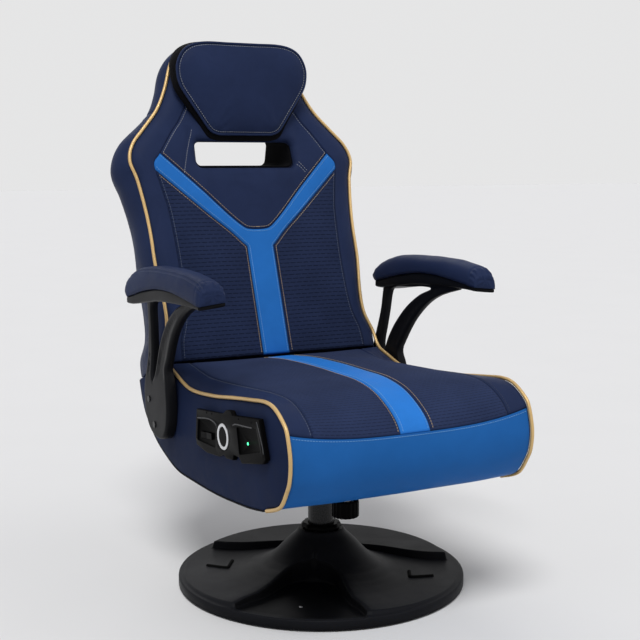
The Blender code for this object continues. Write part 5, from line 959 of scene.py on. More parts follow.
# Each row starts with a colour, or the setting that holds it, and how much lighter it is made
FINISH_ROWS = (
    (leather, {                   # roughness, spread of tone, gloss, metallic
        "navy_leather": ("navy", 1, 0.44, 0.16, 0.035, 0.0),
        # a darker copy of the navy leather for the seat's sides: painted shade on the faces turned
        # from the light
        "side_leather": ("navy", 0.80, 0.48, 0.16, 0.012, 0.0),
        "blue_leather": ("blue", 1, 0.42, 0.10, 0.035, 0.0),
        # a darker copy of the blue leather for the seat's front: painted shade on the face turned
        # from the light
        "front_leather": ("blue", 0.72, 0.42, 0.08, 0.035, 0.0),
        # a lighter copy of the blue leather for the seat's stripe, which faces up: painted light
        "stripe_leather": ("blue", 1.32, 0.42, 0.10, 0.035, 0.0),
        "gold_leather": ("gold", 1, 0.34, 0.10, 0.5, 0.35)}),
    (open_mesh, {                 # colour of the dashes, their length, pitch of their rows
        "navy_mesh": ("mesh", 1, (0.004, 0.006, 0.016, 1), 0.0150, 0.0085),
        # a lighter copy of the mesh, with lighter dashes, for the seat, which faces up: painted
        # light
        "seat_weave": ("mesh", 1.35, (0.009, 0.013, 0.032, 1), 0.0100, 0.0064)}),
    (cloth, {                     # roughness, cords to a metre, sheen
        "black_knit": ((0.004, 0.004, 0.005), 1, 0.9, 600.0, 0.0),
        "black_felt": ((0.010, 0.010, 0.012), 1, 0.95, 90.0, 0.08),
        "lining": ((0.010, 0.012, 0.028), 1, 0.9, 260.0, 0.03),
        "tan_thread": ("thread", 1, *THREAD),
        "blue_thread": ((0.20, 0.42, 0.74), 1, *THREAD),
        "grey_thread": ((0.12, 0.145, 0.21), 1, *THREAD),
        "pale_thread": ((0.34, 0.36, 0.40), 1, *THREAD),
        "navy_thread": ((0.055, 0.070, 0.120), 1, *THREAD)}),
    (moulding, {                  # roughness, grains to a metre, strength of the grain, gloss
        "black_moulding": ("plastic", 1, 0.34, 1100.0, 0.35, 0.05),
        "base_plastic": ("plastic", 1.3, 0.42, 900.0, 0.5, 0.03),
        # a darker copy of the base's plastic for the recess: painted shade
        "recess_plastic": ("plastic", 0.5, 0.30, 900.0, 0.1, 0.02),
        "gloss_moulding": ((0.0022, 0.0022, 0.0025), 1, 0.22, 300.0, 0.05, 0.016),
        # near-black for the floors of the control panel's wells: painted shade
        "well_moulding": ((0.0008, 0.0008, 0.0009), 1, 0.30, 300.0, 0.05, 0.006),
        # a lighter moulding for the control panel's trims: painted highlights along its bevels
        "bevel_moulding": ((0.035, 0.037, 0.042), 1, 0.30, 300.0, 0.05, 0.3),
        # black rubber of the feet and bumper, darkened further to paint shade along the base's ribs
        "black_rubber": ((0.005, 0.005, 0.005), 1, 0.85, 700.0, 0.6, 0.03),
        "white_nylon": ((0.62, 0.60, 0.55), 1, 0.5, 600.0, 0.2, 0.4)}),
    (metal, {                     # roughness, metallic, gloss
        "black_paint": ((0.008, 0.008, 0.009), 1, 0.26, 0.0, 0.25),
        "zinc": ((0.50, 0.50, 0.52), 1, 0.34, 1.0, 0.5),
        "silver_plate": ((0.70, 0.71, 0.73), 1, 0.28, 1.0, 0.5)}))
NODE_FINISHES = {
    "black_rubber": ("foot_1", "foot_2", "foot_3", "foot_4", "tilt_bumper"),
    "black_paint": ("post_tube", "mechanism_body", "seat_plate", "arm_bolt_left_1",
                    "arm_bolt_left_2", "arm_bolt_right_1", "arm_bolt_right_2"),
    "gloss_moulding": ("post_collar", "tension_knob", "control_panel", "power_button",
                       "volume_key"),
    "white_nylon": ("spindle_bush", "thrust_bearing"),
    "zinc": ("spindle", "spindle_nut", "tilt_axle", "tension_spring", "tension_bolt",
             "seat_bolt_1", "seat_bolt_2", "seat_bolt_3", "seat_bolt_4"),
    "plywood": ("seat_board",), "lining": ("seat_foam", "back_foam"),
    "black_moulding": ("speaker_box",), "silver_plate": ("panel_ring",),
}


def make_plywood():
    """The wood of the seat board."""
    made = Finish("plywood", 0.7)
    grain = made.add("ShaderNodeTexWave", in_Vector=made.where["Object"], in_Scale=9.0,
                     in_Distortion=6.0, in_Detail=3.0).outputs["Fac"]
    made.paint(grain, (0.42, 0.27, 0.14, 1), (0.56, 0.38, 0.22, 1))
    made.bump(grain, strength=0.3, distance=0.0004)


def make_light():
    """The lit green plastic of the control panel's light."""
    made = Finish("green_light", 0.3, Emission_Strength=3.0)
    glow = made.noise(made.where["Object"], scale=300.0)
    made.paint(glow, (0.02, 0.6, 0.2, 1), (0.05, 0.9, 0.35, 1))
    made.paint(glow, (0.02, 0.7, 0.22, 1), (0.1, 1.0, 0.4, 1), "Emission Color")


def make_finishes(colours):
    """Make the patterns and finishes, and dress the solids that stay in view."""
    for build in (leather_grain, mesh_weave, moulded_grain, rib_knit):
        GROUPS[build.__name__] = build()
    for build, rows in FINISH_ROWS:
        for name, (source, tone, *rest) in rows.items():
            colour = getattr(colours, source) if isinstance(source, str) else source
            build(name, toned(colour, tone), *rest)
    make_plywood()
    make_light()
    for finish, nodes in NODE_FINISHES.items():
        for node in nodes:
            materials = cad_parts[node].data.materials
            materials.clear()
            materials.append(FINISHES[finish])


# Stitches

# The topstitches' lines, kept until every panel is made
THREADS = {"tan_thread": [], "blue_thread": [], "grey_thread": [], "navy_thread": [],
           "pale_thread": []}


def stitch_tree():
    """Geometry nodes that lay one rounded stitch at each step of a line."""
    tree = bpy.data.node_groups.new("Stitches", "GeometryNodeTree")
    for label, kind, value in (("Seam", "Geometry", None), ("Spacing", "Float", 0.005),
                               ("Length", "Float", 0.0040), ("Radius", "Float", 0.00065),
                               ("Thread", "Material", None)):
        socket = tree.interface.new_socket(label, in_out="INPUT", socket_type="NodeSocket" + kind)
        if value is not None:
            socket.default_value = value
    tree.interface.new_socket("Stitches", in_out="OUTPUT", socket_type="NodeSocketGeometry")
    n = Nodes(tree)
    given = n.add("NodeGroupInput").outputs
    line = n.add("GeometryNodeMeshToCurve", in_0=given["Seam"]).outputs[0]
    even = n.add("GeometryNodeResampleCurve", mode="LENGTH", in_Curve=line,
                 in_Length=given["Spacing"])
    bead = n.add("GeometryNodeMeshUVSphere", in_Segments=6, in_Rings=4, in_Radius=1.0)
    size = n.add("ShaderNodeCombineXYZ", in_X=given["Radius"], in_Y=given["Radius"],
                 in_Z=n.times(given["Length"], 0.5))
    turn = n.add("FunctionNodeAlignRotationToVector", axis="Z",
                 in_Vector=n.add("GeometryNodeInputTangent").outputs[0])
    laid = n.add("GeometryNodeInstanceOnPoints", in_Points=even.outputs[0],
                 in_Instance=bead.outputs["Mesh"], in_Rotation=turn.outputs[0],
                 in_Scale=size.outputs[0])
    real = n.add("GeometryNodeRealizeInstances", in_0=laid.outputs[0])
    worn = n.add("GeometryNodeSetMaterial", in_Geometry=real.outputs[0],
                 in_Material=given["Thread"])
    n.put(worn.outputs[0], n.add("NodeGroupOutput").inputs[0])
    return tree


def sew(name, paths, tree, thread, body="seat", **values):
    """Stitches along paths, as one plain mesh."""
    points = []
    edges = []
    for path in paths:
        start = len(points)
        points += [tuple(p) for p in path]
        edges += [(start + i, start + i + 1) for i in range(len(path) - 1)]
    mesh = bpy.data.meshes.new(name + "_seams")
    mesh.from_pydata(points, edges, [])
    seams = add_object(name + "_seams", mesh)
    modifier = seams.modifiers.new("Stitches", "NODES")
    modifier.node_group = tree
    values["Thread"] = FINISHES[thread]
    for item in tree.interface.items_tree:
        if item.name in values:
            modifier[item.identifier] = values[item.name]
    bpy.context.view_layer.update()
    worn = seams.evaluated_get(bpy.context.evaluated_depsgraph_get())
    made = add_object(name, bpy.data.meshes.new_from_object(worn))
    bpy.data.objects.remove(seams)
    made.data.shade_smooth()
    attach(made, body)
    return made


def surface(*pieces):
    """A search tree over pieces as they stand."""
    points = []
    faces = []
    for piece in pieces:
        start = len(points)
        points += [v.co.copy() for v in piece.data.vertices]
        faces += [[start + i for i in f.vertices] for f in piece.data.polygons]
    return BVHTree.FromPolygons(points, faces)


def settle(points, tree, lift):
    """Points laid on a piece's skin, a little above it."""
    laid = []
    for point in points:
        place, normal, _, _ = tree.find_nearest(Vector(point))
        laid.append(place + normal * lift)
    return laid


def ring_lines(loops):
    """Lines at the topstitches' distance inside an outline, broken where they would cross."""
    lines = []
    for loop in loops:
        normal = left_of(loop_way(loop))
        best = []
        for sign in (1, -1):
            points = loop + normal * STITCH_EDGE * sign
            clear = distance_to(points, loops) > STITCH_CLEAR * STITCH_EDGE
            good = inside(points, loops) & clear
            if good.sum() > (best[1].sum() if best else 0):
                best = [points, good]
        if best:
            points, good = best
            lines += unbroken(np.concatenate([points, points[:1]]), np.append(good, good[0]))
    return lines


def topstitch(piece, loops, place, height, seams):
    """Keep a panel's topstitches, settled on its finished skin.

    seams holds each thread with the line of the seam that it follows.
    """
    loops = [resample(loop, STITCH_STEP) for loop in loops]
    tree = surface(piece)
    for line in ring_lines(loops):
        for thread, seam in seams:
            near = distance_to(line, [seam], False) < STITCH_NEAR * STITCH_EDGE
            for part in unbroken(line, near):
                points = place(part, np.full(len(part), height))
                THREADS[thread].append(settle(points, tree, STITCH_LIFT))


def unbroken(line, kept):
    """The runs of a line that are kept."""
    parts = []
    run = []
    for point, good in zip(line, kept):
        if good:
            run.append(point)
        elif run:
            parts.append(np.array(run))
            run = []
    parts.append(np.array(run))
    return [part for part in parts if len(part) > SHORTEST_SEAM]


# Cloth


def puff(piece, pressure, most):
    """Let the cloth solver fill a panel that is held at its seams, and keep its swelling."""
    mesh = piece.data
    count = len(mesh.vertices)
    before = np.zeros(count * 3)
    mesh.vertices.foreach_get("co", before)
    before = before.reshape(-1, 3)
    modifier = piece.modifiers.new("fill", "CLOTH")
    for key, value in CLOTH.items():
        setattr(modifier.settings, key, value)
    modifier.settings.uniform_pressure_force = pressure
    modifier.settings.effector_weights.gravity = 0
    modifier.collision_settings.use_collision = False
    modifier.point_cache.frame_start = 1
    modifier.point_cache.frame_end = CLOTH_FRAMES
    for number in range(1, CLOTH_FRAMES + 1):
        SCENE.frame_set(number)
    worn = piece.evaluated_get(bpy.context.evaluated_depsgraph_get())
    after = np.zeros(count * 3)
    worn.data.vertices.foreach_get("co", after)
    moved = after.reshape(-1, 3) - before
    length = np.linalg.norm(moved, axis=1)[:, None]
    moved *= np.minimum(1, most / np.maximum(length, 1e-9))
    piece.modifiers.remove(modifier)
    SCENE.frame_set(1)
    mesh.vertices.foreach_set("co", (before + moved).ravel())
    mesh.update()


# Pieces


def crumple(points, skin, edge):
    """Small uneven swells of a skin, fading out at a seam."""
    amount, pitch = SWELLS[skin]
    return amount * flat_noise(points, pitch) * np.clip((edge - SWELL_START) / SWELL_RUN, 0, 1)


def panel(name, loops, place, rise, depth, step, replaced, material, seams, swelling,
          stitch_height=0.0):
    """A padded panel with its fill, its finish and its topstitching."""
    made = sheet_piece(name, loops, place, rise, depth, step)
    puff(made, *swelling)
    finish_piece(made, replaced, material, "seat")
    if seams:
        topstitch(made, loops, place, stitch_height, seams)
    return made


def rectangle(low_x, high_x, low_y, high_y):
    """A rectangular outline."""
    return np.array(((low_x, low_y), (high_x, low_y), (high_x, high_y), (low_x, high_y)))


def upright(x, low, high):
    """A straight seam along the seat or up the back."""
    return np.array(((x, low), (x, high)))


def make_seat_panels():
    """The bolsters, mesh inserts, middle stripe and front of the seat."""
    half = SEAM / 2
    inner = SEAT_HALF_WIDTH - SEAT_BAND_WIDTH
    outer = SEAT_HALF_WIDTH - PIPING_RADIUS
    end = run_at(SEAM_STATION)
    low = CREASE_ROOM

    def rise(points, edge):
        return rolled(edge) + crumple(points, "seat", edge)

    def mesh_rise(points, edge):
        full = SEAT_MESH_CROWN * ease(edge / SEAT_MESH_RUN)
        return rolled(edge) + full + crumple(points, "seat_mesh", edge)

    for side, label in SIDES:
        band = rectangle(side * (inner + half), side * outer, low, end - half)
        thread = "grey_thread" if side < 0 else "navy_thread"
        panel("seat_bolster_" + label, [band], seat_place, rise, SKIN, LEATHER_STEP,
              ["seat_band_" + label], "navy_leather",
              [(thread, upright(side * inner, low, end))], FULL)
        insert = rectangle(side * (STRIPE_HALF_WIDTH + half), side * (inner - half), low,
                           end - half)
        # the seat's inserts wear the lighter copy of the mesh as painted light
        panel("seat_mesh_" + label, [insert], seat_place, mesh_rise, SKIN, MESH_STEP,
              ["seat_insert_" + label], "seat_weave",
              [("tan_thread", upright(side * STRIPE_HALF_WIDTH, low, end))], FULL)
    bar = rectangle(-STRIPE_HALF_WIDTH + half, STRIPE_HALF_WIDTH - half, low, end - half)
    seams = [("blue_thread", upright(x, low, end)) for x in (-STRIPE_HALF_WIDTH, STRIPE_HALF_WIDTH)]
    # the stripe wears the lighter copy of the blue leather as painted light
    panel("seat_bar", [bar], seat_place, rise, SKIN, LEATHER_STEP,
          ["seat_stripe"], "stripe_leather", seams, FULL)
    front = rectangle(-outer, outer, end + half, SEAT_RUN[-1] - 0.001)
    # the front wears the darker copy of the blue leather as painted shade
    panel("seat_front", [front], seat_place, rise, SKIN, MESH_STEP,
          ["front_panel"], "front_leather",
          [("blue_thread", np.array([(-outer, end), (outer, end)]))], FULL)


def inset_loop(points, distances):
    """A closed outline with each point moved inwards by its own distance."""
    x, y = points[:, 0], points[:, 1]
    area = (x * np.roll(y, -1) - np.roll(x, -1) * y).sum()
    normal = left_of(loop_way(points))
    return points + normal * np.sign(area) * np.asarray(distances)[:, None]


def back_notch():
    """The rear foot of the back, in (y, z)."""
    return (BACK_ORIGIN - BACK_AHEAD * BACK_DEPTH)[1:]


def side_loop():
    """The side panel's outline in (y, z)."""
    top = SEAT_EDGE[::10]
    lower = seat_line(LOWER_SHARES, 120)[1:]
    notch = back_notch()
    start = (BACK_ORIGIN - BACK_AHEAD * (PIPING_RADIUS + SEAM))[1:]
    closing = np.array([notch + (start - notch) * share for share in (0, 0.33, 0.66)])
    points = np.concatenate([top[:-1], lower, closing])
    distances = np.concatenate([np.full(len(top) - 1, PIPING_TUCK),
                                np.full(len(lower), LOWER_INSET),
                                np.full(len(closing), CLOSING_INSET)])
    return inset_loop(points, distances)


def make_side_panels():
    """The padded leather on the seat's two sides."""
    outline = side_loop()

    def rise(points, edge):
        swell = crown(SIDE_BULGE, edge, SIDE_RUN, SIDE_POWER)
        return swell + rolled(edge, SIDE_SINK) + crumple(points, "side", edge)

    for side, label in SIDES:
        def place(points, height, side=side):
            x = side * (SEAT_HALF_WIDTH + np.asarray(height))
            return np.stack([x, points[:, 0], points[:, 1]], 1)

        # the sides wear the darker copy of the navy leather as painted shade
        panel("seat_side_" + label, [outline], place, rise, SIDE_DEPTH, BROAD_STEP,
              ["side_panel_" + label], "side_leather", (), SLIGHT)


def piping_points(side):
    """The cord's line on one side, up the seat's edge and round the back to its top."""
    seat = seat_line(SEAT_EDGE_SHARES, len(SEAT_EDGE_SHARES) - 1)
    rows = [(SEAT_HALF_WIDTH, y, z) for y, z in seat[::-1]]
    for u, v in BACK_OUTLINE_SHARES[1:]:
        flat = np.array([[max(u * BACK_HALF_WIDTH, SEAM), v * BACK_LENGTH]])
        rows.append(tuple(back_place(flat, [0])[0]))
    return dense(smooth_line(rows, 900), PIPING_STEP) * (side, 1, 1)


def make_piping(settings):
    """The gold cord round seat and back, in two halves."""
    for side, label in SIDES:
        rings = tube_points(piping_points(side), settings.piping_radius, 14)
        cord = loft_piece("piping_cord_" + label, rings)
        finish_piece(cord, ["piping_" + label], "gold_leather")


def fork_lines():
    """The Y's lower and upper lines on the left half, from the bands to the middle."""
    size = (BACK_HALF_WIDTH, BACK_LENGTH)
    fork = (STRIPE_HALF_WIDTH / BACK_HALF_WIDTH, STRIPE_FORK_SHARE)
    middle = (0, STRIPE_UPPER_SHARES[-1][1] - FORK_DIP)
    lower = [INNER_SEAM_SHARES[STRIPE_LOW_STATION], *STRIPE_LOWER_SHARES, fork]
    upper = [INNER_SEAM_SHARES[STRIPE_HIGH_STATION], *STRIPE_UPPER_SHARES, middle]
    return [smooth_line(rows, FORK_STEPS) * size for rows in (lower, upper)]


def band_part(first, last):
    """Part of the inner seam, between two of its stations."""
    line = back_line(INNER_SEAM_SHARES, TOP_STATION * STATION_STEPS)
    return line[first * STATION_STEPS:last * STATION_STEPS + 1]


def slot_loop(ahead_of, grow):
    """The slot's rounded outline, on a surface whose distance ahead is a function of v."""
    half = SLOT_HALF_WIDTH + grow
    tall = SLOT_HEIGHT / 2 + grow
    corner = SLOT_CORNER + grow
    made = []
    for a, b, start in ((1, 1, 0), (-1, 1, 1), (-1, -1, 2), (1, -1, 3)):
        for i in range(SLOT_CORNER_STEPS + 1):
            turn = (start + i / SLOT_CORNER_STEPS) * pi / 2
            x = a * (half - corner) + corner * cos(turn)
            z = BACK_ORIGIN[2] + SLOT_MIDDLE + (b * (tall - corner) + corner * sin(turn))
            v = SLOT_MIDDLE
            for _ in range(SLOT_ROUNDS):
                v = (z - BACK_ORIGIN[2] - BACK_AHEAD[2] * ahead_of(v)) / BACK_UP[2]
            y = BACK_ORIGIN[1] + BACK_UP[1] * v + BACK_AHEAD[1] * ahead_of(v)
            run = y - BACK_ORIGIN[1] - LEAN * SLOT_MIDDLE
            made.append((x * (1 - SLOT_TAPER * run), v, y, z))
    return np.array(made)


def back_rise(skin):
    """The height of a skin over the back's plane."""
    def rise(points, edge):
        return BACK_CROWN + rolled(edge) + crumple(points, skin, edge)
    return rise


def make_back_sides(lower):
    """The mesh inserts and the bolsters beside them."""
    half = SEAM / 2
    outside = inset_loop_open(back_line(BACK_OUTLINE_SHARES, TOP_STATION * STATION_STEPS),
                              PIPING_TUCK)
    inner = band_part(0, TOP_STATION)
    for side, label in SIDES:
        insert = np.concatenate([[(STRIPE_HALF_WIDTH + half, BACK_ROOM)],
                                 band_part(0, STRIPE_LOW_STATION), lower[1:]])
        insert[:, 1] = np.maximum(insert[:, 1], BACK_ROOM)
        insert = inset_loop(insert, np.full(len(insert), half)) * (side, 1)
        stem = np.concatenate([lower, [(STRIPE_HALF_WIDTH, BACK_ROOM)]])
        seams = [("tan_thread", stem * (side, 1)),
                 ("grey_thread", band_part(0, STRIPE_LOW_STATION) * (side, 1))]
        panel("back_mesh_" + label, [insert], back_place, back_rise("back_mesh"), BACK_BED,
              MESH_STEP, ["back_insert_" + label], "navy_mesh", seams, FULL,
              stitch_height=BACK_CROWN)
        ring = np.concatenate([inner, outside[::-1]])
        ring = np.maximum(ring, (half, BACK_ROOM))

        def rise(points, edge, seam_line=inner * (side, 1), edge_line=outside * (side, 1)):
            near = distance_to(points, [seam_line], False)
            far = distance_to(points, [edge_line], False)
            share = near / np.maximum(near + far, 1e-6)
            return (BACK_CROWN * (1 - share ** 3) + rolled(edge, BOLSTER_SINK)
                    + crumple(points, "bolster", edge))

        panel("back_bolster_" + label, [ring * (side, 1)], back_place, rise, BACK_BED,
              LEATHER_STEP, ["back_band_" + label], "navy_leather", (), SLIGHT)


def make_fork(lower, upper):
    """The blue Y."""
    right = np.concatenate([[(STRIPE_HALF_WIDTH - SEAM / 2, BACK_ROOM)], lower[::-1],
                            band_part(STRIPE_LOW_STATION, STRIPE_HIGH_STATION)[1:], upper[1:]])
    fork = np.concatenate([right[:-1], mirrored(right[:-1])])
    edges = [np.concatenate([lower, [(STRIPE_HALF_WIDTH, BACK_ROOM)]]), upper]
    panel("back_fork", [fork], back_place, back_rise("fork"), BACK_BED, LEATHER_STEP,
          ["back_stripe"], "blue_leather",
          [("blue_thread", edge * (side, 1)) for edge in edges for side in (1, -1)], SLIGHT,
          stitch_height=BACK_CROWN)


def make_chest(upper):
    """The leather field round the slot, with its darts and folds."""
    band = band_part(STRIPE_HIGH_STATION, TOP_STATION)
    right = np.concatenate([upper[::-1], band[1:]])
    chest = np.concatenate([right, mirrored(right)[1:-1]])
    chest = inset_loop(chest, np.full(len(chest), SEAM / 2))
    mouth = slot_loop(lambda v: BACK_CROWN, -MOUTH_INSET)[:, :2]
    darts = [np.array(line) for line in CHEST_DARTS]
    folds = [np.array(CHEST_FOLD) * (side, 1) for side in (1, -1)]

    def rise(points, edge):
        near = distance_to(points, [mouth])
        roll = MOUTH_ROLL * rounded(near / MOUTH_ROLL)
        groove = DART_DEPTH * bell(distance_to(points, darts, False), DART_WIDTH)
        groove += FOLD_DEPTH * bell(distance_to(points, folds, False), FOLD_WIDTH)
        return (BACK_CROWN + rolled(np.where(near < edge + 1e-4, 1, edge)) - roll - groove
                + crumple(points, "chest", edge))

    seams = [(thread, line * (side, 1)) for thread, line in (("tan_thread", upper),
                                                             ("pale_thread", band))
             for side in (1, -1)]
    made = panel("chest_field", [chest, mouth], back_place, rise, BACK_BED, FINE_STEP,
                 ["chest_panel"], "navy_leather", seams, SLIGHT,
                 stitch_height=BACK_CROWN)
    tree = surface(made)
    for dart, signs in zip(darts, ((1,), (-1, 1))):
        line = dense(dart, STITCH_STEP)
        across = left_of(np.gradient(line, axis=0))
        for sign in signs:
            points = back_place(line + across * sign * DART_STITCH,
                                np.full(len(line), BACK_CROWN))
            THREADS["pale_thread"].append(settle(points, tree, STITCH_LIFT))


def make_back_panels():
    """The panels on the front of the back."""
    lower, upper = fork_lines()
    make_back_sides(lower)
    make_fork(lower, upper)
    make_chest(upper)


def inset_loop_open(line, distance):
    """An open half outline from the crease to the top's middle, moved inwards."""
    normal = left_of(np.gradient(line, axis=0))
    normal[-1] = (0, -1)
    normal[0] = (-1, 0)
    return line + normal * distance


def make_back_shell():
    """The leather side and top of the back, with its bulge and the darts at the shoulders."""
    half = back_line(BACK_OUTLINE_SHARES, SHELL_STEPS)
    half[:, 1] = np.maximum(half[:, 1], SEAM)
    out = -left_of(np.gradient(half, axis=0))
    out[0] = (1, 0)
    out[-1] = (0, 1)
    line = np.concatenate([half, mirrored(half)[1:]])
    normal = np.concatenate([out, mirrored(out)[1:]])
    shares = np.linspace(0, 1, SHELL_RINGS)
    rings = []
    for (u, v), (nx, ny) in zip(line, normal):
        deep = float(back_depth(v))
        bulge = BACK_BULGE * float(soft_at(BACK_BULGE_SHARES, v / BACK_LENGTH, CORNER_EASE))
        swell = bulge * np.sin(pi * shares ** 0.8) - BACK_SIDE_TUCK * shares ** 3
        roll = sum(np.exp(-(away * deep / SHELL_ROLL) ** 1.5) for away in (shares, 1 - shares))
        dart = (SHOULDER_DEPTH * bell(v - SHOULDER_DART, SHOULDER_WIDTH)
                * np.sin(pi * shares) ** 0.3)
        away = np.append(swell - SHELL_ROLL * roll - dart, (-BACK_SIDE_WALL, -BACK_SIDE_WALL))
        ahead = np.append(-SHELL_START - (deep - SHELL_START) * shares, (-deep, -SHELL_START))
        flat = np.stack([u + nx * away, v + ny * away], 1)
        points = back_place(flat, ahead)
        ripple = (SHELL_SWELL * noise_at(points, SHELL_PITCH)
                  * np.append(np.sin(pi * shares), (0, 0)))
        rings.append(points + ripple[:, None] * (nx * np.array((1, 0, 0)) + ny * BACK_UP))
    shell = loft_piece("back_wall", rings)
    finish_piece(shell, ["back_side"], "navy_leather", "seat")
    tree = surface(shell)
    deep = float(back_depth(SHOULDER_DART))
    for shift in (-SHOULDER_STITCH, SHOULDER_STITCH):
        u = float(np.interp(SHOULDER_DART + shift, half[:, 1], half[:, 0])) + SHOULDER_OUT
        for side in (1, -1):
            flat = np.tile((side * u, SHOULDER_DART + shift), (SHOULDER_POINTS, 1))
            ahead = np.linspace(-SHOULDER_ENDS[0], SHOULDER_ENDS[1] - deep, SHOULDER_POINTS)
            THREADS["grey_thread"].append(settle(back_place(flat, ahead), tree, SHOULDER_LIFT))


def make_rear_field():
    """The padded rear of the back, with the slot's opening."""
    half = inset_loop_open(back_line(BACK_OUTLINE_SHARES, SHELL_STEPS // 2), REAR_INSET)
    half[:, 1] = np.maximum(half[:, 1], SEAM)
    cover = np.concatenate([half, mirrored(half)[1:-1]])
    cut = slot_loop(lambda v: -float(back_depth(v)), -REAR_CUT_INSET)[:, :2]

    def place(points, height):
        return back_place(points, -back_depth(points[:, 1]) - REAR_PANEL / 2 - np.asarray(height))

    def rise(points, edge):
        width = np.interp(points[:, 1], half[:, 1], half[:, 0])
        share = np.clip(np.abs(points[:, 0]) / np.maximum(width, REAR_LEAST_WIDTH), 0, 1)
        return (REAR_CROWN * (1 - share ** 4) + rolled(edge, REAR_SINK)
                + crumple(points, "rear", edge))

    panel("rear_field", [cover, cut], place, rise, REAR_DEPTH, BROAD_STEP,
          ["rear_cover"], "navy_leather",
          [("navy_thread", half * (side, 1)) for side in (1, -1)], SLIGHT)


def make_slot_sleeve():
    """The black sleeve through the back, from the chest to the rear."""
    def mouth(ahead_of, grow):
        rows = slot_loop(ahead_of, grow - SLEEVE_INSET)
        return rows[:, [0, 2, 3]]

    def chest(v):
        return -BACK_BED

    def rear(v):
        return -float(back_depth(v)) - REAR_PANEL

    front, back = mouth(chest, 0), mouth(rear, 0)
    front_in, back_in = mouth(chest, -LINER_WALL), mouth(rear, -LINER_WALL)
    out, back_again = (np.linspace(0, 1, count) for count in SLEEVE_RINGS)
    rings = [front + (back - front) * s for s in out]
    rings += [back_in + (front_in - back_in) * s for s in back_again]
    liner = loft_piece("slot_sleeve", rings, closed=True)
    finish_piece(liner, ["slot_liner"], "black_knit")


def make_underside():
    """The thin black cloth under the seat, open round the seat plate."""
    line = seat_line(LOWER_SHARES, UNDER_STEPS)[UNDER_SKIPPED:]
    foot = line[-1]
    line = np.concatenate([line, [foot + (back_notch() - foot) * s for s in (0.3, 0.6, 0.88)]])
    run = run_along(line)
    out = -left_of(np.gradient(line, axis=0))

    def place(points, height):
        at, off = (points_at(points[:, 1], run, rows) for rows in (line, out))
        return np.concatenate([points[:, :1], at + off * np.asarray(height)[:, None]], 1)

    half = SEAT_HALF_WIDTH - UNDER_INSET
    plate_low, plate_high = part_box("seat_plate")
    ends = [float(np.interp(y, line[:200, 0], run[:200]))
            for y in (plate_low.y - PLATE_ROOM, plate_high.y + PLATE_ROOM)]
    whole = rectangle(-half, half, 0, run[-1])
    x = plate_high.x + PLATE_ROOM
    cut = rectangle(-x, x, *ends)

    def rise(points, edge):
        sag = UNDER_SAG * flat_noise(points, UNDER_PITCH)
        return UNDER_RISE + (sag - UNDER_DROP) * np.clip(edge / SWELL_RUN, 0, 1)

    cover = sheet_piece("underside_cloth", [whole, cut], place, rise, UNDER_DEPTH, UNDER_GRID)
    finish_piece(cover, ["underside_cover"], "black_felt")


def cleaned(node, name, merge, flat):
    """An object with a solid's own shape, its doubled points merged and its flats whole."""
    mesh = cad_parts[node].data.copy()
    bm = bmesh.new()
    bm.from_mesh(mesh)
    bmesh.ops.remove_doubles(bm, verts=bm.verts, dist=merge)
    bmesh.ops.dissolve_limit(bm, angle_limit=radians(flat), verts=bm.verts, edges=bm.edges)
    bm.to_mesh(mesh)
    bm.free()
    return add_object(name, mesh)


def make_cores():
    """The foam inside the seat and the back."""
    for node, name in (("seat_foam", "seat_core"), ("back_foam", "back_core")):
        core = cleaned(node, name, 1e-5, 1)
        bm = bmesh.new()
        bm.from_mesh(core.data)
        bmesh.ops.triangulate(bm, faces=bm.faces)
        bm.to_mesh(core.data)
        bm.free()
        finish_piece(core, [node], "lining", "seat")


def plane_y(z, ahead):
    """Where the back's plane, moved ahead, stands at a height."""
    return BACK_ORIGIN[1] + LEAN * (z - BACK_ORIGIN[2]) - ahead * BACK_SLOPE


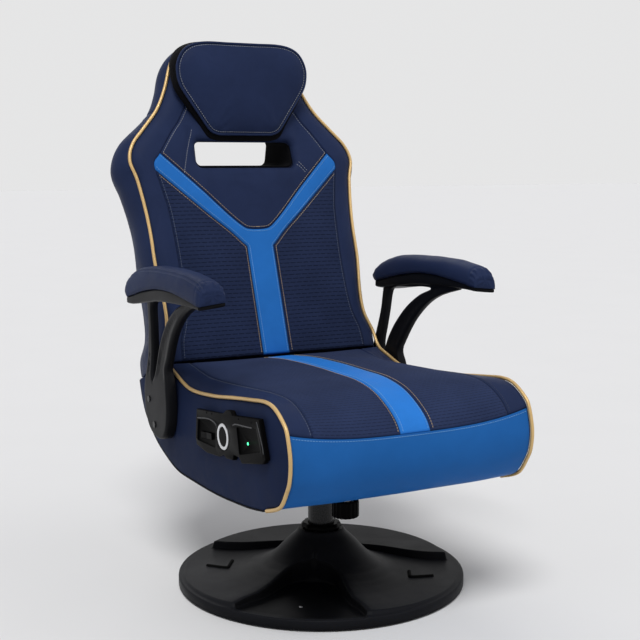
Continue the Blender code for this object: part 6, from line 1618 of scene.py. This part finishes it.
def make_pillow():
    """The head pillow: its padded face, the black wall behind it and the welt between them."""
    first, *rest = PILLOW_OUTLINE_SHARES
    right = np.concatenate([[first], smooth_line(rest, PILLOW_STEPS), [(0, 1.0)]])
    right = right * (PILLOW_HALF_WIDTH, PILLOW_HEIGHT)
    outline = np.concatenate([right, mirrored(right)[1:-1]])
    lift = BACK_ORIGIN[2] + PILLOW_LIFT
    foot = plane_y(lift, BACK_CROWN) - GAP - PILLOW_GUSSET

    def place(points, height):
        y = foot + PILLOW_LEAN * points[:, 1] - np.asarray(height)
        return np.stack([points[:, 0], y, lift + points[:, 1]], 1)

    def rise(points, edge):
        roll = PILLOW_FACE * (1 - np.exp(-edge / PILLOW_ROLL))
        full = crown(PILLOW_CROWN, edge, PILLOW_RUN, PILLOW_POWER)
        valley = PILLOW_VALLEY * bell(edge - PILLOW_VALLEY_EDGE, PILLOW_VALLEY_WIDTH)
        return roll + full - valley + crumple(points, "pillow", edge)

    panel("pillow_front", [outline], place, rise, PILLOW_DEPTH, FINE_STEP,
          ["pillow_face"], "navy_leather",
          [("pale_thread", np.concatenate([outline, outline[:1]]))], FULL, PILLOW_FACE)
    loop = resample(outline, PILLOW_EDGE_STEP)
    near = place(loop, np.full(len(loop), GUSSET_START))
    flat = -left_of(loop_way(loop))
    out = np.stack([flat[:, 0], np.zeros(len(loop)), flat[:, 1]], 1)
    swell = GUSSET_SWELL + GUSSET_FOOT_SWELL * ease(-out[:, 2])
    far = plane_y(near[:, 2], BACK_CROWN - PILLOW_PRESS)
    rings = []
    for share in np.linspace(0, 1, GUSSET_RINGS):
        ring = near.copy()
        ring[:, 1] = near[:, 1] + (far - near[:, 1]) * share
        rings.append(ring + out * (swell * sin(pi * share) ** 0.8)[:, None])
    gusset = loft_piece("pillow_wall", rings)
    finish_piece(gusset, ["pillow_gusset"], "black_knit")
    line = dense(np.concatenate([near, near[:1]]) - (0, WELT_BEHIND, 0), PILLOW_EDGE_STEP)
    welt = loft_piece("pillow_welt", tube_points(line, WELT_RADIUS, 10))
    finish_piece(welt, (), "navy_leather")


def arm_points(shares):
    """Rows of an arm's outline in (y, z)."""
    return np.array(shares) * (ARM_REAR, ARM_TOP - ARM_BOTTOM) + (0, ARM_BOTTOM)


def arm_lean(z):
    """How far an arm stands out at a height."""
    return ARM_LEAN * np.maximum(0, z - ARM_LEAN_START) / (ARM_TOP - ARM_LEAN_START)


def arm_thinning(z):
    """How much thinner than its foot an arm is at a height."""
    share = np.clip((z - ARM_THIN_START) / (ARM_THIN_END - ARM_THIN_START), 0, 1)
    return (ARM_THICKNESS - ARM_LEG_THICKNESS) * ease(share)


def pad_line(place, x=None):
    """The height of a pad's underside at a share of its length, tipped at x where it is given."""
    middle = SEAT_HALF_WIDTH + PAD_IN + PAD_WIDTH / 2
    roll = 0 if x is None else PAD_ROLL * (abs(x) - middle)
    drop = PAD_THICKNESS * float(soft_at(PAD_LOWER_SHARES, place, CORNER_EASE))
    return PAD_BOTTOM - drop - roll


def arm_loop():
    """An arm's outer outline in (y, z), closed inside the plate under its pad."""
    outline = smooth_line(arm_points(ARM_OUTLINE_SHARES), ARM_OUTLINE_STEPS)
    front = outline[-1, 0]
    rear = outline[0, 0]
    top = []
    for i in range(1, ARM_TOP_STEPS):
        y = front + (rear - front) * i / ARM_TOP_STEPS
        place = (PAD_BACK - y) / PAD_LENGTH
        top.append((y, pad_line(place) - ARM_PLATE * float(table_at(ARM_PLATE_SHARES, place)) / 2))
    return np.concatenate([outline, top])


def make_arms():
    """The arms: a moulding with a window and a sunk channel, a plate and a cushion on each side."""
    window = arm_points((*ARM_WINDOW_SHARES, ARM_WINDOW_SHARES[0]))
    window = smooth_line(window, ARM_WINDOW_STEPS)[:-1]
    loops = [resample(loop, ARM_STEP) for loop in (arm_loop(), window)]
    face, triangles, rings = fill(loops, ARM_GRID, ARM_ROWS)
    edge = distance_to(face, loops)
    high = face[:, 1]
    fillet = ARM_CORNER * rounded(edge / ARM_CORNER)
    channel = (CHANNEL_DEPTH * ease((edge - CHANNEL_EDGE) / CHANNEL_RUN)
               * ease((high - CHANNEL_OUTER_FOOT) / CHANNEL_FADE))
    lean = arm_lean(high)
    outer = (ARM_INNER + (ARM_THICKNESS - arm_thinning(high)) - fillet * OUTER_FILLET - channel
             + lean)
    inner = (ARM_INNER + fillet * INNER_FILLET
             + channel * INNER_CHANNEL * (high > CHANNEL_INNER_FOOT) + lean)
    count = len(face)
    faces = two_sided(triangles, triangles, count)
    for ring in rings:
        faces += wall(ring, [count + i for i in ring])
    for side, label in SIDES:
        points = np.concatenate([np.stack([side * x, *face.T], 1) for x in (outer, inner)])
        arm = mesh_object("arm_moulding_" + label, points, faces)
        finish_piece(arm, ["arm_frame_" + label], "black_moulding")
        make_arm_plate(side, label)
        make_arm_pad(side, label)


def make_arm_plate(side, label):
    """The curved plate under the pad, with rolled edges."""
    low = SEAT_HALF_WIDTH + PAD_IN + ARM_PLATE_INSET
    high = SEAT_HALF_WIDTH + PAD_IN + PAD_WIDTH - ARM_PLATE_INSET
    middle = (low + high) / 2
    half = (high - low) / 2
    rings = []
    for place in np.linspace(*PLATE_ENDS, PLATE_RINGS):
        y = PAD_BACK - PAD_LENGTH * place
        deep = ARM_PLATE * float(soft_at(ARM_PLATE_SHARES, place, CORNER_EASE))
        ring = []
        for i in range(PLATE_SIDES):
            turn = 2 * pi * i / PLATE_SIDES
            c, s = cos(turn), sin(turn)
            x = middle + half * np.sign(c) * abs(c) ** PLATE_SIDE_POWER
            drop = deep / 2 * (1 - np.sign(s) * abs(s) ** PLATE_TOP_POWER)
            ring.append((side * x, y, pad_line(place, x) + PLATE_OVERLAP - drop))
        rings.append(ring)
    plate = loft_piece("arm_plate_" + label, rings)
    finish_piece(plate, (), "black_moulding")


def pad_ring(side, share):
    """A ring of a pad's skin at a share of its length: over the top, then along the underside."""
    middle = SEAT_HALF_WIDTH + PAD_IN + PAD_WIDTH / 2
    y = PAD_BACK - PAD_LENGTH * share
    tall = PAD_THICKNESS * float(soft_at(PAD_UPPER_SHARES, share, PAD_END_EASE))
    ends = min(share, 1 - share)
    half = PAD_WIDTH / 2 * (1 - PAD_DRAW + PAD_DRAW * float(ease(ends / PAD_DRAW_RUN)))
    rear_tuck = PAD_TUCK * (1 - float(ease(share / PAD_TUCK_RUN)))
    ring = []
    for j in range(PAD_SIDES + 1):
        c, s = cos(pi * j / PAD_SIDES), sin(pi * j / PAD_SIDES)
        x = middle + half * np.sign(c) * abs(c) ** (2 / PAD_SECTION_POWER)
        up = tall * abs(s) ** (2 / PAD_SECTION_POWER) * (1 + PAD_TOP_ROLL * c)
        seam = PAD_SEAM * bell(j - PAD_SEAM_SIDE, PAD_SEAM_SIDES)
        gather = -PAD_CROSS_SEAM * bell(share - PAD_CROSS_PLACE, PAD_CROSS_WIDTH) * s
        for size, rate, shift, start, run in PAD_GATHERS:
            gather += size * sin(j * rate + shift) * float(ease((share - start) / run)) * s
        ripple = PAD_SWELL * float(noise_at(np.array([[side * x, y, up]]), PAD_PITCH)[0]) * s
        push = (ripple + gather - seam) * min(1, ends / PAD_END_FADE)
        level = min(1, up / tall)
        tuck = rear_tuck * ((1 - level) ** 1.5 - 0.9 * sin(pi * level))
        ring.append((side * (x + push * c), y - tuck, pad_line(share, x) + up + push * s))
    for j in range(1, PAD_UNDER_SIDES):
        x = middle - half + 2 * half * j / PAD_UNDER_SIDES
        ring.append((side * x, y - rear_tuck, pad_line(share, x) + PAD_CLEAR))
    return ring


def make_arm_pad(side, label):
    """The padded cushion of an arm, rounded at both ends and pleated in front."""
    rings = [pad_ring(side, (1 - cos(pi * k / PAD_RINGS)) / 2) for k in range(PAD_RINGS + 1)]
    crest = [ring[PAD_SEAM_SIDE] for ring in rings]
    for sign, bulge in PAD_BULGES:
        last = np.array(rings[-1] if sign < 0 else rings[0])
        centre = last.mean(0)
        for step in range(1, PAD_CAPS + 1):
            turn = step * pi / (2 * PAD_CAPS + 0.6)
            ring = centre + (last - centre) * cos(turn)
            ring[:, 1] += sign * bulge * sin(turn)
            if sign < 0:
                pleat = np.sin(ring[:, 0] * PAD_PLEAT_RATE) * sin(step * pi / (PAD_CAPS + 0.5))
                ring[:, 1] += sign * PAD_PLEAT * pleat
            rings.insert(len(rings) if sign < 0 else 0, ring)
    pad = loft_piece("arm_cushion_" + label, rings)
    around = PAD_SIDES + PAD_UNDER_SIDES
    seam = range(PAD_SEAM_SIDE - 1, PAD_SEAM_SIDE + 2)
    padded = range(PAD_CAPS + 1, len(rings) - PAD_CAPS - 1)
    hold(pad, [k * around + j for k in range(len(rings)) for j in range(around)
               if j in (0, *seam) or j >= PAD_SIDES or k not in padded])
    puff(pad, *PAD_FILL)
    finish_piece(pad, ["arm_pad_" + label], "navy_leather", "seat")
    tree = surface(pad)
    start, stop = PAD_STITCH_ENDS
    for sign in (-1, 1):
        out, up = (sign * PAD_STITCH * share for share in PAD_STITCH_WAY)
        line = [(x + side * out, y, z + up) for x, y, z in crest[start:stop]]
        THREADS["navy_thread"].append(settle(line, tree, PAD_STITCH_LIFT))


def refined(node, name, width, finish, body):
    """A hard piece's own shape with its edges broken and its flats merged."""
    made = cleaned(node, name, 2e-6, 0.5)
    modifier = made.modifiers.new("broken_edges", "BEVEL")
    modifier.width = width
    modifier.segments = 3
    modifier.limit_method = "ANGLE"
    modifier.angle_limit = radians(35)
    modifier.use_clamp_overlap = True
    made.data.shade_smooth()
    made.data.set_sharp_from_angle(angle=radians(50))
    finish_piece(made, [node], finish, body)
    return made


def dome_piece(name, centre, axis, radius, height, finish, body):
    """A small round cap on a face."""
    out = Vector(axis).normalized()
    side = out.orthogonal().normalized()
    up = out.cross(side)
    rings = []
    for share in (0.0, 0.25, 0.5, 0.75, 0.95):
        turn = share * pi / 2
        rings.append([Vector(centre) + out * height * sin(turn)
                      + (side * cos(a) + up * sin(a)) * radius * cos(turn)
                      for a in np.arange(20) * pi / 10])
    finish_piece(loft_piece(name, rings), (), finish, body)


def make_panel_trims():
    """Raised trims along the bevels in a lighter finish as painted highlights, screw wells and the
    small light of the control panel, laid on its face.
    """
    tree = surface(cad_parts["control_panel"])

    def on_face(y, z):
        return tree.ray_cast(Vector((-0.4, y, z)), Vector((1, 0, 0)))[0]

    # thin trims in the lighter finish: painted highlights along the bevels
    for number, line in enumerate(PANEL_HIGHLIGHT_LINES):
        path = [on_face(y, z) for y, z in dense(smooth_line(line, 24), 0.0015)]
        trim = loft_piece(f"panel_bevel_{number + 1}", tube_points(path, 0.0011, 10))
        finish_piece(trim, (), "bevel_moulding")
    for number, (y, z) in enumerate(PANEL_WELLS):
        dome_piece(f"panel_screw_{number + 1}", on_face(y, z), (-1, 0, 0), 0.0022, 0.0006,
                   "black_knit", "seat")
    dome_piece("panel_light", on_face(*PANEL_LIGHT), (-1, 0, 0), 0.0026, 0.0012,
               "green_light", "seat")


def make_coil_spring():
    """The tension spring: a coil with its head at the tray and its foot at the knob."""
    low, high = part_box("tension_spring")
    foot, head = low[2] + COIL_WIRE + COIL_ROOM, high[2] - COIL_WIRE - COIL_ROOM
    turns = np.linspace(0, 2 * pi * COIL_TURNS, 161)
    path = np.stack([COIL_RADIUS * np.cos(turns), COIL_Y + COIL_RADIUS * np.sin(turns),
                     np.linspace(foot, head, len(turns))], 1)
    coil = loft_piece("coil_spring", tube_points(path, COIL_WIRE, 10))
    finish_piece(coil, ["tension_spring"], "zinc", None)
    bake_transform(coil)


def make_hard_pieces():
    """The coil spring, and the moulded and pressed pieces with broken edges."""
    make_panel_trims()
    make_coil_spring()
    front = refined("control_panel", "panel_moulding", 0.0006, "gloss_moulding",
                    "seat")
    # the wells' floors get the near-black finish as painted shade
    front.data.materials.append(FINISHES["well_moulding"])
    for face in front.data.polygons:
        if face.normal.x < -0.5 and face.center.x > WELL_LIP - PANEL_X - PANEL_THICKNESS:
            face.material_index = 1
    refined("mechanism_body", "mechanism_tray", 0.0006, "black_paint", "swivel")
    refined("tension_knob", "knob_moulding", 0.0006, "gloss_moulding", "knob")
    refined("post_collar", "collar_moulding", 0.0008, "gloss_moulding", "base")
    refined("seat_plate", "seat_plate_steel", 0.0004, "black_paint", "seat")


# Base


def base_way(angle):
    """Directions on the base, at angles from the recess's middle."""
    turn = BASE_TURN - pi / 2 + angle
    return np.stack([np.cos(turn), np.sin(turn)], -1)


def recess_angle(radius):
    """Half the angle that the recess takes up at a radius."""
    run = max((radius - RECESS_APEX) / (BASE_RADIUS - RECESS_APEX), 0)
    half = RECESS_HALF_WIDTH * float(soft_at(RECESS_WIDTH_SHARES, run, 0.006))
    return max(asin(half / radius), 2 * RECESS_DRAFT / radius)


BASE_COLUMNS = (10, 5, 34, 5, 44)   # steps over the recess, its wall, cone, field's wall, field


def base_column_angles(radius):
    """Angles of a ring's points, both ways from the recess's middle to the rear."""
    near = recess_angle(radius)
    far = radians(float(soft_at(FIELD_EDGE_DEGREES, radius, 0.008)))
    lean = RECESS_DRAFT / radius
    marks = (0, near - lean * 0.9, near + lean * 0.3, far - lean * 0.2, far + lean, pi)
    parts = [np.linspace(a, b, n + 1)[:-1] for a, b, n in zip(marks, marks[1:], BASE_COLUMNS)]
    half = np.concatenate([*parts, [pi]])
    return np.concatenate([-half[-2:0:-1], half])


def base_heights(radius):
    """The height of the base's skin at each point of a ring."""
    recess, lip, cone, rise, _ = BASE_COLUMNS
    brink = recess + lip
    rings = np.array(BASE_RINGS)
    over = float(soft_at(rings[:, :2], radius, 0.0025))
    side = float(soft_at(rings[:, [0, 2]], radius, 0.0025))
    deep = min(over, float(soft_at(RECESS_FLOOR, radius, 0.0008)))
    swell = float(ease((radius - RIDGE_START) / RIDGE_RUN))
    along = float(ease((radius - FIELD_START) / 0.012)
                  * (1 - ease((radius - FIELD_END + 0.003) / 0.004)))
    half = []
    for i in range(sum(BASE_COLUMNS) + 1):
        wall_share = float(ease((i - recess) / lip))
        share = min(1, max(0, i - brink) / cone)
        skin = side + (over - side) * (1 - share) ** BASE_BLEND_POWER
        ridge = RIDGE * bell(i - brink - 1, RIDGE_COLUMNS) * swell
        field = float(ease((i - brink - cone) / rise))
        top = skin + max(FIELD_TOP - skin, 0) * field * along
        if i <= brink + 8:
            top += HOOD * bell(radius - HOOD_RADIUS, HOOD_RUN) * np.exp(-(i / HOOD_COLUMNS) ** 4)
        half.append(deep + (top + ridge - deep) * wall_share if radius > RECESS_APEX
                    else top + ridge * wall_share)
    return np.concatenate([half[-2:0:-1], half])


def drop_to(tree, x, y):
    """The point of a skin straight below (x, y)."""
    return tree.ray_cast(Vector((x, y, 0.3)), Vector((0, 0, -1)))[0]


def make_base():
    """The moulded base with its recess, fields, ribs and screw."""
    def ring_at(radius, angles, height):
        return np.concatenate([base_way(angles) * radius, np.reshape(height, (-1, 1))], 1)

    radii = np.unique(np.concatenate([np.linspace(*stretch) for stretch in BASE_STRETCHES]))
    rings = [ring_at(radius, base_column_angles(radius), base_heights(radius)) for radius in radii]
    angles = base_column_angles(BASE_RADIUS)
    edge = base_heights(BASE_RADIUS)
    for turn in np.linspace(0, pi / 2, 5):
        rings.append(ring_at(BASE_RADIUS - RIM_EDGE + RIM_EDGE * sin(turn), angles,
                             edge - RIM_EDGE * (1 - cos(turn))))
    for radius, height in BASE_INSIDE:
        rings.append(ring_at(radius, angles, np.full(len(angles), BASE_LIFT + height)))
    shell = loft_piece("base_moulding", rings, closed=True)
    finish_piece(shell, ["base_shell"], "base_plastic", "base")
    # the recess's faces get the darker copy of the plastic as painted shade
    shell.data.materials.append(FINISHES["recess_plastic"])
    middle = sum(BASE_COLUMNS) - 1
    reach = BASE_COLUMNS[0] + BASE_COLUMNS[1]
    for i, radius in enumerate(radii):
        if RECESS_APEX - 0.0006 < radius < BASE_RADIUS - 0.012:
            for j in range(-reach, reach):
                shell.data.polygons[i * len(angles) + middle + j].material_index = 1
    tree = surface(shell)
    for number, line in enumerate(BASE_RIBS):
        path = [(x, y, drop_to(tree, x, y).z + 0.0002) for x, y in dense(line, 0.004)]
        rib = loft_piece(f"base_rib_{number + 1}", tube_points(path, 0.0036, 12))
        # the ribs get the darkest rubber finish: painted shade along their walls
        finish_piece(rib, (), "black_rubber", "base")
    dome_piece("base_screw", drop_to(tree, *BASE_SCREW), (0, 0, 1), 0.0032, 0.0016,
               "zinc", "base")


# Stage


def lamp(name, place, spread, power):
    """A broad, even light from a direction."""
    data = bpy.data.lights.new(name, "SUN")
    data.angle = spread
    data.energy = power
    made = add_object(name, data)
    made.location = place
    made.rotation_euler = (-Vector(place)).to_track_quat("-Z", "Y").to_euler()


LAMPS = (("key_lamp", (-1.0, -1.5, 3.0), radians(24), 1.9),
         ("side_lamp", (2.4, -1.2, 1.6), radians(40), 0.3),
         ("rim_lamp", (0.4, 2.2, 2.0), radians(30), 0.5))
FLOOR_REACH = 30
FLOOR_GREYS = ((0.77, 0.77, 0.77, 1), (0.79, 0.79, 0.79, 1))
SKY_LIGHT, SKY_SEEN = (0.34, 0.34, 0.355, 1), (0.787, 0.787, 0.790, 1)
CAMERA_PLACE = (-1.0984, -2.0460, 0.8226)
CAMERA_WAY = (0.4677, 0.8731, -0.1376)
CAMERA_SHIFT = 0.013


def make_stage(settings):
    """The floor, the lamps, the background and the camera."""
    flat = rectangle(-FLOOR_REACH, FLOOR_REACH, -FLOOR_REACH, FLOOR_REACH)
    floor = mesh_object("floor", [(*corner, 0) for corner in flat], ((0, 1, 2, 3),))
    paint = Finish("floor_paint", 0.9, Specular_IOR_Level=0.0)
    paint.paint(paint.noise(paint.where["Object"], scale=3.0, detail=3.0), *FLOOR_GREYS)
    floor.data.materials.append(FINISHES["floor_paint"])
    for row in LAMPS:
        lamp(*row)
    world = bpy.data.worlds.new("studio")
    world.use_nodes = True
    n = Nodes(world.node_tree)
    path = n.add("ShaderNodeLightPath").outputs
    seen = n.math("MAXIMUM", n.math("MAXIMUM", path["Is Camera Ray"], path["Is Glossy Ray"]),
                  path["Is Transmission Ray"])
    back = world.node_tree.nodes["Background"]
    n.put(n.mix(seen, SKY_LIGHT, SKY_SEEN), back.inputs["Color"])
    SCENE.world = world
    SCENE.view_settings.view_transform = "Standard"
    data = bpy.data.cameras.new("camera")
    data.lens = settings.lens
    data.shift_y = CAMERA_SHIFT
    camera = add_object("camera", data)
    camera.location = CAMERA_PLACE
    camera.rotation_euler = Vector(CAMERA_WAY).to_track_quat("-Z", "Y").to_euler()
    SCENE.camera = camera


def make_stitches(settings):
    """Sew every line that the panels kept, one piece to a thread."""
    tree = stitch_tree()
    for thread, paths in THREADS.items():
        if paths:
            made = sew("stitches_" + thread, paths, tree, thread, "seat",
                       Spacing=settings.stitch_spacing)


# Add-on


def swatch(name, description, value):
    """A colour setting."""
    return bpy.props.FloatVectorProperty(name=name, description=description, default=value, size=4,
                                         subtype="COLOR", min=0, max=1)


class ChairSettings(bpy.types.PropertyGroup):
    """Colours and sizes that the steps use"""

    navy: swatch("Navy leather", "Colour of the dark leather", (0.018, 0.028, 0.072, 1))
    blue: swatch("Blue leather", "Colour of the stripe and the front", (0.021, 0.152, 0.490, 1))
    gold: swatch("Gold leather", "Colour of the piping", (0.640, 0.430, 0.180, 1))
    mesh: swatch("Mesh", "Colour of the woven inserts", (0.017, 0.026, 0.064, 1))
    thread: swatch("Tan thread", "Colour of the seams' topstitching", (0.58, 0.44, 0.27, 1))
    plastic: swatch("Plastic", "Colour of the arms and the base", (0.008, 0.0083, 0.010, 1))
    stitch_spacing: bpy.props.FloatProperty(
        name="Stitch spacing", description="Distance from stitch to stitch", default=0.0052,
        min=0.003, max=0.02, unit="LENGTH")
    piping_radius: bpy.props.FloatProperty(
        name="Piping radius", description="Half the thickness of the gold cord", default=0.0034,
        min=0.001, max=PIPING_RADIUS, unit="LENGTH")
    lens: bpy.props.FloatProperty(
        name="Lens", description="Focal length of the camera", default=68.5, min=20, max=200,
        unit="CAMERA")


class CHAIR_OT_finishes(bpy.types.Operator):
    """Make the leather, mesh, thread, moulding and metal materials"""
    bl_idname = "chair.finishes"
    bl_label = "Finishes"

    def execute(self, context):
        make_finishes(context.scene.chair)
        return {"FINISHED"}


class CHAIR_OT_base(bpy.types.Operator):
    """Make the moulded base with its recess, fields, ribs and screw"""
    bl_idname = "chair.base"
    bl_label = "Base"

    def execute(self, context):
        make_base()
        return {"FINISHED"}


class CHAIR_OT_hard_pieces(bpy.types.Operator):
    """Make the control panel, tray, knob, collar and plate with broken edges"""
    bl_idname = "chair.hard_pieces"
    bl_label = "Hard pieces"

    def execute(self, context):
        make_hard_pieces()
        return {"FINISHED"}


class CHAIR_OT_cores(bpy.types.Operator):
    """Make the foam inside the seat and the back"""
    bl_idname = "chair.cores"
    bl_label = "Foam cores"

    def execute(self, context):
        make_cores()
        return {"FINISHED"}


class CHAIR_OT_seat_panels(bpy.types.Operator):
    """Make the seat's bolsters, mesh inserts, stripe and front"""
    bl_idname = "chair.seat_panels"
    bl_label = "Seat panels"

    def execute(self, context):
        make_seat_panels()
        return {"FINISHED"}


class CHAIR_OT_side_panels(bpy.types.Operator):
    """Make the seat's padded leather sides"""
    bl_idname = "chair.side_panels"
    bl_label = "Side panels"

    def execute(self, context):
        make_side_panels()
        return {"FINISHED"}


class CHAIR_OT_piping(bpy.types.Operator):
    """Lay the gold piping round seat and back"""
    bl_idname = "chair.piping"
    bl_label = "Piping"

    def execute(self, context):
        make_piping(context.scene.chair)
        return {"FINISHED"}


class CHAIR_OT_back_panels(bpy.types.Operator):
    """Make the back's mesh inserts, fork, chest and bolsters"""
    bl_idname = "chair.back_panels"
    bl_label = "Back panels"

    def execute(self, context):
        make_back_panels()
        return {"FINISHED"}


class CHAIR_OT_back_shell(bpy.types.Operator):
    """Make the back's padded sides, its rear and the slot's sleeve"""
    bl_idname = "chair.back_shell"
    bl_label = "Back shell"

    def execute(self, context):
        make_back_shell()
        make_rear_field()
        make_slot_sleeve()
        return {"FINISHED"}


class CHAIR_OT_underside(bpy.types.Operator):
    """Stretch the black cloth under the seat"""
    bl_idname = "chair.underside"
    bl_label = "Underside"

    def execute(self, context):
        make_underside()
        return {"FINISHED"}


class CHAIR_OT_pillow(bpy.types.Operator):
    """Make the head pillow with its wall and welt"""
    bl_idname = "chair.pillow"
    bl_label = "Pillow"

    def execute(self, context):
        make_pillow()
        return {"FINISHED"}


class CHAIR_OT_arms(bpy.types.Operator):
    """Make the arm mouldings, plates and cushions"""
    bl_idname = "chair.arms"
    bl_label = "Arms"

    def execute(self, context):
        make_arms()
        return {"FINISHED"}


class CHAIR_OT_stitches(bpy.types.Operator):
    """Sew all topstitching along its seams"""
    bl_idname = "chair.stitches"
    bl_label = "Stitches"

    def execute(self, context):
        make_stitches(context.scene.chair)
        return {"FINISHED"}


class CHAIR_OT_stage(bpy.types.Operator):
    """Set out the floor, lamps, background and camera"""
    bl_idname = "chair.stage"
    bl_label = "Stage"

    def execute(self, context):
        make_stage(context.scene.chair)
        return {"FINISHED"}


OPERATORS = (CHAIR_OT_finishes, CHAIR_OT_base, CHAIR_OT_hard_pieces, CHAIR_OT_cores,
             CHAIR_OT_seat_panels, CHAIR_OT_side_panels, CHAIR_OT_piping, CHAIR_OT_back_panels,
             CHAIR_OT_back_shell, CHAIR_OT_underside, CHAIR_OT_pillow, CHAIR_OT_arms,
             CHAIR_OT_stitches, CHAIR_OT_stage)


class CHAIR_PT_steps(bpy.types.Panel):
    """Sizes and colours of the chair, and its steps in order"""
    bl_label = "Chair"
    bl_space_type = "VIEW_3D"
    bl_region_type = "UI"
    bl_category = "Chair"

    def draw(self, context):
        for name in ChairSettings.__annotations__:
            self.layout.prop(context.scene.chair, name)
        for item in OPERATORS:
            self.layout.operator(item.bl_idname)


def register():
    for item in (ChairSettings, *OPERATORS, CHAIR_PT_steps):
        bpy.utils.register_class(item)
    bpy.types.Scene.chair = bpy.props.PointerProperty(type=ChairSettings)


def unregister():
    del bpy.types.Scene.chair
    for item in (CHAIR_PT_steps, *reversed(OPERATORS), ChairSettings):
        bpy.utils.unregister_class(item)


def main():
    """Run the steps in order."""
    register()
    bpy.ops.chair.finishes()
    bpy.ops.chair.base()
    bpy.ops.chair.hard_pieces()
    bpy.ops.chair.cores()
    bpy.ops.chair.seat_panels()
    bpy.ops.chair.side_panels()
    bpy.ops.chair.piping()
    bpy.ops.chair.back_panels()
    bpy.ops.chair.back_shell()
    bpy.ops.chair.underside()
    bpy.ops.chair.pillow()
    bpy.ops.chair.arms()
    bpy.ops.chair.stitches()
    bpy.ops.chair.stage()


if __name__ == "__main__":
    main()
